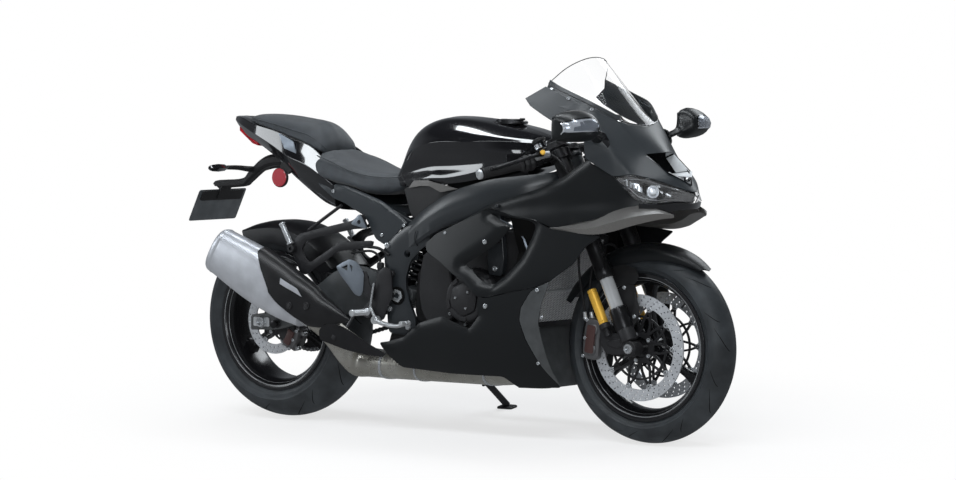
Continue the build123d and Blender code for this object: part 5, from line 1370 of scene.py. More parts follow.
def intake():
    """The ram air mouth: a pale-lined funnel leading back to a dark duct."""
    mouth = [COWL[corner] for corner in ("i0", "i1", "i2", "i3")]
    throat = [(1420, 0, 872), (1420, 46, 868), (1420, 46, 818), (1420, 0, 812)]
    mid = [(1468, 0, 890), (1450, 64, 880), (1490, 56, 830), (1510, 0, 812)]
    half = smooth_table([[v for p in row for v in (p[0], -p[1], p[2])]
                         for row in (mouth, mid, throat)], 4)
    rows = []
    for flat in half:
        right = [tuple(flat[i:i + 3]) for i in range(0, 12, 3)]
        left = [(x, -y, z) for x, y, z in right[2:0:-1]]
        rows.append(right + left)
    funnel = bands(rows, caps=False)
    piece("intake_funnel", thicken(funnel, 2.5, (1480, 0, 700)), "gloss_black", "chassis",
          "gloss_black", "nose_stay", 50)
    linings = []
    for corner, count, shares, lift, inner in (
            (1, 4, (0.06, 0.3, 0.6, 0.9), (0, 5.0, 0), (1480, -90, 860)),
            (2, 5, (0.0, 0.15, 0.3, 0.45), (0, 0, 5), (1480, -40, 700))):
        sheet = [[tuple(Vector(row[corner]).lerp(Vector(row[corner + 1]), u) + Vector(lift))
                  for u in shares] for row in rows[:count]]
        linings.append(thicken(bands(sheet, wrap=False), 1.0, inner))
    piece("intake_cheeks", both(join(*linings)), "pale_duct", "chassis", "gloss_black", (), 50)
    stay = join(beam([(1222, 0, 820, 60, 80), (1300, 0, 830, 56, 88), (1420, 0, 842, 50, 96)]),
                beam([(1300, 0, 860, 50, 60), (1300.5, 0, 930, 60, 60), (1301, 0, 975, 20, 60)]))
    piece("nose_stay", stay, "black_plastic", "chassis", "matte_black", (), bevel=4)
    grille = [rod(*((1424 - k * 1.5, y, 828 + k * 12) for y in (-42, 42)), 1.2, 0.3, 8)
              for k in range(4)]
    piece("intake_grille", join(*grille), "black_plastic", "chassis", "matte_black")


def headlights():
    """Clear lens over a dark bowl with a projector, chrome trim and a light guide."""
    lens, back = named_sheet(LAMP, LAMP_FACES)
    creases = named_creases(LAMP, [("h1", "g1", 0.4), ("h2", "g2", 0.3), ("h3", "g3", 0.3)])
    fine = refine((lens, back), 3, creases)
    behind = (1400, -60, 790)
    piece("headlight_lens", both(thicken(fine, 2.0, behind)), "lens", "chassis", "lamp_lens",
          "headlights", 40)
    middle = Vector((1545, -95, 788))
    bowl = []
    for p in map(Vector, fine[0]):
        dent = math.exp(-((p - middle).length / 48) ** 2)
        bowl.append(tuple(p + Vector((-10, 4, 0)) + Vector((-36, 14, 0)) * dent))
    piece("headlight_bowl", both(thicken((bowl, fine[1]), 2, behind)), "gloss_black",
          "chassis", "gloss_black", angle=40)
    way = Vector((0.86, -0.5, -0.05)).normalized()
    unit = Vector((1528, -104, 782))
    projector = join(
        lathe([(19, 0), (21, 6), (19, 9), (17, 9), (15, 4), (0.1, 2)], unit - way * 14, unit, 32),
        lathe([(15.5, 0), (13, 5), (8, 8), (0.1, 9)], unit - way * 9, unit, 32))
    small = Vector((1489, -137, 793))
    outer_unit = lathe([(13, 0), (14, 5), (12, 8), (9, 3), (0.1, 1)], small - way * 12, small, 28)
    fins = []
    for k in range(5):
        x, y = 1462 + k * 9, -158 + k * 6
        fins.append(beam([(x, y, 812 - k * 5, 18 - k * 1.5, 3),
                          (x + 7, y - 2, 808 - k * 5, 15, 3)]))
    facet = thicken(bands([[(1462, -153, 811), (1478, -146, 810), (1494, -137, 806)],
                           [(1474, -150, 788), (1486, -144, 786), (1500, -133, 784)]],
                          wrap=False), 1.5, behind)
    trim = pipe([(1452, -160, 815), (1480, -143, 822), (1520, -112, 813), (1560, -76, 797),
                 (1592, -38, 780)], 1.6, 8)
    low = pipe([(1470, -158, 795), (1505, -148, 768), (1545, -120, 758), (1580, -70, 763)], 1.8, 8)
    piece("headlight_reflectors", both(join(projector, outer_unit, facet, *fins)), "lamp_silver",
          "chassis", "lamp_lens", angle=40)
    piece("headlight_trims", both(join(trim, low)), "dark_steel", "chassis", "lamp_lens", angle=40)


SCREEN = [  # rows of (x, y, z) from the middle outwards, the top row first
    [(1236, 0, 1192), (1230, 60, 1184), (1204, 112, 1158), (1166, 152, 1112)],
    [(1283, 0, 1142), (1276, 62, 1134), (1248, 118, 1110), (1213, 162, 1092)],
    [(1339, 0, 1079), (1330, 64, 1074), (1306, 122, 1058), (1275, 162, 1068)],
    [(1394, 0, 1020), (1384, 62, 1018), (1364, 116, 1016), (1332, 156, 1044)],
    [(1431, 0, 984), (1424, 42, 987), (1414, 78, 993), (1398, 108, 1001)]]
SCREW_ROWS = (4, 14, 25)


def screen():
    """A double-curved clear screen with a polished edge, and screwed bases along its sides."""
    rows = []
    for row in smooth_table([[v for p in r for v in p] for r in SCREEN], 8):
        half = [Vector(row[i:i + 3]) for i in range(0, 12, 3)]
        full = [Vector((v.x, -v.y, v.z)) for v in half[:0:-1]] + half
        rows.append([tuple(v) for v in spline(full, 5)])
    sheet = bands(rows, wrap=False)
    piece("windscreen", thicken(sheet, 3.0, (1200, 0, 900)), "screen", "chassis", "clear_screen",
          "windscreen", 60)
    rim_line = [r[0] for r in rows[::-1]] + rows[0][1:-1] + [r[-1] for r in rows]
    piece("windscreen_edge", pipe(rim_line, 1.4, 6, smooth=False), "smooth_plastic", "chassis",
          "clear_screen")
    base, screws = [], []
    for k, row in enumerate(rows):
        edge, inner = Vector(row[-1]), Vector(row[-2])
        away = ((edge - inner).normalized() * 0.6 + Vector((0, 0, -0.8))).normalized()
        base.append([tuple(edge + away * reach) for reach in (-12, 4, 22, 46)])
        if k in SCREW_ROWS:
            out = (edge - Vector((1200, 0, 900))).normalized()
            screws.append(bolt(edge + away * 13 + out * 2, out, 6.5, 4))
    piece("screen_bases", both(thicken(bands(base, wrap=False), 2.0, (1300, 0, 900))), "cowl_satin",
          "chassis", "satin_black", (), 50)
    piece("screen_screws", both(join(*screws)), "steel", "chassis", "steel")


# ---------------------------------------------------------------- tank and seats
PAD_VOXEL, PAD_PRESSURE, PAD_FRAMES, PAD_FILL = 5.0, 4.0, 20, 0.9
TANK = [  # x, then (y, z) from the ridge down: top, shoulder crease, knee hollow, flare, lower edge
    (488, (0, 808), (22, 807), (44, 802), (56, 794), (60, 788), (60, 782), (60, 778), (56, 776),
     (0, 775)),
    (520, (0, 872), (30, 867), (54, 852), (70, 832), (76, 818), (76, 800), (78, 786), (76, 777),
     (0, 775)),
    (560, (0, 941), (42, 932), (72, 910), (90, 872), (92, 850), (88, 820), (92, 796), (90, 778),
     (0, 776)),
    (610, (0, 980), (56, 970), (94, 944), (114, 898), (110, 872), (100, 836), (106, 800),
     (102, 780), (0, 778)),
    (680, (0, 1001), (70, 991), (122, 958), (140, 918), (132, 888), (114, 848), (124, 808),
     (116, 788), (0, 786)),
    (760, (0, 1004), (82, 994), (140, 958), (158, 926), (146, 892), (128, 852), (138, 812),
     (130, 792), (0, 788)),
    (850, (0, 997), (88, 986), (148, 953), (168, 926), (158, 892), (146, 858), (152, 824),
     (144, 802), (0, 798)),
    (930, (0, 982), (88, 974), (144, 950), (166, 930), (166, 898), (160, 868), (160, 838),
     (152, 818), (0, 812)),
    (1000, (0, 966), (78, 961), (128, 944), (150, 930), (156, 902), (154, 878), (152, 858),
     (144, 840), (0, 836)),
    (1050, (0, 952), (56, 948), (92, 938), (112, 926), (120, 900), (120, 882), (116, 866),
     (110, 852), (0, 848)),
    (1090, (0, 939), (26, 937), (44, 931), (56, 922), (60, 902), (60, 886), (58, 872), (54, 862),
     (0, 860))]
SEAT = [  # x, then crown, edge, lower edge
    (566, (0, 822), (30, 820), (50, 810), (60, 796), (58, 786), (0, 784)),
    (500, (0, 814), (50, 812), (86, 804), (98, 788), (96, 756), (0, 752)),
    (430, (0, 820), (70, 818), (116, 808), (132, 790), (130, 756), (0, 752)),
    (360, (0, 834), (80, 833), (132, 824), (147, 806), (144, 774), (0, 770)),
    (290, (0, 854), (80, 856), (134, 850), (149, 828), (146, 788), (0, 784)),
    (238, (0, 880), (78, 880), (130, 866), (145, 842), (142, 802), (0, 798)),
    (196, (0, 896), (66, 892), (112, 874), (132, 856), (130, 838), (0, 836))]
PILLION = [  # the same columns
    (214, (0, 896), (40, 894), (66, 888), (80, 880), (80, 868), (0, 866)),
    (208, (0, 922), (50, 914), (82, 900), (94, 886), (93, 874), (0, 872)),
    (186, (0, 956), (54, 946), (92, 920), (104, 901), (102, 888), (0, 886)),
    (152, (0, 979), (57, 966), (96, 938), (108, 919), (106, 906), (0, 904)),
    (110, (0, 986), (60, 974), (98, 948), (109, 932), (107, 920), (0, 918)),
    (20, (0, 997), (56, 989), (94, 968), (104, 955), (102, 946), (0, 944)),
    (-60, (0, 1001), (50, 996), (82, 982), (91, 971), (89, 963), (0, 961)),
    (-134, (0, 999), (30, 997), (48, 991), (57, 985), (55, 979), (0, 978))]
TAIL = [  # x, then (y, z) from the ridge down to the belly
    (300, (0, 760), (60, 784), (100, 800), (146, 778), (136, 738), (118, 702), (0, 690)),
    (240, (0, 800), (70, 838), (118, 860), (146, 812), (132, 764), (110, 720), (0, 706)),
    (180, (0, 858), (66, 888), (112, 900), (142, 842), (126, 796), (104, 752), (0, 740)),
    (100, (0, 898), (66, 916), (116, 926), (134, 866), (112, 824), (88, 796), (0, 782)),
    (20, (0, 928), (64, 944), (110, 951), (120, 902), (94, 868), (66, 845), (0, 832)),
    (-70, (0, 953), (56, 966), (97, 969), (102, 938), (76, 912), (50, 892), (0, 884)),
    (-150, (0, 986), (40, 990), (66, 989), (72, 966), (54, 942), (36, 926), (0, 922)),
    (-205, (0, 995), (20, 995), (34, 993), (38, 982), (28, 970), (20, 963), (0, 960))]


def tank():
    shell = half_sections(TANK, corners=(3, 7), steps_x=5, steps_s=5)
    piece("fuel_tank", shell, "gloss_black", "chassis", "gloss_black", "fuel_tank", 28, bevel=1.5)
    cap_x, cap_z = 905.0, 987.0
    collar = ring((cap_x, 0, cap_z - 6), (cap_x, 0, cap_z + 2), 58, 44, 1.5, 56)
    screws = [bolt((cap_x + 51 * math.cos(a), 51 * math.sin(a), cap_z + 2), (0, 0, 1), 4, 2)
              for a in np.linspace(0.5, 2 * math.pi + 0.5, 6, endpoint=False)]
    piece("filler_collar", join(collar, *screws), "anodised_black", "chassis",
          "satin_black", angle=40)
    hinge_x, hinge_z = cap_x + 49, cap_z + 9
    lid = lathe([(44, 2.3), (44, 6), (41, 9), (22, 9), (20, 7.6), (0.1, 7.6)], (cap_x, 0, cap_z),
                (cap_x, 0, cap_z + 1), 64)
    plug = rod((cap_x, 0, cap_z - 9), (cap_x, 0, cap_z + 3), 30, 2, 40)
    barrel = rod((hinge_x, -10.5, hinge_z), (hinge_x, 10.5, hinge_z), 4, 0.6, 20)
    arm = box((hinge_x - 12, -9, hinge_z - 4), (hinge_x, 9, hinge_z))
    lock = ring((cap_x - 22, 0, cap_z + 8.6), (cap_x - 22, 0, cap_z + 10), 10, 2, 0.4, 28)
    piece("filler_cap", join(lid, plug, barrel, arm, lock), "anodised_black", "filler_cap",
          "satin_black", "filler_cap", 36)


def inflated(shape, cap):
    """Swell a closed form a little as stretched cover over foam, never further than cap."""
    obj = bpy.data.objects.new("pad", mesh_of("pad", shape))
    bpy.context.scene.collection.objects.link(obj)
    remesh = obj.modifiers.new("remesh", "REMESH")
    remesh.mode, remesh.voxel_size = "VOXEL", PAD_VOXEL * MM
    graph = bpy.context.evaluated_depsgraph_get()
    fine = bpy.data.meshes.new_from_object(obj.evaluated_get(graph))
    obj.modifiers.clear()
    obj.data = fine
    start = np.array([v.co[:] for v in fine.vertices])
    cloth = obj.modifiers.new("cloth", "CLOTH")
    cloth.settings.use_pressure, cloth.settings.uniform_pressure_force = True, PAD_PRESSURE
    cloth.settings.quality = 4
    cloth.settings.effector_weights.gravity = 0
    cloth.collision_settings.use_collision = False
    scene = bpy.context.scene
    for step in range(1, PAD_FRAMES + 1):
        scene.frame_set(step)
    graph = bpy.context.evaluated_depsgraph_get()
    swollen = bpy.data.meshes.new_from_object(obj.evaluated_get(graph))
    end = np.array([v.co[:] for v in swollen.vertices])
    scene.frame_set(1)
    move = end - start
    size = np.linalg.norm(move, axis=1, keepdims=True)
    start = start + move * np.minimum(1.0, cap * MM / np.maximum(size, 1e-9))
    faces = [tuple(f.vertices) for f in fine.polygons]
    bpy.data.objects.remove(obj)
    return [tuple(p / MM) for p in start], faces


def relaxed(shape):
    """Smooth out the steps that the remesh leaves."""
    points = np.array(shape[0], float)
    pairs = {(min(a, b), max(a, b)) for f in shape[1] for a, b in zip(f, f[1:] + f[:1])}
    a, b = np.array(sorted(pairs)).T
    for _ in range(3):
        total, count = np.zeros_like(points), np.zeros(len(points))
        np.add.at(total, a, points[b])
        np.add.at(total, b, points[a])
        np.add.at(count, a, 1)
        np.add.at(count, b, 1)
        points = points * 0.4 + total / np.maximum(count, 1)[:, None] * 0.6
    return [tuple(p) for p in points], shape[1]


def shrunk(shape, by):
    """Draw each section's outline in a little before it swells."""
    pts = np.array(shape[0], float)
    middle = pts.mean(axis=0)
    span = pts.max(axis=0) - pts.min(axis=0)
    return [tuple(p) for p in middle + (pts - middle) * (1 - 2 * by / span)], shape[1]


def seats():
    """Rider's seat and pillion pad: grained cover swollen over foam, with piped seams."""
    for name, table in (("rider_seat", SEAT), ("pillion_seat", PILLION)):
        body = half_sections(table)
        pad = relaxed(inflated(shrunk(body, 3.0), 5.0))
        obj = piece(name, pad, "seat_vinyl", "chassis", "seat_vinyl", name, 60, subdivide=1)
        # the sewn seam follows the edge of the top
        line = [(r[0], -r[5] * 0.995, r[6] + 0.4) for r in filled_in(table, 4)[1:-1]]
        piece(name + "_piping", both(pipe(line, 1.6, 8, 2)), "seat_vinyl", "chassis", "seat_vinyl")


def tail():
    body = half_sections(TAIL, corners=(2, 3), steps_x=5)
    piece("tail_cowl", body, "gloss_black", "chassis", "gloss_black", "tail_cowl", 30, bevel=1.5)
    vent = [(50, 943), (121, 915), (143, 846), (101, 858)]
    flat, faces = flat_mesh(rounded(vent, 5, 2), step=8)
    grid = [(x, -(124 + 8 * ((x - 50) / 95) - abs(z - 895) * 0.06), z) for x, z in flat]
    piece("tail_vents", both(thicken((grid, faces), 3, (100, 0, 890))), "guard_grey", "chassis",
          "satin_black", angle=40, bevel=0.8)
    edge = [(228, 786), (343, 780), (432, 752), (494, 731), (557, 694), (600, 664)]
    side = [*edge, (513, 590), (475, 608), (431, 680), (343, 722), (300, 735)]
    flat, faces = flat_mesh(rounded(side, 10, 3), step=14)
    cover = [(x, -136 - 6 + 8 * max(0, 1 - near_line((x, z), edge) / 14) ** 2, z) for x, z in flat]
    piece("side_covers", both(thicken((cover, faces), 5, (400, 0, 700))), "cowl_satin", "chassis",
          "satin_black", "side_covers", 36, bevel=1.5)
    screws = [bolt((x, -142.5, z), (0, -1, 0), 6, 3)
              for x, z in ((590, 655), (500, 622), (300, 758))]
    piece("side_cover_screws", both(join(*screws)), "steel", "chassis", "steel")


fairings()
nose()
tank()
seats()
tail()


# ---------------------------------------------------------------- steering and front end
def outer_tubes():
    r, low, top = FORK_OUTER_R, FORK_OUTER_FROM, FORK_OUTER_TO
    profile = [(FORK_INNER_R + 0.2, low), (r - 0.5, low), (r + 1.5, low + 3), (r + 1.5, low + 24),
               (r - 0.6, low + 30), (r - 0.6, 330), (r, 345), (r, top - 2), (r - 2, top),
               (r - 5, top), (r - 5, top), (r - 5, top + 3), (14, top + 3), (14, top - 3),
               (0.1, top - 3)]
    for side, word in SIDES:
        y = side * FORK_Y
        tube = at_fork(lathe(profile, (0, y, 0), (0, y, 1), 48))
        piece(f"fork_outer_{word}", tube, "anodised_black", "steering", "satin_black",
              "fork_outer_tubes" if side < 0 else (), 34)
        seal = at_fork(ring((0, y, low - 5), (0, y, low + 1), r - 2, FORK_INNER_R + 0.1, 1, 40))
        adjuster = at_fork(hex_nut((0, y, top - 3), (0, 0, 1), 17, 7))
        piece(f"fork_seal_{word}", seal, "grip_rubber", "steering", "hose_rubber")
        piece(f"fork_adjuster_{word}", adjuster, "gold", "steering", "gold_anodised")


def yoke_shape(low, high, clamp_r, stem_r):
    """A cast yoke: clamps with split lugs, hollowed web and stem boss."""
    web = [(-OFFSET - stem_r, 0), (-OFFSET - 16, -30), (-clamp_r + 4, -FORK_Y + 8),
           (-clamp_r + 10, -FORK_Y - 16), (clamp_r - 14, -FORK_Y - 18),
           (clamp_r - 18, -FORK_Y + 34), (2, -40), (-2, 0)]
    loop = web + [(x, -y) for x, y in web[-2:0:-1]]
    plate = bands([[(x, y, low + 3) for x, y in loop], [(x, y, high - 3) for x, y in loop]])
    parts = [plate, rod((-OFFSET, 0, low), (-OFFSET, 0, high), stem_r, 2, 40)]
    for y in (-FORK_Y, FORK_Y):
        parts.append(ring((0, y, low), (0, y, high), clamp_r, FORK_OUTER_R + 0.3, 2, 48))
        inner = -1 if y > 0 else 1
        lug_y = y + inner * 4
        parts.append(box((-clamp_r - 10, lug_y - 9, low + 3), (-clamp_r + 8, lug_y + 9, high - 3)))
        for z in ((low + high) / 2 - 9, (low + high) / 2 + 9):
            parts.append(bolt((-clamp_r - 2, lug_y + inner * 9, z), (0, inner, 0), 5, 6))
    return join(*parts)


def yokes():
    lower = at_fork(yoke_shape(*LOWER_YOKE, 38, 36))
    upper = at_fork(yoke_shape(*UPPER_YOKE, CLAMP_R, 34))
    stem = at_fork(rod((-OFFSET, 0, LOWER_YOKE[0] - 4), (-OFFSET, 0, UPPER_YOKE[0]), STEM_R, 1, 32))
    nut = at_fork(lathe([(20, 0), (20, 7), (18, 9), (10, 9), (10, 3), (0.1, 3)],
                        (-OFFSET, 0, UPPER_YOKE[1]), (-OFFSET, 0, UPPER_YOKE[1] + 1), 8))
    piece("fork_yokes", join(lower, upper, stem), "cast_black", "steering", "cast_black",
          "fork_yokes", 36, bevel=1.5)
    piece("steering_nut", nut, "aluminium", "steering", "bare_aluminium", angle=40)


# outlines beside the leg: ahead of it, and up from the axle
FOOT_LUG = [(12, 12), (-20, -6), (-60, 2), (-104, 24), (-110, 58), (-97, 100), (-76, 102),
            (-70, 84), (-50, 68), (-20, 62)]
FOOT_POCKET = [(-28, 18), (-58, 22), (-86, 40), (-84, 62), (-52, 52), (-28, 44)]


def feet():
    """Axle feet with pinch bolts, radial caliper lugs and the damper reservoirs above them."""
    low, high, r, behind = RESERVOIR
    loop, pocket, top = rounded(FOOT_LUG, 8, 3), rounded(FOOT_POCKET, 8, 3), FOOT_TOP
    for side, word in SIDES:
        y = side * FORK_Y
        tube = lathe([(22, 22), (27, 26), (27, top - 4), (25, top), (FORK_INNER_R, top)],
                     (0, y, 0), (0, y, 1), 40)
        eye = ring((0, y - 22, 0), (0, y + 22, 0), 25, AXLE_R + 0.3, 2, 48)
        plate = stack((y - side * 19, loop), (y - side * 7, loop))
        web = stack((y - side * 6.9, pocket), (y - side * 4.0, inset(pocket, 3)))
        cup = rod((behind, y, low - 16), (behind, y, low + 2), r + 4, 3, 40)
        neck = lathe([(10, 0), (8, 14), (10, 26)], (behind, y, low - 40), (behind, y, low - 39), 24)
        pinch = [bolt((-14 + k * 26, y - side * 2, -14), (0, -side, 0), 5, 14) for k in (0, 1)]
        sleeve = lathe([(FORK_INNER_R + 0.3, top - 6), (27.5, top - 6), (29.5, top + 4),
                        (28.5, 128), (26, 134), (FORK_INNER_R + 0.3, 134)], (0, y, 0),
                       (0, y, 1), 40)
        piece(f"fork_sleeve_{word}", at_fork(sleeve), "anodised_black", "steering",
              "satin_black", (), 36)
        piece(f"fork_foot_{word}", at_fork(join(tube, eye, plate, web, cup, neck, *pinch)),
              "cast_black", "steering", "cast_black", "fork_feet" if side < 0 else (), 36,
              bevel=1.5)
        pot = lathe([(r - 3, low), (r, low + 3), (r, low + 6), (r - 0.8, low + 7),
                     (r - 0.8, low + 9), (r, low + 10), (r, high - 14), (r - 1, high - 13),
                     (r - 1, high - 10), (r, high - 9), (r, high - 3), (r - 3, high), (6, high),
                     (6, high - 3), (0.1, high - 3)], (behind, y, 0), (behind, y, 1), 48)
        piece(f"damper_reservoir_{word}", at_fork(pot), "gold", "steering", "gold_anodised",
              "damper_reservoirs" if side < 0 else (), 36)
    x, z = FRONT_AXLE
    end = -FORK_Y - 29
    axle = lathe([(15, 0), (15, 5), (13.5, 7), (AXLE_BORE_R, 7), (AXLE_BORE_R, 1), (0.1, 1)],
                 (x, end + 7, z), (x, end, z), 48)
    spindle = ring((x, FORK_Y + 22, z), (x, end + 5, z), AXLE_R, AXLE_BORE_R, 0.5, 48)
    piece("front_axle", join(axle, spindle), "steel", "steering", "steel", "front_axle")


def caliper(centre, y, side, tilt, high, body, name, node, deep=60.0):
    """A two-piece radial caliper: ribbed halves, pistons' bulges, bridge bolts and pads."""
    parts, silver = [], []
    outline = [(-0.5, -0.38), (-0.34, -0.5), (0.34, -0.5), (0.5, -0.4), (0.42, 0), (0.5, 0.4),
               (0.34, 0.5), (-0.34, 0.5), (-0.5, 0.38), (-0.56, 0)]
    outline = rounded([(deep * a, high * b) for a, b in outline], 9, 3)
    for half in (-1, 1):
        near, far = half * 9, half * 31
        parts.append(stack((near, outline), (far - half * 5, outline), (far, inset(outline, 5))))
        for z in (-0.24, 0.24):
            parts.append(lathe([(17, 0), (17, 3), (14, 6), (8, 6), (7, 4.5), (0.1, 4.5)],
                               (4, far - half, z * high), (4, far, z * high), 28))
    for z in (-0.44, 0.0, 0.44):
        parts.append(box((-deep * 0.5, -12, z * high - 7), (-deep * 0.5 + 14, 12, z * high + 7)))
        silver.append(bolt((-deep * 0.5 + 7, side * 31, z * high), (0, side, 0), 5.5, 4))
    for z in (-0.36, 0.36):
        silver.append(rod((-deep * 0.5 - 4, -10, z * high), (-deep * 0.5 - 4, 10, z * high), 7,
                          1, 20))
    pads = [box((-deep * 0.34, y0, -high * 0.34), (deep * 0.34, y1, high * 0.34))
            for y0, y1 in ((-8.5, -3.2), (3.2, 8.5))]
    line = [(-0.28, -0.34), (0.26, -0.34), (0.22, 0), (0.26, 0.34), (-0.28, 0.34)]
    line = rounded([(deep * a, high * b) for a, b in line], 7, 3)
    panel_shape = stack((side * 26, line), (side * 37.4, line), (side * 38.2, inset(line, 2)))
    turn, at = Matrix.Rotation(math.radians(tilt), 3, "Y"), (centre[0], y, centre[1])
    for part, shape, finish, slot, more in (
            ("", join(*parts), "caliper_paint", "bare_aluminium", (node, 36, 1.2)),
            ("_panel", panel_shape, "pad_brown", "satin_black", ((), 36)),
            ("_bolts", join(*silver), "steel", "steel", ()),
            ("_pads", join(*pads), "dark_steel", "steel", ((), 40))):
        piece(name + part, placed(shape, turn, at), finish, body, slot, *more)


# section of the mudguard: radius, half width
FENDER = [(262, 68), (278, 69.5), (292, 69), (302, 64), (309, 55), (316, 40), (320.5, 22), (322, 0)]


def fender():
    """A mudguard with a pointed front, hugging the tyre."""
    rows, start, sweep, count = [], 54, 100, 40
    for k in range(count + 1):
        t = k / count
        angle = start + sweep * t
        front = max(0.0, 1 - t / 0.42)            # towards the pointed front
        rear = max(0.0, (t - 0.62) / 0.38)
        row = []
        for r, y in FENDER:
            skirt = (322 - r) / 60
            lift = front ** 1.4 * skirt * 46 + rear ** 1.5 * skirt * 26
            narrow = 1 - 0.60 * front ** 3
            row.append((r + lift, y * narrow))
        full = row + [(r, -y) for r, y in row[-2::-1]]
        tip = (front ** 3) * 5.5
        rows.append([circle_points(FRONT_AXLE, r, angle - tip * (1 - abs(y) / 70), y)
                     for r, y in full])
    arch = thicken(bands(rows, wrap=False), 3.0, (WHEELBASE, 0, FRONT_Z))
    piece("front_fender", arch, "satin_black", "steering", "gloss_black", "front_fender", 40,
          bevel=1.0)


def fender_guards():
    """A guard down each leg, under a cheek plate, with its bosses and screws."""
    guard = rounded([(1398, 492), (1376, 474), (1384, 430), (1393, 396), (1404, 366), (1420, 352),
                     (1440, 362), (1456, 392), (1462, 424), (1452, 470), (1440, 496)], 8, 3)
    cheek = rounded([(1392, 556), (1346, 546), (1350, 502), (1380, 486), (1398, 492), (1440, 496),
                     (1452, 520), (1438, 545)], 9, 3)
    flat, faces = flat_mesh(guard, step=9)
    blade = [(x, -82 - 9 * math.exp(-((x - 1448 + (430 - z) * 0.25) / 13) ** 2), z)
             for x, z in flat]
    side = [thicken((blade, faces), 3.5, (1420, 0, 430))]
    flat, faces = flat_mesh(cheek, step=9)
    top = [(x, -74 - 8 * max(0.0, min(1.0, (522 - z) / 40)) + max(0, (z - 530)) * 0.25, z)
           for x, z in flat]
    side.append(thicken((top, faces), 3.5, (1400, 0, 500)))
    bosses = []
    for up in (100, 222):
        x, _, z = fork_point(0, 0, up)
        bosses.append(rod((x, -80, z), (x, -FORK_Y + 18, z), 9, 1))
    piece("fender_guards", both(join(*side, *bosses)), "black_plastic", "steering", "gloss_black",
          (), 36, bevel=1.0)
    screws = [bolt((x, -92, z), (0, -1, 0), 6, 3.5) for x, z in ((1411, 486), (1448, 398))]
    piece("fender_screws", both(join(*screws)), "steel", "steering", "steel")


def clip_ons():
    """Bars clamped round the fork legs."""
    clamp = at_fork(ring((0, -FORK_Y, BAR_CLAMP[0]), (0, -FORK_Y, BAR_CLAMP[1]), CLAMP_R - 1,
                         FORK_OUTER_R + 0.3, 2, 48))
    ear = at_fork(box((-CLAMP_R - 8, -FORK_Y + 6, BAR_CLAMP[0] + 4),
                      (-CLAMP_R + 8, -FORK_Y + 26, BAR_CLAMP[1] - 4)))
    tube_part = rod(bar_point(30), bar_point(GRIP_FROM + 6), BAR_R, 1, 28)
    piece("handlebars", both(join(clamp, ear, tube_part)), "anodised_black", "steering",
          "satin_black", "handlebars", 36, bevel=1.0)


def grips():
    """Bar-end weights and ribbed grips."""
    end = GRIP_FROM + GRIP_LEN
    weight = lathe([(9, 0), (GRIP_R - 2, 1), (GRIP_R - 1, 3), (GRIP_R - 1, 4.2), (GRIP_R - 2.4, 5),
                    (GRIP_R - 2.4, 6.4), (GRIP_R - 1, 7.2), (GRIP_R - 1, 11), (GRIP_R - 3, 12.8),
                    (5, 12.8), (5, 9), (0.1, 9)], bar_point(end + 0.2), bar_point(end + 1), 36)
    piece("bar_ends", both(weight), "aluminium", "steering", "bare_aluminium")
    prof = [(BAR_R, 0), (GRIP_R + 5, 0.5), (GRIP_R + 5, 5), (GRIP_R, 9)]
    for k in range(30):
        at = 10 + k * (GRIP_LEN - 18) / 30
        prof += [(GRIP_R, at), (GRIP_R, at + 2.2), (GRIP_R - 1.0, at + 2.8),
                 (GRIP_R - 1.0, at + 3.6)]
    prof += [(GRIP_R, GRIP_LEN - 6), (GRIP_R + 1.5, GRIP_LEN - 4), (GRIP_R + 1.5, GRIP_LEN - 1),
             (BAR_R, GRIP_LEN)]
    grip = lathe(prof, bar_point(GRIP_FROM), bar_point(GRIP_FROM + 1), 40)
    piece("grips", both(grip), "grip_rubber", "steering", "grip_rubber", "grips", 30)


def switch_pods():
    """Rounded boxes split by a seam, with rockers and a button."""
    pods = []
    for first, last, grow in ((93, 110.6, 0), (111.4, 129, 1)):
        rows = []
        for along in np.linspace(first, last, 4):
            edge = 2.5 if along in (first, last) else 0
            rows.append([bar_point(along, a * (25 - edge), b * (24 + grow - edge))
                         for a, b in ((1, 0.45), (0.6, 0.95), (-0.5, 1), (-1, 0.5), (-1, -0.5),
                                      (-0.6, -1), (0.5, -1), (1, -0.5))])
        pods.append(bands(rows))
    for along, up in ((101, 10), (119, 8), (119, -8)):
        pods.append(box_on_bar(along, -26, up, 9, 4, 8))
    piece("switch_pods", both(join(*pods)), "black_plastic", "steering", "satin_black",
          "bar_controls", 36, bevel=2)
    button = box_on_bar(101, -29, -6, 6, 3, 6)
    piece("stop_switch", button, "reflector_red", "steering", "satin_black", angle=40, bevel=1)


def brake_pump():
    """Lever perches on both bars; the pump and its reservoir on the right one."""
    perch = join(ring(bar_point(66), bar_point(88), 18, BAR_R, 1.5, 32),
                 rod(bar_point(77, 8, 0), bar_point(77, 40, 0), 11),
                 box_on_bar(77, 30, 0, 22, 14, 20))
    piece("lever_perches", both(perch), "anodised_black", "steering", "satin_black", (), 36,
          bevel=1.2)
    pump = join(lathe([(8, 0), (11, 2), (11, 34), (12.5, 36), (12.5, 46), (9, 48)],
                      bar_point(50, 41, 2), bar_point(51, 41, 2), 32),
                rod(bar_point(77, 42, 4), bar_point(78, 60, 20), 5.5, 1))
    piece("brake_pump", pump, "cast_silver", "steering", "satin_black", (), 36)
    pot_at = Vector(bar_point(78, 62, 16))
    pot = lathe([(14, 0), (19, 3), (20, 6), (20, 24), (21.5, 25), (21.5, 31), (19, 33), (0.1, 33)],
                pot_at, pot_at + LEG_UP, 40)
    piece("brake_reservoir", pot, "smoked_lens", "steering", "satin_black", (), 40)
    cap = lathe([(21.8, 24), (22.2, 25), (22.2, 32), (20, 34), (8, 34), (7, 32.5), (0.1, 32.5)],
                pot_at, pot_at + LEG_UP, 24)
    piece("reservoir_cap", cap, "black_plastic", "steering", "satin_black", (), 36)


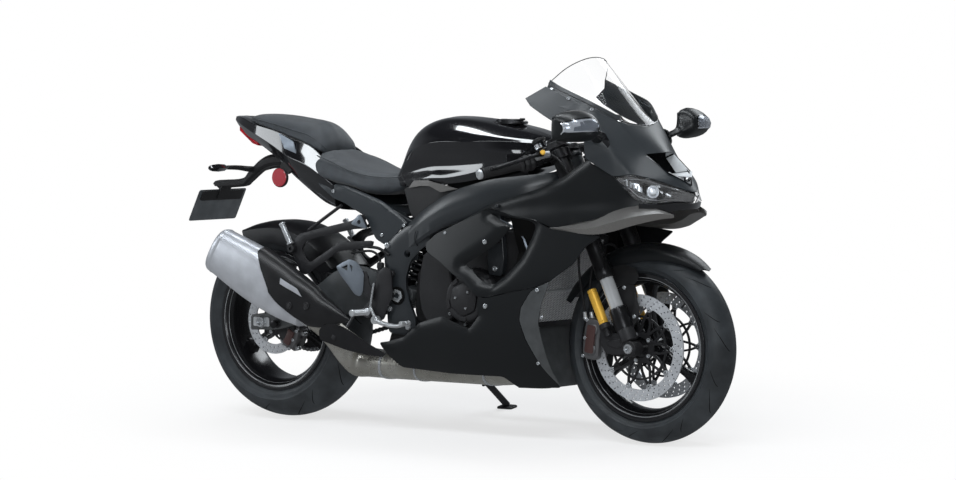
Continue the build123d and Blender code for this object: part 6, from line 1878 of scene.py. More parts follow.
def levers():
    """Curved blades with a ball at the tip, and their gold adjusters."""
    # (along the bar, ahead of it, above it, half height, half thickness)
    table = [(76, 52, 2, 6, 8), (92, 60, 2, 7.5, 6.5), (112, 66, 0, 6.5, 4.2),
             (150, 65, -3, 6, 3.6), (200, 60, -6, 6, 3.6), (240, 61, -9, 6.5, 3.8),
             (254, 65, -10, 6.5, 5.5), (262, 68, -10, 5, 4.5)]
    rows = []
    for along, ahead, up, high, thick in smooth_table(table, 5):
        rows.append([bar_point(along, ahead + thick * math.cos(a), up + high * math.sin(a))
                     for a in np.linspace(0, 2 * math.pi, 14, endpoint=False)])
    lever = bands(rows)
    ball_at = Vector(bar_point(262, 68, -10))
    way = (Vector(bar_point(263, 68, -10)) - ball_at).normalized()
    ball = lathe([(0.1, -8), (5, -6.5), (7.5, -3), (8, 0), (7.5, 3), (5, 6.5), (0.1, 8)],
                 ball_at, ball_at + way, 24)
    piece("levers", both(join(lever, ball)), "anodised_black", "steering", "bare_aluminium",
          "levers", 50)
    wheel = lathe([(7, 0), (8, 2), (8, 9), (7, 11), (0.1, 11)], bar_point(80, 64, 4),
                  bar_point(81, 66, 4), 12)
    adjusters = join(wheel, bolt(bar_point(78, 50, 12), LEG_UP, 5, 4))
    piece("lever_adjusters", both(adjusters), "gold", "steering", "steel")


def bars():
    """The handlebars with all that they carry."""
    clip_ons()
    grips()
    switch_pods()
    brake_pump()
    levers()
    clamp_bolt = at_fork(bolt((-CLAMP_R, -FORK_Y + 26, sum(BAR_CLAMP) / 2), (0, 1, 0), 5, 5))
    piece("clamp_bolts", both(clamp_bolt), "steel", "steering", "steel")


def box_on_bar(along, ahead, up, long, deep, high):
    """A block aligned with the bar."""
    return bands([[bar_point(along + s * long / 2, ahead + a * deep / 2, up + b * high / 2)
                   for a, b in ((-1, -1), (1, -1), (1, 1), (-1, 1))] for s in (-1, 1)])


HOSE_R, HOSE_ROUNDING, HOSE_STEPS = 4.0, 4, 8
HOSE_RIGHT = [(1268, -96, 380), (1262, -100, 440), (1258, -112, 500), (1268, -136, 560),
              (1284, -152, 622), (1284, -160, 690), (1268, -156, 755), (1246, -142, 815)]
HOSE_CROSS = [(1286, -86, 380), (1276, -86, 446), (1276, -84, 506), (1282, -72, 566),
              (1284, -40, 612)]


def hose(name, points, finish, node=()):
    """A held hose: one smooth curve with the route's points."""
    data = bpy.data.curves.new(name, "CURVE")
    data.dimensions, data.bevel_depth = "3D", HOSE_R * MM
    data.bevel_resolution, data.resolution_u = HOSE_ROUNDING, HOSE_STEPS
    line = data.splines.new("NURBS")
    line.points.add(len(points) - 1)
    for spot, p in zip(line.points, points):
        spot.co = (*(PARK @ (Vector(p) * MM)), 1)
    line.order_u, line.use_endpoint_u = 3, True
    data.use_fill_caps = True
    data.materials.append(M[finish])
    obj = bpy.data.objects.new(name, data)
    bpy.context.scene.collection.objects.link(obj)
    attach(obj, "steering")
    if node:
        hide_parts(node)


def brake_hoses():
    pump_end = [bar_point(30, 54, -34), bar_point(38, 42, -10), bar_point(51.5, 40, 2)]
    hose("brake_hose_right", [*HOSE_RIGHT, *pump_end], "hose_rubber", "front_brake_hoses")
    across = [*HOSE_CROSS, *[(x, -y, z) for x, y, z in HOSE_CROSS[::-1]]]
    hose("brake_hose_across", across, "hose_rubber")
    unions = []
    for points in (HOSE_RIGHT, across, across[::-1]):
        a, b = Vector(points[0]), Vector(points[1])
        way = (b - a).normalized()
        unions += [rod(a, a + way * 26, 6, 1.5, 16), hex_nut(a + way * 4, way, 15, 6)]
    piece("hose_unions", join(*unions), "aluminium", "steering", "steel", (), 40)


MIRROR = [  # y, x, z of the middle, half depth, half height
    (-166, 1368, 936, 20, 17), (-186, 1370, 941, 17, 12), (-212, 1378, 950, 15, 10),
    (-236, 1388, 960, 17, 12), (-247, 1394, 972, 28, 31), (-262, 1397, 980, 43, 46),
    (-302, 1393, 983, 48, 51), (-352, 1381, 982, 49, 47), (-380, 1373, 979, 42, 40),
    (-393, 1369, 977, 26, 29)]


def mirrors():
    """Streamlined heads on waisted arms, the clear turn signal let into the outer front."""
    rows = []
    for y, x, z, deep, high in smooth_table(MIRROR, 3):
        rows.append([(x + a * deep, y, z + b * high)
                     for a, b in ((1.0, -0.1), (0.86, 0.42), (0.45, 0.8), (-0.1, 1), (-0.62, 1),
                                  (-0.72, 0.5), (-0.72, -0.5), (-0.62, -0.95), (0.1, -0.92),
                                  (0.66, -0.6))])
    piece("mirrors", both(bands(rows)), "satin_black", "chassis", "gloss_black", "mirrors", 34,
          subdivide=1)
    glass_rows = []
    for y, x, z, deep, high in smooth_table(MIRROR[5:9], 3):
        face_x = x - 0.72 * deep - 0.6
        glass_rows.append([(face_x, y, z - high * 0.8), (face_x, y, z + high * 0.8)])
    piece("mirror_glasses", both(thicken(bands(glass_rows, wrap=False), 1, (1500, -300, 980))),
          "mirror_glass", "chassis", "steel", angle=60)
    lens_rows = []
    for y, x, z, deep, high in smooth_table(MIRROR[5:10], 3)[1:]:
        lens_rows.append([(x + deep * a + 1.5, y, z + high * b) for a, b in
                          ((0.6, -0.52), (0.92, -0.22), (0.99, 0.1), (0.84, 0.42), (0.6, 0.6))])
    piece("mirror_signals", both(thicken(bands(lens_rows, wrap=False), 2.0, (1380, -300, 980))),
          "smoked_lens", "chassis", "lamp_lens", angle=60)
    silver = [[(x - 2.2, y, z) for x, y, z in row] for row in lens_rows]
    piece("mirror_signal_bowls", both(thicken(bands(silver, wrap=False), 1, (1380, -300, 980))),
          "lamp_silver", "chassis", "lamp_lens", angle=60)
    base = rounded([(1330, 905), (1388, 896), (1412, 930), (1392, 966), (1345, 972), (1324, 940)],
                   12, 3)
    flat, faces = flat_mesh(base, step=10)
    pad = [(x, -(190 - (x - 1324) * 0.22), z) for x, z in flat]
    piece("mirror_bases", both(thicken((pad, faces), 5, (1300, 0, 900))), "gloss_black", "chassis",
          "gloss_black", (), 36, bevel=1.5)


WINGLET = [  # x, then (y, z) of the upper, outer, lower and inner corners
    (1216, (206, 676), (218, 668), (214, 662), (204, 668)),
    (1363, (196, 700), (222, 672), (214, 652), (196, 668)),
    (1440, (176, 728), (220, 690), (206, 662), (176, 684)),
    (1500, (140, 744), (190, 708), (174, 682), (140, 706)),
    (1562, (112, 728), (132, 718), (122, 700), (106, 714)),
    (1590, (88, 714), (94, 710), (90, 704), (86, 708))]


def winglets():
    """Graphite blades with a crisp outer edge."""
    loops = []
    for x, uy, uz, oy, oz, ly, lz, iy, iz in filled_in(WINGLET, 6):
        mid = ((uy + oy) / 2, (uz + oz) / 2 + 1.5)
        low = ((oy + ly) / 2, (oz + lz) / 2)
        loops.append([(x, -y, z) for y, z in ((uy, uz), mid, (oy, oz), low, (ly, lz), (iy, iz))])
    piece("winglets", both(bands(loops)), "graphite", "chassis", "graphite", "winglets", 26,
          bevel=0.8)


outer_tubes()
yokes()
feet()
for side, word in SIDES:
    caliper((1294.0, 322.0), side * (FRONT_DISC_Y + 2), side, 8.0, 128.0, "steering",
            f"front_caliper_{word}", "front_calipers" if side < 0 else ())
fender()
fender_guards()
bars()
brake_hoses()
mirrors()
winglets()
# ---------------------------------------------------------------- exhaust
SILENCER = [(-128, 556, -206, 78, 48), (40, 478, -208, 92, 52), (160, 418, -206, 84, 50),
            (240, 372, -200, 62, 44)]                 # x, z, y of the middle, half height and width
CHAMBER = [(222, 380, -198, 44, 34, 30), (262, 352, -188, 44, 32, 35), (318, 290, -150, 44, 34, 55),
           (372, 214, -96, 50, 60, 20), (400, 198, -40, 44, 84, 0), (560, 196, -28, 44, 90, 0),
           (760, 194, -24, 42, 90, 0), (900, 192, -10, 40, 96, 0), (970, 196, 0, 36, 100, 0),
           (1040, 214, 0, 34, 104, 0)]                # the same and the tilt of the section
CAN_TILT = 30.0
SHIELD = [(20, 488, -208, 98, 56), (100, 448, -208, 97, 57), (160, 420, -207, 90, 55),
          (205, 404, -207, 82, 52), (250, 386, -208, 74, 46), (290, 372, -211, 60, 40),
          (346, 358, -214, 43, 28), (400, 352, -218, 18, 13), (428, 350, -220, 4, 4)]
LOW_SHIELD = [(320, 322, -214, 48, 26), (400, 300, -208, 44, 20), (480, 268, -200, 36, 15),
              (570, 240, -194, 26, 11)]               # the same columns as the silencer


def squarish(power):
    """Points of a rounded square, as (across, up) pairs from -1 to 1."""
    loop, count = [], 48
    for i in range(count):
        a = 2 * math.pi * (i + 0.5) / count
        c, s = math.cos(a), math.sin(a)
        loop.append((math.copysign(abs(c) ** power, c), math.copysign(abs(s) ** power, s)))
    return loop


def tilted(x, z, y, high, wide, tilt, power=0.8, grow=0.0):
    """A section square to a pipe that rises to the rear by tilt degrees."""
    t = math.radians(tilt)
    return [(x + v * (high + grow) * math.sin(t), y + u * (wide + grow),
             z + v * (high + grow) * math.cos(t)) for u, v in squarish(power)]


def shield_point(place, v_angle, grow=0.0):
    """A point on the heat shield, by its place along the rows (0 to 1) and its angle."""
    rows = np.array(smooth_table(SHIELD, 6))
    at = place * (len(rows) - 1)
    x, z, y, tall, wide = (float(np.interp(at, range(len(rows)), rows[:, k])) for k in range(5))
    c, s = math.cos(v_angle), math.sin(v_angle)
    u = math.copysign(abs(c) ** 0.85, c) * (wide + grow)
    v = math.copysign(abs(s) ** 0.85, s) * (tall + grow)
    t = math.radians(CAN_TILT)
    return x + v * math.sin(t), y + u, z + v * math.cos(t)


def shield_patch(rear, front, angles, columns=36, grow=0.0):
    """A part of the shield: rear and front give the end of each line of angles."""
    rows = []
    for a in angles:
        lift = math.sin(a)
        start, stop = rear(lift), front(lift)
        rows.append([shield_point(start + (stop - start) * k / columns, a, grow)
                     for k in range(columns + 1)])
    return bands(rows, wrap=False)


def low_shield_y(x, z):
    """The outside of the shield over the link pipe at a point of the side view."""
    xs = [r[0] for r in LOW_SHIELD]
    zc, y, tall, wide = (float(np.interp(x, xs, [r[k] for r in LOW_SHIELD])) for k in (1, 2, 3, 4))
    return y - wide * max(0.0, 1 - min(1.0, abs(z - zc) / (tall * 1.5)) ** 2.2) ** 0.5


def silencer():
    rows = [tilted(*r, CAN_TILT) for r in smooth_table(SILENCER, 7)]
    x, z, y, high, wide = SILENCER[0]
    along, rise = -math.cos(math.radians(CAN_TILT)), math.sin(math.radians(CAN_TILT))

    def end(back, shrink):
        return tilted(x + along * back, z + rise * back, y, high * shrink, wide * shrink, CAN_TILT)

    can = bands([*rows[::-1], end(4, 0.99)])
    piece("silencer", can, "silencer_metal", "chassis", "silencer_metal", "silencer", 40)
    # the tail piece: a darker band, a rolled lip, a recessed end with the outlet
    lip = ((-16, 1.004), (-14, 1.02), (1, 1.012), (8, 0.965), (10, 0.90), (7, 0.86), (-10, 0.82),
           (-14, 0.6), (-14, 0.05))
    band = bands([end(back, shrink) for back, shrink in lip], caps=False)
    piece("silencer_tail", band, "silencer_metal", "chassis", "silencer_metal", (), 44)
    spout = Vector((100, 0, -58)).normalized()
    at = Vector((x, y, z - 7))
    outlet = ring(at - spout * 16, at + spout * 30, 34, 31, 1.5, 40)
    # the outlet's inside is a near-black cup: painted shade in the pipe
    inner = lathe([(31, 0), (30, 12), (29, 26), (0.1, 26)], at + spout * 2, at + spout * 30, 40)
    piece("silencer_outlet", outlet, "dark_steel", "chassis", "silencer_metal", (), 40)
    piece("silencer_outlet_shade", inner, "void_black", "chassis", "matte_black", (), 40)


def heat_shield():
    """The silencer's cover with its slanting rear edge, and the bright slot in it."""
    marks = [r[0] for r in smooth_table(SHIELD, 6)]
    stations = np.linspace(0, 1, len(marks))

    def edge(lift):
        """Where the shield's slanting rear edge crosses the line at this height of the section."""
        x_at = np.interp(lift, [-1, -0.62, -0.35, -0.04, 0.4, 0.85, 1],
                         [300, 268, 203, 128, 69, 18, 10])
        return float(np.interp(x_at, marks, stations))

    whole = shield_patch(edge, lambda lift: 1.0, np.radians(np.linspace(84, 268, 44)))
    piece("silencer_cover", thicken(whole, 3.0, (200, -206, 400)), "smooth_plastic", "chassis",
          "gloss_black", "silencer_cover", 44, bevel=0.8)
    slot = shield_patch(lambda lift: 0.22 - 0.10 * (lift - 0.45),
                        lambda lift: 0.44 - 0.42 * (lift - 0.45),
                        np.radians(np.linspace(146, 158, 8)), 12, 1.2)
    piece("shield_slot", thicken(slot, 1.5, (200, -206, 400)), "silencer_metal", "chassis",
          "silencer_metal", (), 44)


def pipe_shield():
    """The cover over the link pipe, and the screw caps of both shields."""
    second = rounded([(318, 318), (318, 282), (412, 254), (472, 243), (552, 236), (566, 246),
                      (480, 286), (414, 325), (359, 340)], 12, 3)
    flat, faces = flat_mesh(second, step=9)
    cover = thicken(([(x, low_shield_y(x, z), z) for x, z in flat], faces), 3.0, (430, -100, 280))
    piece("pipe_shield", cover, "smooth_plastic", "chassis", "gloss_black", (), 44, bevel=0.8)
    spots = [shield_point(0.40, math.radians(186), 1), shield_point(0.56, math.radians(172), 1)]
    caps = [lathe([(12, -2), (12, 0.5), (10.5, 1.4), (8.5, 0.4), (7, 0.2), (6.4, 2.2), (0.1, 2.4)],
                  spot, Vector(spot) + Vector((-0.05, -1, 0.08)), 28) for spot in spots]
    y = low_shield_y(372, 292)
    caps.append(lathe([(9, -2), (9, 0.5), (7.5, 1.4), (0.1, 1.6)], (372, y, 292),
                      (372, y - 1, 292), 24))
    piece("shield_screws", join(*caps), "cast_black", "chassis", "steel", (), 40)


def exhaust_pipes():
    """The chamber under the engine, four headers with flanges, straps and springs."""
    chamber = smooth_table(CHAMBER, 6)
    body = bands([tilted(*r, power=0.72 + 0.28 * (r[0] < 300)) for r in chamber])
    headers = []
    for y in (-72, -24, 24, 72):
        headers.append(pipe([(1000, y, 212), (1014, y, 222), (1030, y, 262), (1038, y, 330),
                             (1040, y, 424)], 19, 20, 6))
        headers.append(lathe([(24, 0), (27, 2), (27, 8), (24, 10)], (1040, y, 414),
                             (1040, y, 424), 28))
    piece("exhaust_pipes", join(body, *headers), "titanium", "chassis", "titanium",
          "exhaust_pipes", 50)
    table = np.array(chamber)
    order = np.argsort(table[:, 0])

    def station(x, grow):
        """The chamber's section at x, grown outwards."""
        row = [float(np.interp(x, table[order, 0], table[order, k])) for k in (1, 2, 3, 4)]
        return tilted(x, *row, 0, power=0.72, grow=grow)

    straps = []
    for x, half in ((470, 5), (610, 4), (880, 5)):
        straps.append(bands([station(x - half, 0.2), station(x - half + 1, 2.4),
                             station(x + half - 1, 2.4), station(x + half, 0.2)], caps=False))
    straps.append(bands([tilted(*chamber[k], power=0.9, grow=g)
                         for k, g in ((2, 0.5), (3, 4), (5, 4), (6, 0.5))], caps=False))
    piece("pipe_straps", join(*straps), "steel", "chassis", "steel", (), 40)
    springs = [coil((940, s * 60, 240), (1000, s * 60, 252), 5, 1.4, 9) for s in (-1, 1)]
    piece("header_springs", join(*springs), "steel", "chassis", "steel")


# ---------------------------------------------------------------- frame, engine and cooling
# x, y, z of the middle, height, thickness; the same for the arms and the subframe
SPAR = [(600, -136, 610, 96, 26), (690, -150, 668, 96, 30), (800, -156, 718, 104, 32),
        (930, -150, 754, 106, 32), (1040, -118, 775, 96, 30), (1110, -66, 793, 80, 28),
        (1150, -16, 806, 78, 28)]
FRAME_Y = (-148.0, -120.0)
HEAD_LOW, HEAD_HIGH = LOWER_YOKE[1] + 3, UPPER_YOKE[0] - 2.0
STAND_BASE, STAND_AXIS = Vector((620, 128, 215)), Vector((0, 0.82, 0.57)).normalized()


def girder(table, steps=6, cut_outer=0.24, cut_inner=0.12, groove=0.0, top=0.24):
    """A cast beam on the right side: chamfered, with a pressed line along its outer face."""
    rows = []
    for x, y, z, high, thick in smooth_table(table, steps):
        h, t = high / 2, thick / 2
        a, b, c = h * cut_outer, h * cut_inner, h * top
        rows.append([(x, y - t + b, z - h), (x, y + t - b, z - h), (x, y + t, z - h + b),
                     (x, y + t, z + h - b), (x, y + t - b, z + h), (x, y - t + c * 0.45, z + h),
                     (x, y - t, z + h - c), (x, y - t + groove, z + h * 0.12),
                     (x, y - t + groove, z - h * 0.02), (x, y - t, z - h * 0.16),
                     (x, y - t, z - h + a), (x, y - t + a * 0.6, z - h)])
    return bands(rows)


def plate_with_holes(outline, holes, y_outer, y_inner, step=10, dish=0.0):
    """A thick plate: its outer face at y_outer, with real holes and a slightly crowned face."""
    flat, faces = flat_mesh(outline, holes, step)
    face = [(x, y_outer + dish * math.exp(-near_line((x, z), outline + outline[:1]) / 9.0), z)
            for x, z in flat]
    return thicken((face, faces), abs(y_inner - y_outer), (0, 0, 0))


def chassis_frame():
    spar = girder(SPAR, top=0.62)
    piece("main_frame", both(spar), "frame_paint", "chassis", "frame_black", "main_frame", 34,
          bevel=2.0)
    outline = rounded([(606, 655), (556, 624), (512, 583), (515, 529), (523, 457), (526, 352),
                       (532, 310), (594, 304), (634, 312), (642, 354), (618, 404), (604, 446),
                       (600, 487), (618, 541), (660, 580), (704, 606), (684, 648), (650, 668)],
                      14, 4)
    holes = [circle(632, 618, 12), circle(610, 566, 12)]
    plate = plate_with_holes(outline, holes, FRAME_Y[0] - 4, FRAME_Y[1], 11, 5.0)
    piece("pivot_plates", both(plate), "frame_paint", "chassis", "frame_black", (), 36, bevel=1.4)
    blind = [prism(rounded_box(x - 22, z - 22, x + 22, z + 22, 8), -124, -120.5)
             for x, z in ((632, 618), (610, 566))]
    head = at_fork(ring((-OFFSET, 0, HEAD_LOW), (-OFFSET, 0, HEAD_HIGH), 33, 15.1, 2, 40))
    gusset = [at_fork(lathe([(33, 0), (36, 3), (36, 12), (33, 15)], (-OFFSET, 0, up),
                            (-OFFSET, 0, up + 15), 40)) for up in (HEAD_LOW + 4, HEAD_HIGH - 19)]
    cross = prism(rounded_box(575, 610, 640, 655, 10), -122, 122)
    low = prism(rounded_box(560, 330, 600, 352, 6), -122, 122)
    tabs = both(join(rod((1010, -132, 730), (1010, -214, 730), 6), *blind))
    piece("frame_head", join(head, *gusset, cross, low, tabs), "frame_paint", "chassis",
          "frame_black", (), 36, bevel=1.2)


def stand_bracket():
    """The stand's bracket under the left pivot plate."""
    base, axis = STAND_BASE, STAND_AXIS
    hanger = girder([(586, 118, 345, 40, 24), (600, 90, 260, 50, 24), (622, 86, 190, 34, 24)], 5)
    lug = rod(base - axis * 40, base - axis * 14.3, 24, 2, 32)
    pin = rod(base - axis * 40, base + axis * 22, 8, 1)
    cap = hex_nut(base + axis * 14.3, axis, 26, 8)
    piece("stand_bracket", join(hanger, lug), "cast_black", "chassis", "frame_black", (), 36,
          bevel=1.5)
    piece("stand_bolt", join(pin, cap), "steel", "chassis", "steel")


def arm_pivot():
    x, z = PIVOT
    shaft = ring((x, -158, z), (x, 158, z), PIVOT_R, PIVOT_BORE_R, 1.5, 40)
    rims = [lathe([(22, 0), (22, 3.4), (20.5, 5), (12.5, 5), (11.5, 3.5), (11.5, 0)],
                  (x, s * 153, z), (x, s * 158.5, z), 6 if s < 0 else 40, closed=True)
            for s in (-1, 1)]
    piece("swingarm_pivot", join(shaft, *rims), "steel", "chassis", "steel", "swingarm_pivot", 36)
    # near-black rings round the pivot nuts: painted shade about them
    pivot_shade_ring = [ring((x, s * 152.1, z), (x, s * 154.6, z), 29, 15.5, 1.0, 48) for s in (-1, 1)]
    piece("pivot_shade_rings", join(*pivot_shade_ring), "void_black", "chassis", "matte_black", (), 36)


def frame_mounts():
    """Engine mounts, the frame's bolts and a weld on each side."""
    bolts = [hex_nut((616, -152, 332), (0, -1, 0), 20, 7)]
    bolts += [bolt(at, (0, -1, 0), 9, 5) for at in
              ((951, -140, 530), (530, -152, 590), (536, -152, 500), (540, -152, 388))]
    lug_plate = prism(rounded([(925, 510), (975, 506), (985, 560), (970, 712), (930, 706),
                               (920, 560)], 10, 3), -140, -118)
    piece("engine_mounts", both(lug_plate), "frame_paint", "chassis", "frame_black", (),
          36, bevel=2)
    piece("frame_bolts", both(join(*bolts)), "steel", "chassis", "steel", (), 40)
    weld = pipe([(656, -165, 640), (650, -163, 625), (648, -160, 605), (652, -150, 590)], 1.8, 8, 4)
    piece("frame_seams", both(weld), "frame_paint", "chassis", "frame_black")


CLUTCH, STARTER, GENERATOR = (870, 433), (1000, 400), (930, 420)  # middles (x, z) of the covers
ENGINE = [(665, 330), (700, 235), (960, 222), (1060, 300), (1082, 420), (1120, 600), (1040, 660),
          (850, 640), (760, 590), (690, 560), (668, 500)]


def studs(centre, radius, count, y, side, start=0.0, size=5.0):
    """Cap screws in a ring, on a face towards one side."""
    turns = [start + 2 * math.pi * k / count for k in range(count)]
    return [bolt((centre[0] + radius * math.cos(a), y, centre[1] + radius * math.sin(a)),
                 (0, side, 0), size, 4, count=12) for a in turns]


def engine_block():
    line = rounded(ENGINE, 14, 4)
    core = stack((92, line), (-104, line), (-118, inset(line, 7)))
    left = [p for p in ENGINE if p[0] > 720]
    left = rounded(left + [(728, 530), (722, 480), (722, 400), (700, 350), (690, 300)], 10, 3)
    flank = stack((118, inset(left, 6)), (106, left), (90, left))
    ribs = [prism(rounded([(x0, z0), (x0 + 10, z0 + 2), (x1 + 10, z1 + 2), (x1, z1)], 2, 2), -121,
                  121) for x0, z0, x1, z1 in ((770, 255, 700, 480), (1020, 330, 1050, 470))]
    head = prism(rounded([(838, 628), (1046, 650), (1108, 600), (1100, 560), (1000, 556),
                          (850, 560)], 10, 3), -114, 114)
    piece("engine_block", join(core, flank, head, *ribs), "engine_paint", "chassis", "engine_grey",
          "engine_block", 34, bevel=2.0)


def drive_sprocket():
    """The sprocket on its shaft, and the posts that carry the fairings."""
    shaft = rod((DRIVE_X, 80, DRIVE_Z), (DRIVE_X, SPROCKET_Y + 12, DRIVE_Z), 16, 1.5)
    teeth = 16
    outline = []
    for k in range(teeth * 4):
        a = 2 * math.pi * k / (teeth * 4)
        r = DRIVE_R + 3 if k % 4 in (1, 2) else DRIVE_R - 3.5
        outline.append((DRIVE_X + r * math.cos(a), DRIVE_Z + r * math.sin(a)))
    drive = prism(outline, SPROCKET_Y - 4, SPROCKET_Y + 4)
    nut = hex_nut((DRIVE_X, SPROCKET_Y + 4, DRIVE_Z), (0, 1, 0), 34, 8)
    piece("drive_sprocket", join(drive, nut, shaft), "dark_steel", "chassis", "steel", (), 36)
    posts = [rod((x, -ENGINE_Y + 6, z), (x, -skin_y(x, z) + 5, z), 8)
             for x, z in ((969, 618), (978, 418))]
    piece("fairing_posts", both(join(*posts)), "cast_black", "chassis", "cast_black")


def clutch_cover():
    """A stepped drum with a dished middle, raised tabs and a ring of lobes for its bolts."""
    c = CLUTCH
    drum = lathe([(92, 0), (92, 26), (89, 31), (80, 34), (76, 38), (74, 70), (71, 76), (64, 78),
                  (50, 76), (46, 72), (20, 71), (16, 74), (0.1, 75)], (c[0], -ENGINE_Y, c[1]),
                 (c[0], -196, c[1]), 72)
    lobes = [lathe([(9, 0), (9, 31), (7.5, 33), (0.1, 33)], (x, -ENGINE_Y, z), (x, -150, z), 20)
             for x, z in circle(*c, 88, 9, 0.2)]
    inner = rounded(circle(*c, 56, 6, 0.4), 14, 3)
    raised = stack((-188, inner), (-198.5, inner), (-200, inset(inner, 2.5)))
    tabs = [prism(rounded([(c[0] + r0 * math.cos(a + d), c[1] + r0 * math.sin(a + d)) for r0, d in
                           ((58, -0.22), (70, -0.2), (70, 0.2), (58, 0.22))], 3, 2), -200, -190)
            for a in np.linspace(0.9, 0.9 + 2 * math.pi, 5, endpoint=False)]
    piece("engine_covers", join(drum, *lobes, raised, *tabs), "engine_paint", "chassis",
          "engine_grey", "engine_covers", 36, bevel=0.8)


def engine_side_covers():
    """Starter, generator and sprocket covers, the sump's side, and the screws of all covers."""
    (start_x, start_z), (coil_x, coil_z) = STARTER, GENERATOR
    starter = lathe([(48, 0), (48, 30), (44, 37), (34, 40), (30, 37), (0.1, 37)],
                    (start_x, -ENGINE_Y, start_z), (start_x, -158, start_z), 48)
    generator = lathe([(86, 0), (86, 34), (80, 44), (62, 50), (34, 50), (30, 46), (0.1, 46)],
                      (coil_x, ENGINE_Y, coil_z), (coil_x, 168, coil_z), 72)
    case = lathe([(62, 0), (62, 9), (57, 14), (40, 14), (0.1, 14)], (655, 126, 445),
                 (655, 140, 445), 48)
    side = rounded([(660, 566), (646, 500), (642, 440), (652, 384), (672, 352), (742, 338),
                    (786, 368), (776, 470), (768, 520), (792, 584), (700, 588)], 14, 4)
    panel_a = stack((-116, side), (-131, side), (-135, inset(side, 5)))
    sump = rounded([(720, 250), (950, 238), (1010, 290), (985, 322), (940, 330), (800, 322),
                    (740, 330), (712, 300)], 10, 3)
    panel_b = stack((-116, sump), (-124, sump), (-128, inset(sump, 5)))
    piece("engine_side_covers", join(starter, generator, case, panel_a, panel_b), "cast_black",
          "chassis", "engine_grey", (), 36, bevel=1.0)
    screws = studs(CLUTCH, 88, 9, -151, -1, 0.2)[::2] + studs(CLUTCH, 30, 3, -200, -1, 0.9, 4)
    screws += studs(STARTER, 41, 5, -153, -1, 0.5, 4) + studs(GENERATOR, 78, 8, 162, 1, 0.1)
    for y, spots in ((-133, ((760, 572), (768, 380))),
                     (-126, ((730, 262), (840, 256), (940, 250), (990, 292), (800, 312),
                             (936, 318)))):
        screws += [bolt((x, y, z), (0, -1, 0), 5, 4) for x, z in spots]
    piece("engine_screws", join(*screws), "steel", "chassis", "steel", (), 40)


def water_hose():
    water = pipe([(1100, -120, 400), (1060, -136, 380), (1020, -140, 350), (990, -132, 330)],
                 15, 16, 6)
    clips = [lathe([(16, 0), (17.5, 1), (17.5, 7), (16, 8)], a, b, 24) for a, b in
             (((1088, -125, 394), (1080, -129, 390)), ((1006, -136, 340), (999, -134, 335)))]
    piece("water_hose", water, "hose_rubber", "chassis", "hose_rubber")
    piece("water_hose_clips", join(*clips), "steel", "chassis", "steel")


def radiator():
    def place(shape):
        return placed(shape, Matrix.Rotation(math.radians(13), 3, "Y"), (1130, 0, 495))

    core = place(box((-9, -142, -128), (11, 142, 128)))
    fins = [place(box((11, -142, z - 0.9), (13.5, 142, z + 0.9)))
            for z in np.arange(-124, 126, 8.0)]
    piece("radiator", join(core, *fins), "radiator_core", "chassis", "radiator_core",
          "radiator", 40)
    tanks = [place(prism(rounded_box(-15, -140, 15, 140, 7), s * 153 - 12, s * 153 + 12))
             for s in (-1, 1)]
    rails = [place(box((-14, -145, s * 136 - 8), (15, 145, s * 136 + 8))) for s in (-1, 1)]
    filler = place(rod((0, 120, 140), (0, 120, 158), 16, 3))
    piece("radiator_tanks", join(*tanks, *rails, filler), "cast_black", "chassis", "cast_black", (),
          36, bevel=1.5)
    strap = place(box((14, -140, -34), (17, 140, -26)))
    pins = [place(bolt((17, y, -30), (1, 0, 0), 5, 3)) for y in (-132, 132)]
    piece("radiator_strap", join(strap, *pins), "aluminium", "chassis", "bare_aluminium", (), 36,
          bevel=0.5)


# (x, z) down the middle of the panel, and its half width at each
CHIN_LINE = [(1084, 346), (1104, 300), (1124, 240), (1140, 172), (1126, 160), (1030, 158)]
CHIN_HALF = [150, 152, 142, 112, 108, 124]


def chin():
    rows = []
    line = [(1066, 384, 148)] + [(x, z, h) for (x, z), h in zip(CHIN_LINE, CHIN_HALF)]
    for x, z, half in smooth_table(line, 4):
        rows.append([(x + 8 * math.cos(math.pi * u / 2) * (z > 168) - 8 * (z > 168), half * u, z)
                     for u in np.linspace(-1, 1, 17)])
    piece("chin_panel", thicken(bands(rows, wrap=False), 3.0, (900, 0, 420)), "charcoal", "chassis",
          "matte_black", "chin_panel", 40, bevel=0.8)
    screws = [bolt((x + 3, s * y, z), (0.9, 0, 0.3), 6, 3.5)
              for x, y, z in ((1096, 128, 312), (1124, 116, 236)) for s in (-1, 1)]
    piece("chin_screws", join(*screws), "steel", "chassis", "steel")


# ---------------------------------------------------------------- swingarm, drive and rear brake
ARM = [(PIVOT[0] - 26, -88, 428, 60, 34), (480, -96, 420, 66, 36), (400, -112, 402, 84, 26),
       (230, -132, 372, 84, 26), (130, -135, 346, 68, 26), (60, -135, 330, 62, 26),
       (-46, -135, 318, 50, 26)]
TALL_ARM = [ARM[0], (480, -100, 438, 106, 36), (400, -118, 444, 148, 26), (310, -130, 428, 148, 26),
            (230, -134, 396, 108, 26), (130, -135, 352, 72, 26), *ARM[-2:]]


def swingarm():
    arm, tall = girder(ARM, 6, 0.22, 0.14), girder(TALL_ARM, 6, 0.2, 0.12, top=0.3)
    x, z = PIVOT
    hub = ring((x, -112, z), (x, 112, z), 29, PIVOT_R + 0.3, 2, 40)
    brace = prism(rounded_box(430, 396, 500, 444, 10), -92, 92)
    web = [prism(rounded([(470, 404), (560, 412), (560, 446), (470, 440)], 8, 3), s * 84 - 14,
                 s * 84 + 14) for s in (-1, 1)]
    piece("swingarm", join(mirrored(arm), tall, hub, brace, *web), "charcoal", "chassis",
          "frame_black", "swingarm", 34, bevel=2.0)


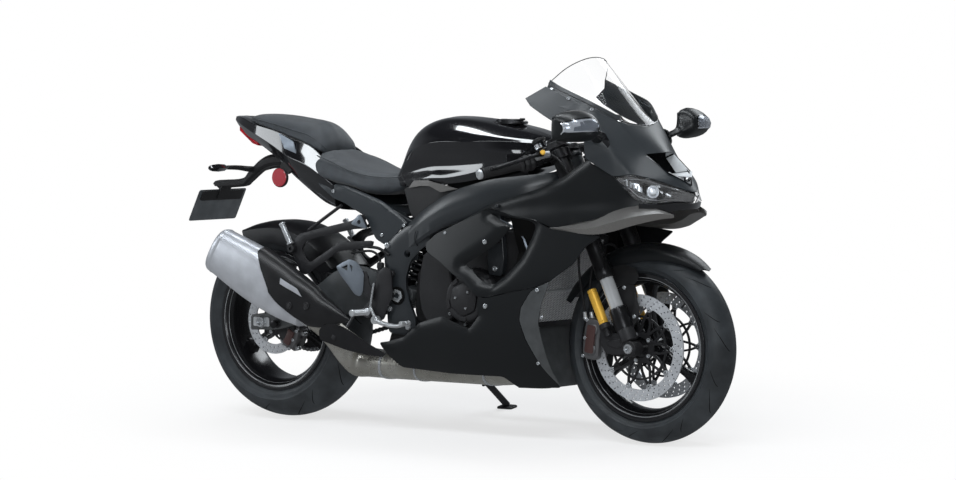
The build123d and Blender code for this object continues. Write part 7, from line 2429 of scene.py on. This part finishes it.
def rear_axle():
    """The axle with its blocks and adjuster screws, and the paddock stand's bobbins."""
    block = prism(rounded_box(-34, REAR_Z - 15, 34, REAR_Z + 15, 5), -151, -147.5)
    bobbin = lathe([(6, 0), (12, 1), (14, 4), (9, 8), (8, 16), (9, 18), (14, 22), (14, 26),
                    (11, 28), (4, 28), (0.1, 28)], (70, -148, 318), (70, -176, 318), 32)
    adjuster = [rod((-46, -135, 318), (-64, -135, 317), 5, 1),
                hex_nut((-52, -135, 318), (-1, 0, 0), 14, 6)]
    piece("axle_blocks", both(join(block, *adjuster)), "aluminium", "chassis", "bare_aluminium", (),
          36, bevel=0.8)
    piece("stand_bobbins", both(bobbin), "anodised_black", "chassis", "cast_black", (), 36)
    rod_part = ring((0, -160, REAR_Z), (0, 160, REAR_Z), REAR_AXLE_R, REAR_AXLE_BORE_R, 1, 40)
    nuts = [lathe([(20, 0), (20, 6), (18, 8.5), (REAR_AXLE_R, 8.5), (REAR_AXLE_R, 0)],
                  (0, s * 151.4, REAR_Z), (0, s * 160, REAR_Z), 6, closed=True) for s in (-1, 1)]
    piece("rear_axle", join(rod_part, *nuts), "steel", "chassis", "steel", "rear_axle", 36)


def shock_absorber():
    top, low = Vector((588, 0, 606)), Vector((500, 0, 446))
    way = (top - low).normalized()
    damper = rod(low, low + way * 96, 13, 2, 32)
    shaft = rod(low + way * 90, top, 8, 1, 24)
    collars = [lathe([(16, 0), (34, 2), (34, 7), (16, 9)], low + way * d, low + way * (d + 9), 40)
               for d in (20, 148)]
    spring = coil(low + way * 30, low + way * 146, 28, 5.0, 6.5, 10)
    piece("shock_absorber", join(damper, shaft, *collars), "anodised_black", "chassis",
          "cast_black", "shock_absorber", 36)
    piece("shock_spring", spring, "dark_steel", "chassis", "steel")


CHAIN_PITCH, LINK_R = 15.875, 7.0


def chain_path():
    """Centre line of the chain: (x, z) points, evenly one pitch apart."""
    span, lift = math.hypot(DRIVE_X, DRIVE_Z - REAR_Z), math.atan2(DRIVE_Z - REAR_Z, DRIVE_X)
    lean = math.asin((SPROCKET_R - DRIVE_R) / span)
    top, low = lift + math.pi / 2 - lean, lift - math.pi / 2 + lean
    fine = []
    for x, z, r, first, last, count in ((DRIVE_X, DRIVE_Z, DRIVE_R + 4, low, top, 60),
                                        (0.0, REAR_Z, SPROCKET_R + 4, top, low + 2 * math.pi, 140)):
        fine += [(x + r * math.cos(a), z + r * math.sin(a))
                 for a in np.linspace(first, last, count)]
    fine = np.array([*fine, fine[0]])
    runs = np.concatenate([[0], np.cumsum(np.hypot(*np.diff(fine, axis=0).T))])
    count = int(round(runs[-1] / CHAIN_PITCH / 2)) * 2
    marks = np.linspace(0, runs[-1], count, endpoint=False)
    return [tuple(float(np.interp(m, runs, fine[:, k])) for k in (0, 1)) for m in marks]


def drive_chain():
    path = chain_path()
    plates, pins = [], []
    for k, (x0, z0) in enumerate(path):
        x1, z1 = path[(k + 1) % len(path)]
        a = math.atan2(z1 - z0, x1 - x0)
        c, s = math.cos(a), math.sin(a)
        long = math.hypot(x1 - x0, z1 - z0)
        line = []
        for end, turn, waist in ((0.0, math.pi / 2, -5.2), (long, -math.pi / 2, 5.2)):
            turns = [turn + math.pi * j / 8 for j in range(9)]
            line += [(end + LINK_R * math.cos(t), LINK_R * math.sin(t)) for t in turns]
            line.append((long / 2, waist))
        world = [(x0 + u * c - v * s, z0 + u * s + v * c) for u, v in line]
        near, far = ((4.8, 6.4), (6.6, 8.2))[k % 2]
        for side in (-1, 1):
            low, high = sorted((SPROCKET_Y + side * near, SPROCKET_Y + side * far))
            plates.append(prism(world, low, high))
        for profile, half, count in (([(3.0, 0), (3.0, 16.6), (2.2, 17.2), (0.1, 17.2)], 8.6, 8),
                                     ([(5.0, 0), (5.0, 9.0)], 4.5, 10)):
            pins.append(lathe(profile, (x0, SPROCKET_Y - half, z0),
                              (x0, SPROCKET_Y + half, z0), count))
    piece("chain", join(*plates), "dark_steel", "chassis", "steel", "chain", 40)
    piece("chain_pins", join(*pins), "steel", "chassis", "steel", (), 40)


def rear_brake():
    caliper((91.8, 273.0), -86, -1, 208, 76, "chassis", "rear_caliper", "rear_caliper", 50)
    bracket = prism(rounded([(44, 290), (60, 262), (88, 258), (118, 300), (112, 332), (70, 336)], 8,
                            3), -122, -112)
    piece("rear_caliper_bracket", bracket, "cast_black", "chassis", "cast_black", (), 36, bevel=1.5)


SUBFRAME = [(600, -96, 640, 60, 26), (470, -110, 705, 56, 24), (330, -104, 760, 50, 24),
            (180, -80, 835, 44, 22), (20, -52, 905, 34, 20)]


def subframe():
    rail = girder([(x, y, z, h * 0.86, t) for x, y, z, h, t in SUBFRAME], groove=1.0)
    bars = [prism(rounded_box(x - 12, z - 12, x + 12, z + 12, 5), -112, 112)
            for x, z in ((470, 705), (200, 822))]
    tray = prism(rounded([(560, 690), (470, 716), (300, 776), (296, 768), (466, 706), (556, 680)],
                         3, 2), -90, 90)
    piece("subframe", join(both(rail), *bars, tray), "frame_paint", "chassis", "frame_black",
          "subframe", 34, bevel=1.5)


def hugger():
    section = [(REAR_R - 66, 104), (REAR_R - 38, 103.5), (REAR_R - 14, 101.5), (REAR_R - 4, 92),
               (REAR_R + 7, 62), (REAR_R + 10.5, 30), (REAR_R + 11, 0)]
    rows, count = [], 34
    for k in range(count + 1):
        t = k / count
        angle = 35 + 85 * t
        lift = 34 * max(0.0, (t - 0.7) / 0.3) ** 1.6 + 20 * max(0.0, (0.16 - t) / 0.16) ** 2
        half = [(r + lift * (REAR_R + 11 - r) / 77, y) for r, y in section]
        full = half + [(r, -y) for r, y in half[-2::-1]]
        tip = 7.0 * (t ** 6)
        rows.append([circle_points(REAR_AXLE, r, angle - tip * (abs(y) / 104), y) for r, y in full])
    arch = thicken(bands(rows, wrap=False), 3.0, (0, 0, REAR_Z))
    tab = prism(rounded([(236, 404), (262, 404), (262, 492), (236, 488)], 5, 3), -130, -118)
    foot = prism(rounded([(236, 474), (262, 474), (262, 490), (236, 490)], 5, 3), -128, -102)
    piece("rear_hugger", join(arch, both(join(tab, foot))), "smooth_plastic", "chassis",
          "gloss_black", "rear_hugger", 38, bevel=0.8)


# ---------------------------------------------------------------- stand, rests and pedals
def stand():
    base = STAND_BASE
    foot = Vector((690, 278, 278 * math.tan(PARK_LEAN)))
    end = foot + Vector((0, 0, 9))
    leg = pipe([base, base + (end - base) * 0.35 + Vector((3, 0, 2)),
                base + (end - base) * 0.7 + Vector((2, 0, 1)), end], [12.5, 12, 11, 11], 20, 6)
    eye = ring(base - STAND_AXIS * 14, base + STAND_AXIS * 14, 22, 8.1, 1.5, 36)
    outline = rounded([(-30, -22), (30, -20), (30, 20), (-30, 22)], 10, 4)
    sole = bands([[(x, y, z) for x, y in line] for z, line in
                  ((0.3, inset(outline, 1.2)), (2, outline), (6, outline), (8, inset(outline, 3)))])
    sole = placed(sole, Matrix.Rotation(PARK_LEAN, 3, "X"), foot)
    knee, pin_at = base + (end - base) * 0.55, base + (end - base) * 0.3
    tang = rod(knee, knee + Vector((-26, 10, -6)), 5, 1.5)
    piece("side_stand", join(leg, eye, sole, tang), "cast_black", "side_stand", "cast_black",
          "side_stand", 38, bevel=0.8)
    pin = rod(pin_at + Vector((-10, 0, 0)), pin_at + Vector((-26, 0, 0)), 4, 1)
    piece("stand_peg", pin, "steel", "side_stand", "steel")


# outline in the side view, (x, z)
REAR_HANGER = [(454, 642), (428, 690), (392, 666), (254, 636), (176, 618), (140, 594), (132, 566),
               (160, 516), (174, 486), (198, 484), (332, 564), (470, 582), (476, 604), (340, 596),
               (214, 524), (190, 540), (178, 566), (196, 594), (256, 610), (396, 638)]


def peg(start, end, radius, tip):
    """A footrest: a knurled bar with a collar at its root and a raised tip."""
    long = (Vector(end) - Vector(start)).length
    prof, h = [(radius * 0.8, 0), (radius * 1.25, 1), (radius * 1.25, 7), (radius * 0.9, 9)], 11.0
    while h < long - 12:
        prof += [(radius * 0.88, h), (radius, h + 1.2), (radius, h + 3.2), (radius * 0.88, h + 4.4)]
        h += 5.6
    prof += [(radius * 0.9, long - 8), (radius * tip, long - 6), (radius * tip, long - 1.5),
             (radius * tip * 0.8, long), (0.1, long)]
    return lathe(prof, start, end, 20)


def front_hangers():
    """Hanger plates of the front footrests with the heel guards."""
    hanger = rounded([(560, 512), (566, 424), (548, 398), (526, 350), (492, 346), (452, 360),
                      (446, 388), (474, 412), (494, 462), (508, 506), (534, 524)], 9, 3)
    plate = plate_with_holes(hanger, [], -175, -164, 10, 3.0)
    mount = [rod((552, -152.5, z), (552, -164.5, z), 11, 1) for z in (430, 500)]
    piece("footrest_hangers", both(join(plate, *mount)), "cast_black", "chassis", "cast_black",
          "footrest_hangers", 36, bevel=1.2)
    guard = rounded([(346, 517), (372, 531), (402, 543), (432, 536), (462, 498), (458, 444),
                     (446, 424), (424, 430), (398, 458), (366, 490)], 8, 3)
    cuts = [rounded([(371, 516), (396, 527), (396, 505)], 3, 2),
            rounded([(404, 527), (418, 521), (414, 502)], 3, 2)]
    heel = plate_with_holes(guard, cuts, -190, -185, 9, 2.5)
    stand_offs = [rod((x, -175, z), (x, -185.5, z), 8, 1) for x, z in ((474, 430), (466, 486))]
    bracket = prism(rounded([(440, 452), (488, 412), (500, 424), (480, 470), (470, 505),
                             (452, 508)], 6, 3), -185, -181)
    piece("heel_guards", both(heel), "guard_grey", "chassis", "bare_aluminium", (), 36, bevel=1.0)
    piece("heel_guard_mounts", both(join(*stand_offs, bracket)), "cast_black", "chassis",
          "bare_aluminium", (), 36, bevel=1.0)


def rear_hangers():
    rear = rounded(REAR_HANGER, 9, 3)
    back = plate_with_holes(rear, [], -161, -149, 9, 3.0)
    clevis = ring((146, -149, 568), (146, -178, 568), 14, 5, 2, 28)
    spigot = rod((424, -150, 668), (424, -104, 704), 10, 1)
    strut = pipe([(344, -154, 714), (206, -154, 630)], 5.5, 14, 2)
    piece("rear_hangers", both(join(back, spigot, clevis, strut)), "cast_black", "chassis",
          "cast_black", (), 36, bevel=1.2)
    foot = rounded([(456, 640), (426, 690), (388, 655)], 9, 4)
    lug = plate_with_holes(foot, [circle(424, 662, 7)], -166, -160.5, 7, 1.5)
    piece("rear_hanger_lugs", both(lug), "guard_grey", "chassis", "bare_aluminium", (), 36,
          bevel=0.8)


def footrests():
    front_pegs = peg((470, -176, 376), (470, -262, 376), 10, 1.12)
    rear_pegs = peg((139, -165, 581), (100, -165, 650), 9.5, 1.1)
    piece("footrests", both(join(front_pegs, rear_pegs)), "aluminium", "chassis", "bare_aluminium",
          "footrests", 34)
    clevis = [ring((470, -166, 376), (470, -182, 376), 19, 6, 2, 32)]
    feeler = rod((470, -250, 368), (446, -256, 330), 4.5, 1)
    piece("peg_clevises", both(join(*clevis, feeler)), "dark_steel", "chassis", "steel", (), 38)


def pedals():
    """Foot levers with knurled toe pegs, their links and the rear brake's master cylinder."""
    lever = pipe([(510, -190, 352), (545, -193, 342), (600, -196, 337), (650, -199, 348)],
                 [8.5, 7.5, 6.5, 6], 14, 6)
    hub = ring((510, -177, 352), (510, -198, 352), 13, 5, 1.2, 28)
    toe = lathe([(6, 0), (8.5, 1.5), (8.5, 8), (7.4, 9), (7.4, 14), (8.5, 15), (8.5, 22), (7.4, 23),
                 (7.4, 28), (8.5, 29), (8.5, 44), (6, 47), (0.1, 47)], (650, -193, 348),
                (650, -240, 348), 20)
    arm = rod((510, -186, 352), (486, -186, 392), 5, 1.2)
    piece("foot_pedals", both(join(lever, hub, toe, arm)), "aluminium", "chassis", "bare_aluminium",
          "foot_pedals", 40)
    link = rod((486, -186, 392), (500, -184, 470), 3.5, 1)
    piece("pedal_links", both(link), "steel", "chassis", "steel")
    master = lathe([(8, 0), (10, 2), (10, 46), (12, 48), (12, 62), (9, 65), (0.1, 65)],
                   (502, -158, 470), (508, -158, 535), 24)
    piece("rear_master", master, "cast_black", "chassis", "cast_black", (), 38)


# ---------------------------------------------------------------- tail lamp, plate and small lamps
def tail_lamp():
    rows = [[(x, y, z + dz) for y, dz in ((-w, h), (-w * 0.6, h + 1.5), (0, h + 2),
                                          (w * 0.6, h + 1.5), (w, h), (w, -h), (w * 0.6, -h - 1.5),
                                          (0, -h - 2), (-w * 0.6, -h - 1.5), (-w, -h))]
            for x, z, w, h in ((-199, 958, 22, 5), (-192, 953, 32, 8), (-160, 936, 38, 11),
                               (-128, 916, 42, 12), (-104, 904, 42, 7))]
    piece("tail_light", bands(rows), "red_lens", "chassis", "red_lens", "tail_light", 36, bevel=1.5)
    dark = [[(x + 4, y * 0.9, (z - 932) * 0.8 + 932) for x, y, z in row] for row in rows[1:]]
    piece("tail_light_bowl", bands(dark), "lamp_silver", "chassis", "lamp_lens", (), 36)


def plate_parts():
    arm = [(44, 0, 850, 34, 52), (-60, 0, 850, 38, 48), (-116, 0, 832, 38, 42),
           (-170, 0, 792, 34, 40), (-200, 0, 772, 27, 40), (-298, 0, 764, 28, 56)]
    rows = []
    for x, y, z, high, wide in smooth_table(arm, 5):
        h, w = high / 2, wide / 2
        rows.append([(x, -w, z - h * 0.5), (x, -w * 0.7, z - h), (x, w * 0.7, z - h),
                     (x, w, z - h * 0.5), (x, w, z + h * 0.4), (x, w * 0.6, z + h),
                     (x, -w * 0.6, z + h), (x, -w, z + h * 0.4)])
    turn = Matrix.Rotation(math.radians(26), 3, "Y")

    def on_plate(shape, ahead=0.0, up=0.0):
        """Shapes drawn round the middle of the number plate, on the plate's slope."""
        points = [Vector(p) + Vector((ahead, 0, up)) for p in shape[0]]
        return placed((points, shape[1]), turn, (-318, 0, 695))

    def slab(half_y, half_z, x0, x1, corner):
        flat, faces = flat_mesh(rounded_box(-half_y, -half_z, half_y, half_z, corner, 4), (), 14)
        n = len(flat)
        return [(x0, a, b) for a, b in flat] + [(x1, a, b) for a, b in flat], \
            faces + [tuple(i + n for i in reversed(f)) for f in faces] + rim_faces(faces, n)

    back = on_plate(slab(104, 18, -2.5, 2.5, 7), 4, 38)
    hanger_neck = on_plate(slab(26, 28, -5, 5, 5), 6, 54)
    stalk = pipe([(-150, -146, 826), (-150, -90, 824), (-150, 0, 816), (-150, 90, 824),
                  (-150, 146, 826)], [7, 8, 11, 8, 7], 14, 6)
    piece("plate_hanger", join(bands(rows), back, hanger_neck, stalk), "black_plastic", "chassis",
          "matte_black", "plate_hanger", 38, bevel=1.0)
    sheet = on_plate(slab(120, 58, -1.0, 1.0, 9))
    piece("number_plate", sheet, "plate_dark", "chassis", "plate_grey", "number_plate", 38,
          bevel=0.5)
    screws = [on_plate(bolt((-2.4, y, 42), (-1, 0, 0), 6, 3)) for y in (-70, 70)]
    piece("plate_screws", join(*screws), "steel", "chassis", "steel", (), 38)
    lamp = on_plate(prism(rounded([(-30, 62), (6, 66), (8, 82), (-10, 88), (-26, 76)], 5, 3),
                          -26, 26))
    piece("plate_lamp", lamp, "black_plastic", "chassis", "matte_black", (), 38, bevel=1.5)
    glass = on_plate(prism(rounded([(-27, 58), (-10, 60), (-10, 65), (-27, 64)], 2, 2), -20, 20))
    piece("plate_lamp_lens", glass, "lens", "chassis", "lamp_lens", (), 38)


def indicators():
    """Rear turn signals: a dark shell behind each smoked lens."""
    shell, lens = [], []
    for y, back_x, front_x, high in ((-150, -138, -166, 7), (-160, -133, -172, 11),
                                     (-190, -132, -174, 13), (-220, -136, -168, 11),
                                     (-231, -144, -158, 6)):
        mid = (back_x + front_x) / 2
        shell.append([(back_x, y, 826), (mid + 3, y, 826 + high), (mid, y, 826 + high * 0.95),
                      (mid, y, 826 - high * 0.95), (mid + 3, y, 826 - high)])
        lens.append([(mid - 0.5, y, 826 - high * 0.9), (mid - 0.5, y, 826 + high * 0.9),
                     ((mid + front_x) / 2, y, 826 + high * 0.8), (front_x, y, 826 + high * 0.3),
                     (front_x, y, 826 - high * 0.3), ((mid + front_x) / 2, y, 826 - high * 0.8)])
    piece("rear_indicators", both(bands(lens)), "smoked_lens", "chassis", "amber_lens",
          "rear_indicators", 40, bevel=0.8)
    piece("rear_indicator_shells", both(bands(shell)), "gloss_black", "chassis", "gloss_black", (),
          40, bevel=0.8)


def instrument():
    def slab(half_y, half_z, x0, x1, corner):
        line = rounded_box(-half_y, -half_z, half_y, half_z, corner, 4)
        layers = ((x0, inset(line, 2)), (x0 + (x1 - x0) * 0.3, line), (x0 + (x1 - x0) * 0.7, line),
                  (x1, inset(line, 3)))
        shape = bands([[(x, a, b) for a, b in outline] for x, outline in layers])
        return placed(shape, Matrix.Rotation(math.radians(-35), 3, "Y"), (1292, 0, 972))

    piece("instrument_case", slab(80, 44, 12, -7, 14), "black_plastic", "chassis", "matte_black",
          "instrument", 38, bevel=1)
    piece("instrument_glass", slab(72, 37, -6, -12, 9), "dash_glass", "chassis", "gloss_black",
          (), 38)
    stay = both(pipe([(1300, -40, 870), (1300, -46, 920), (1292, -50, 970)], 7, 12, 5))
    piece("instrument_stay", stay, "black_plastic", "chassis", "matte_black")


def under_tank():
    """Dark covers between the tank, the spars and the seat, with a lighter plate on each."""
    outline = rounded([(560, 772), (604, 784), (664, 796), (760, 770), (806, 782), (866, 792),
                       (932, 808), (990, 824), (1040, 838), (1052, 800), (1040, 770), (930, 742),
                       (800, 702), (690, 652), (640, 640), (590, 690)], 8, 3)
    flat, faces = flat_mesh(outline, step=16)
    cover = [(x, -104 - 18 * max(0.0, min(1.0, (x - 560) / 160)) + 34 * max(0.0, (x - 960) / 90),
              z) for x, z in flat]
    piece("under_tank_covers", both(thicken((cover, faces), 3, (800, 0, 740))), "smooth_plastic",
          "chassis", "matte_black", (), 38, bevel=0.6)
    badge = rounded([(586, 774), (612, 799), (672, 801), (796, 776), (727, 764), (682, 783),
                     (640, 782)], 4, 3)
    flat, faces = flat_mesh(badge, step=10)
    plate = [(x, -110 - 20 * max(0.0, min(1.0, (x - 560) / 120)), z) for x, z in flat]
    piece("under_tank_plates", both(thicken((plate, faces), 4, (700, 0, 770))), "graphite",
          "chassis", "frame_black", (), 38, bevel=0.8)


def reflectors():
    """A round red reflector under each side of the tail, in its dark holder."""
    x, z = 46, 796
    holder = lathe([(31, 0), (32.5, 2), (32.5, 9), (30.5, 11), (0.1, 11)], (x, -101, z),
                   (x, -102, z), 56)
    tab = prism(rounded([(x - 8, z + 18), (x + 34, z + 10), (x + 62, z + 34), (x + 40, z + 62),
                         (x + 4, z + 48)], 8, 3), -108, -98)
    piece("reflector_holders", both(join(holder, tab)), "black_plastic", "chassis", "matte_black",
          (), 38, bevel=0.8)
    face = lathe([(30, 0), (30, 2), (28.5, 3.4), (0.1, 3.8)], (x, -111, z), (x, -112, z), 56)
    piece("reflectors", both(face), "reflector_red", "chassis", "red_lens", (), 38)


def inner_covers():
    """Dark closing pieces behind the pivot plates, as an airbox, linkage and gearbox would be."""
    link = rounded([(500, 262), (520, 322), (552, 346), (642, 352), (704, 340), (704, 222),
                    (560, 236)], 8, 3)
    rear = rounded([(612, 380), (622, 500), (668, 560), (700, 556), (700, 320), (630, 330)], 8, 3)
    body = join(prism(link, -112, -106), prism(rear, -112, -60))
    piece("inner_covers", body, "black_plastic", "chassis", "matte_black", (), 38, bevel=1.0)
    pipes = [pipe([(540, -156, 560), (500, -160, 580), (450, -158, 584), (400, -150, 592),
                   (360, -140, 610)], 5, 12, 6), pipe([(506, -158, 536), (500, -160, 556),
                                                       (470, -160, 570), (420, -156, 566),
                                                       (380, -146, 560)], 4, 12, 6)]
    piece("brake_lines", join(*pipes), "hose_rubber", "chassis", "hose_rubber")


silencer()
heat_shield()
pipe_shield()
exhaust_pipes()
chassis_frame()
stand_bracket()
arm_pivot()
frame_mounts()
engine_block()
drive_sprocket()
clutch_cover()
engine_side_covers()
water_hose()
radiator()
chin()
swingarm()
rear_axle()
shock_absorber()
drive_chain()
rear_brake()
subframe()
hugger()
stand()
front_hangers()
rear_hangers()
footrests()
pedals()
tail_lamp()
plate_parts()
indicators()
instrument()
under_tank()
reflectors()
inner_covers()
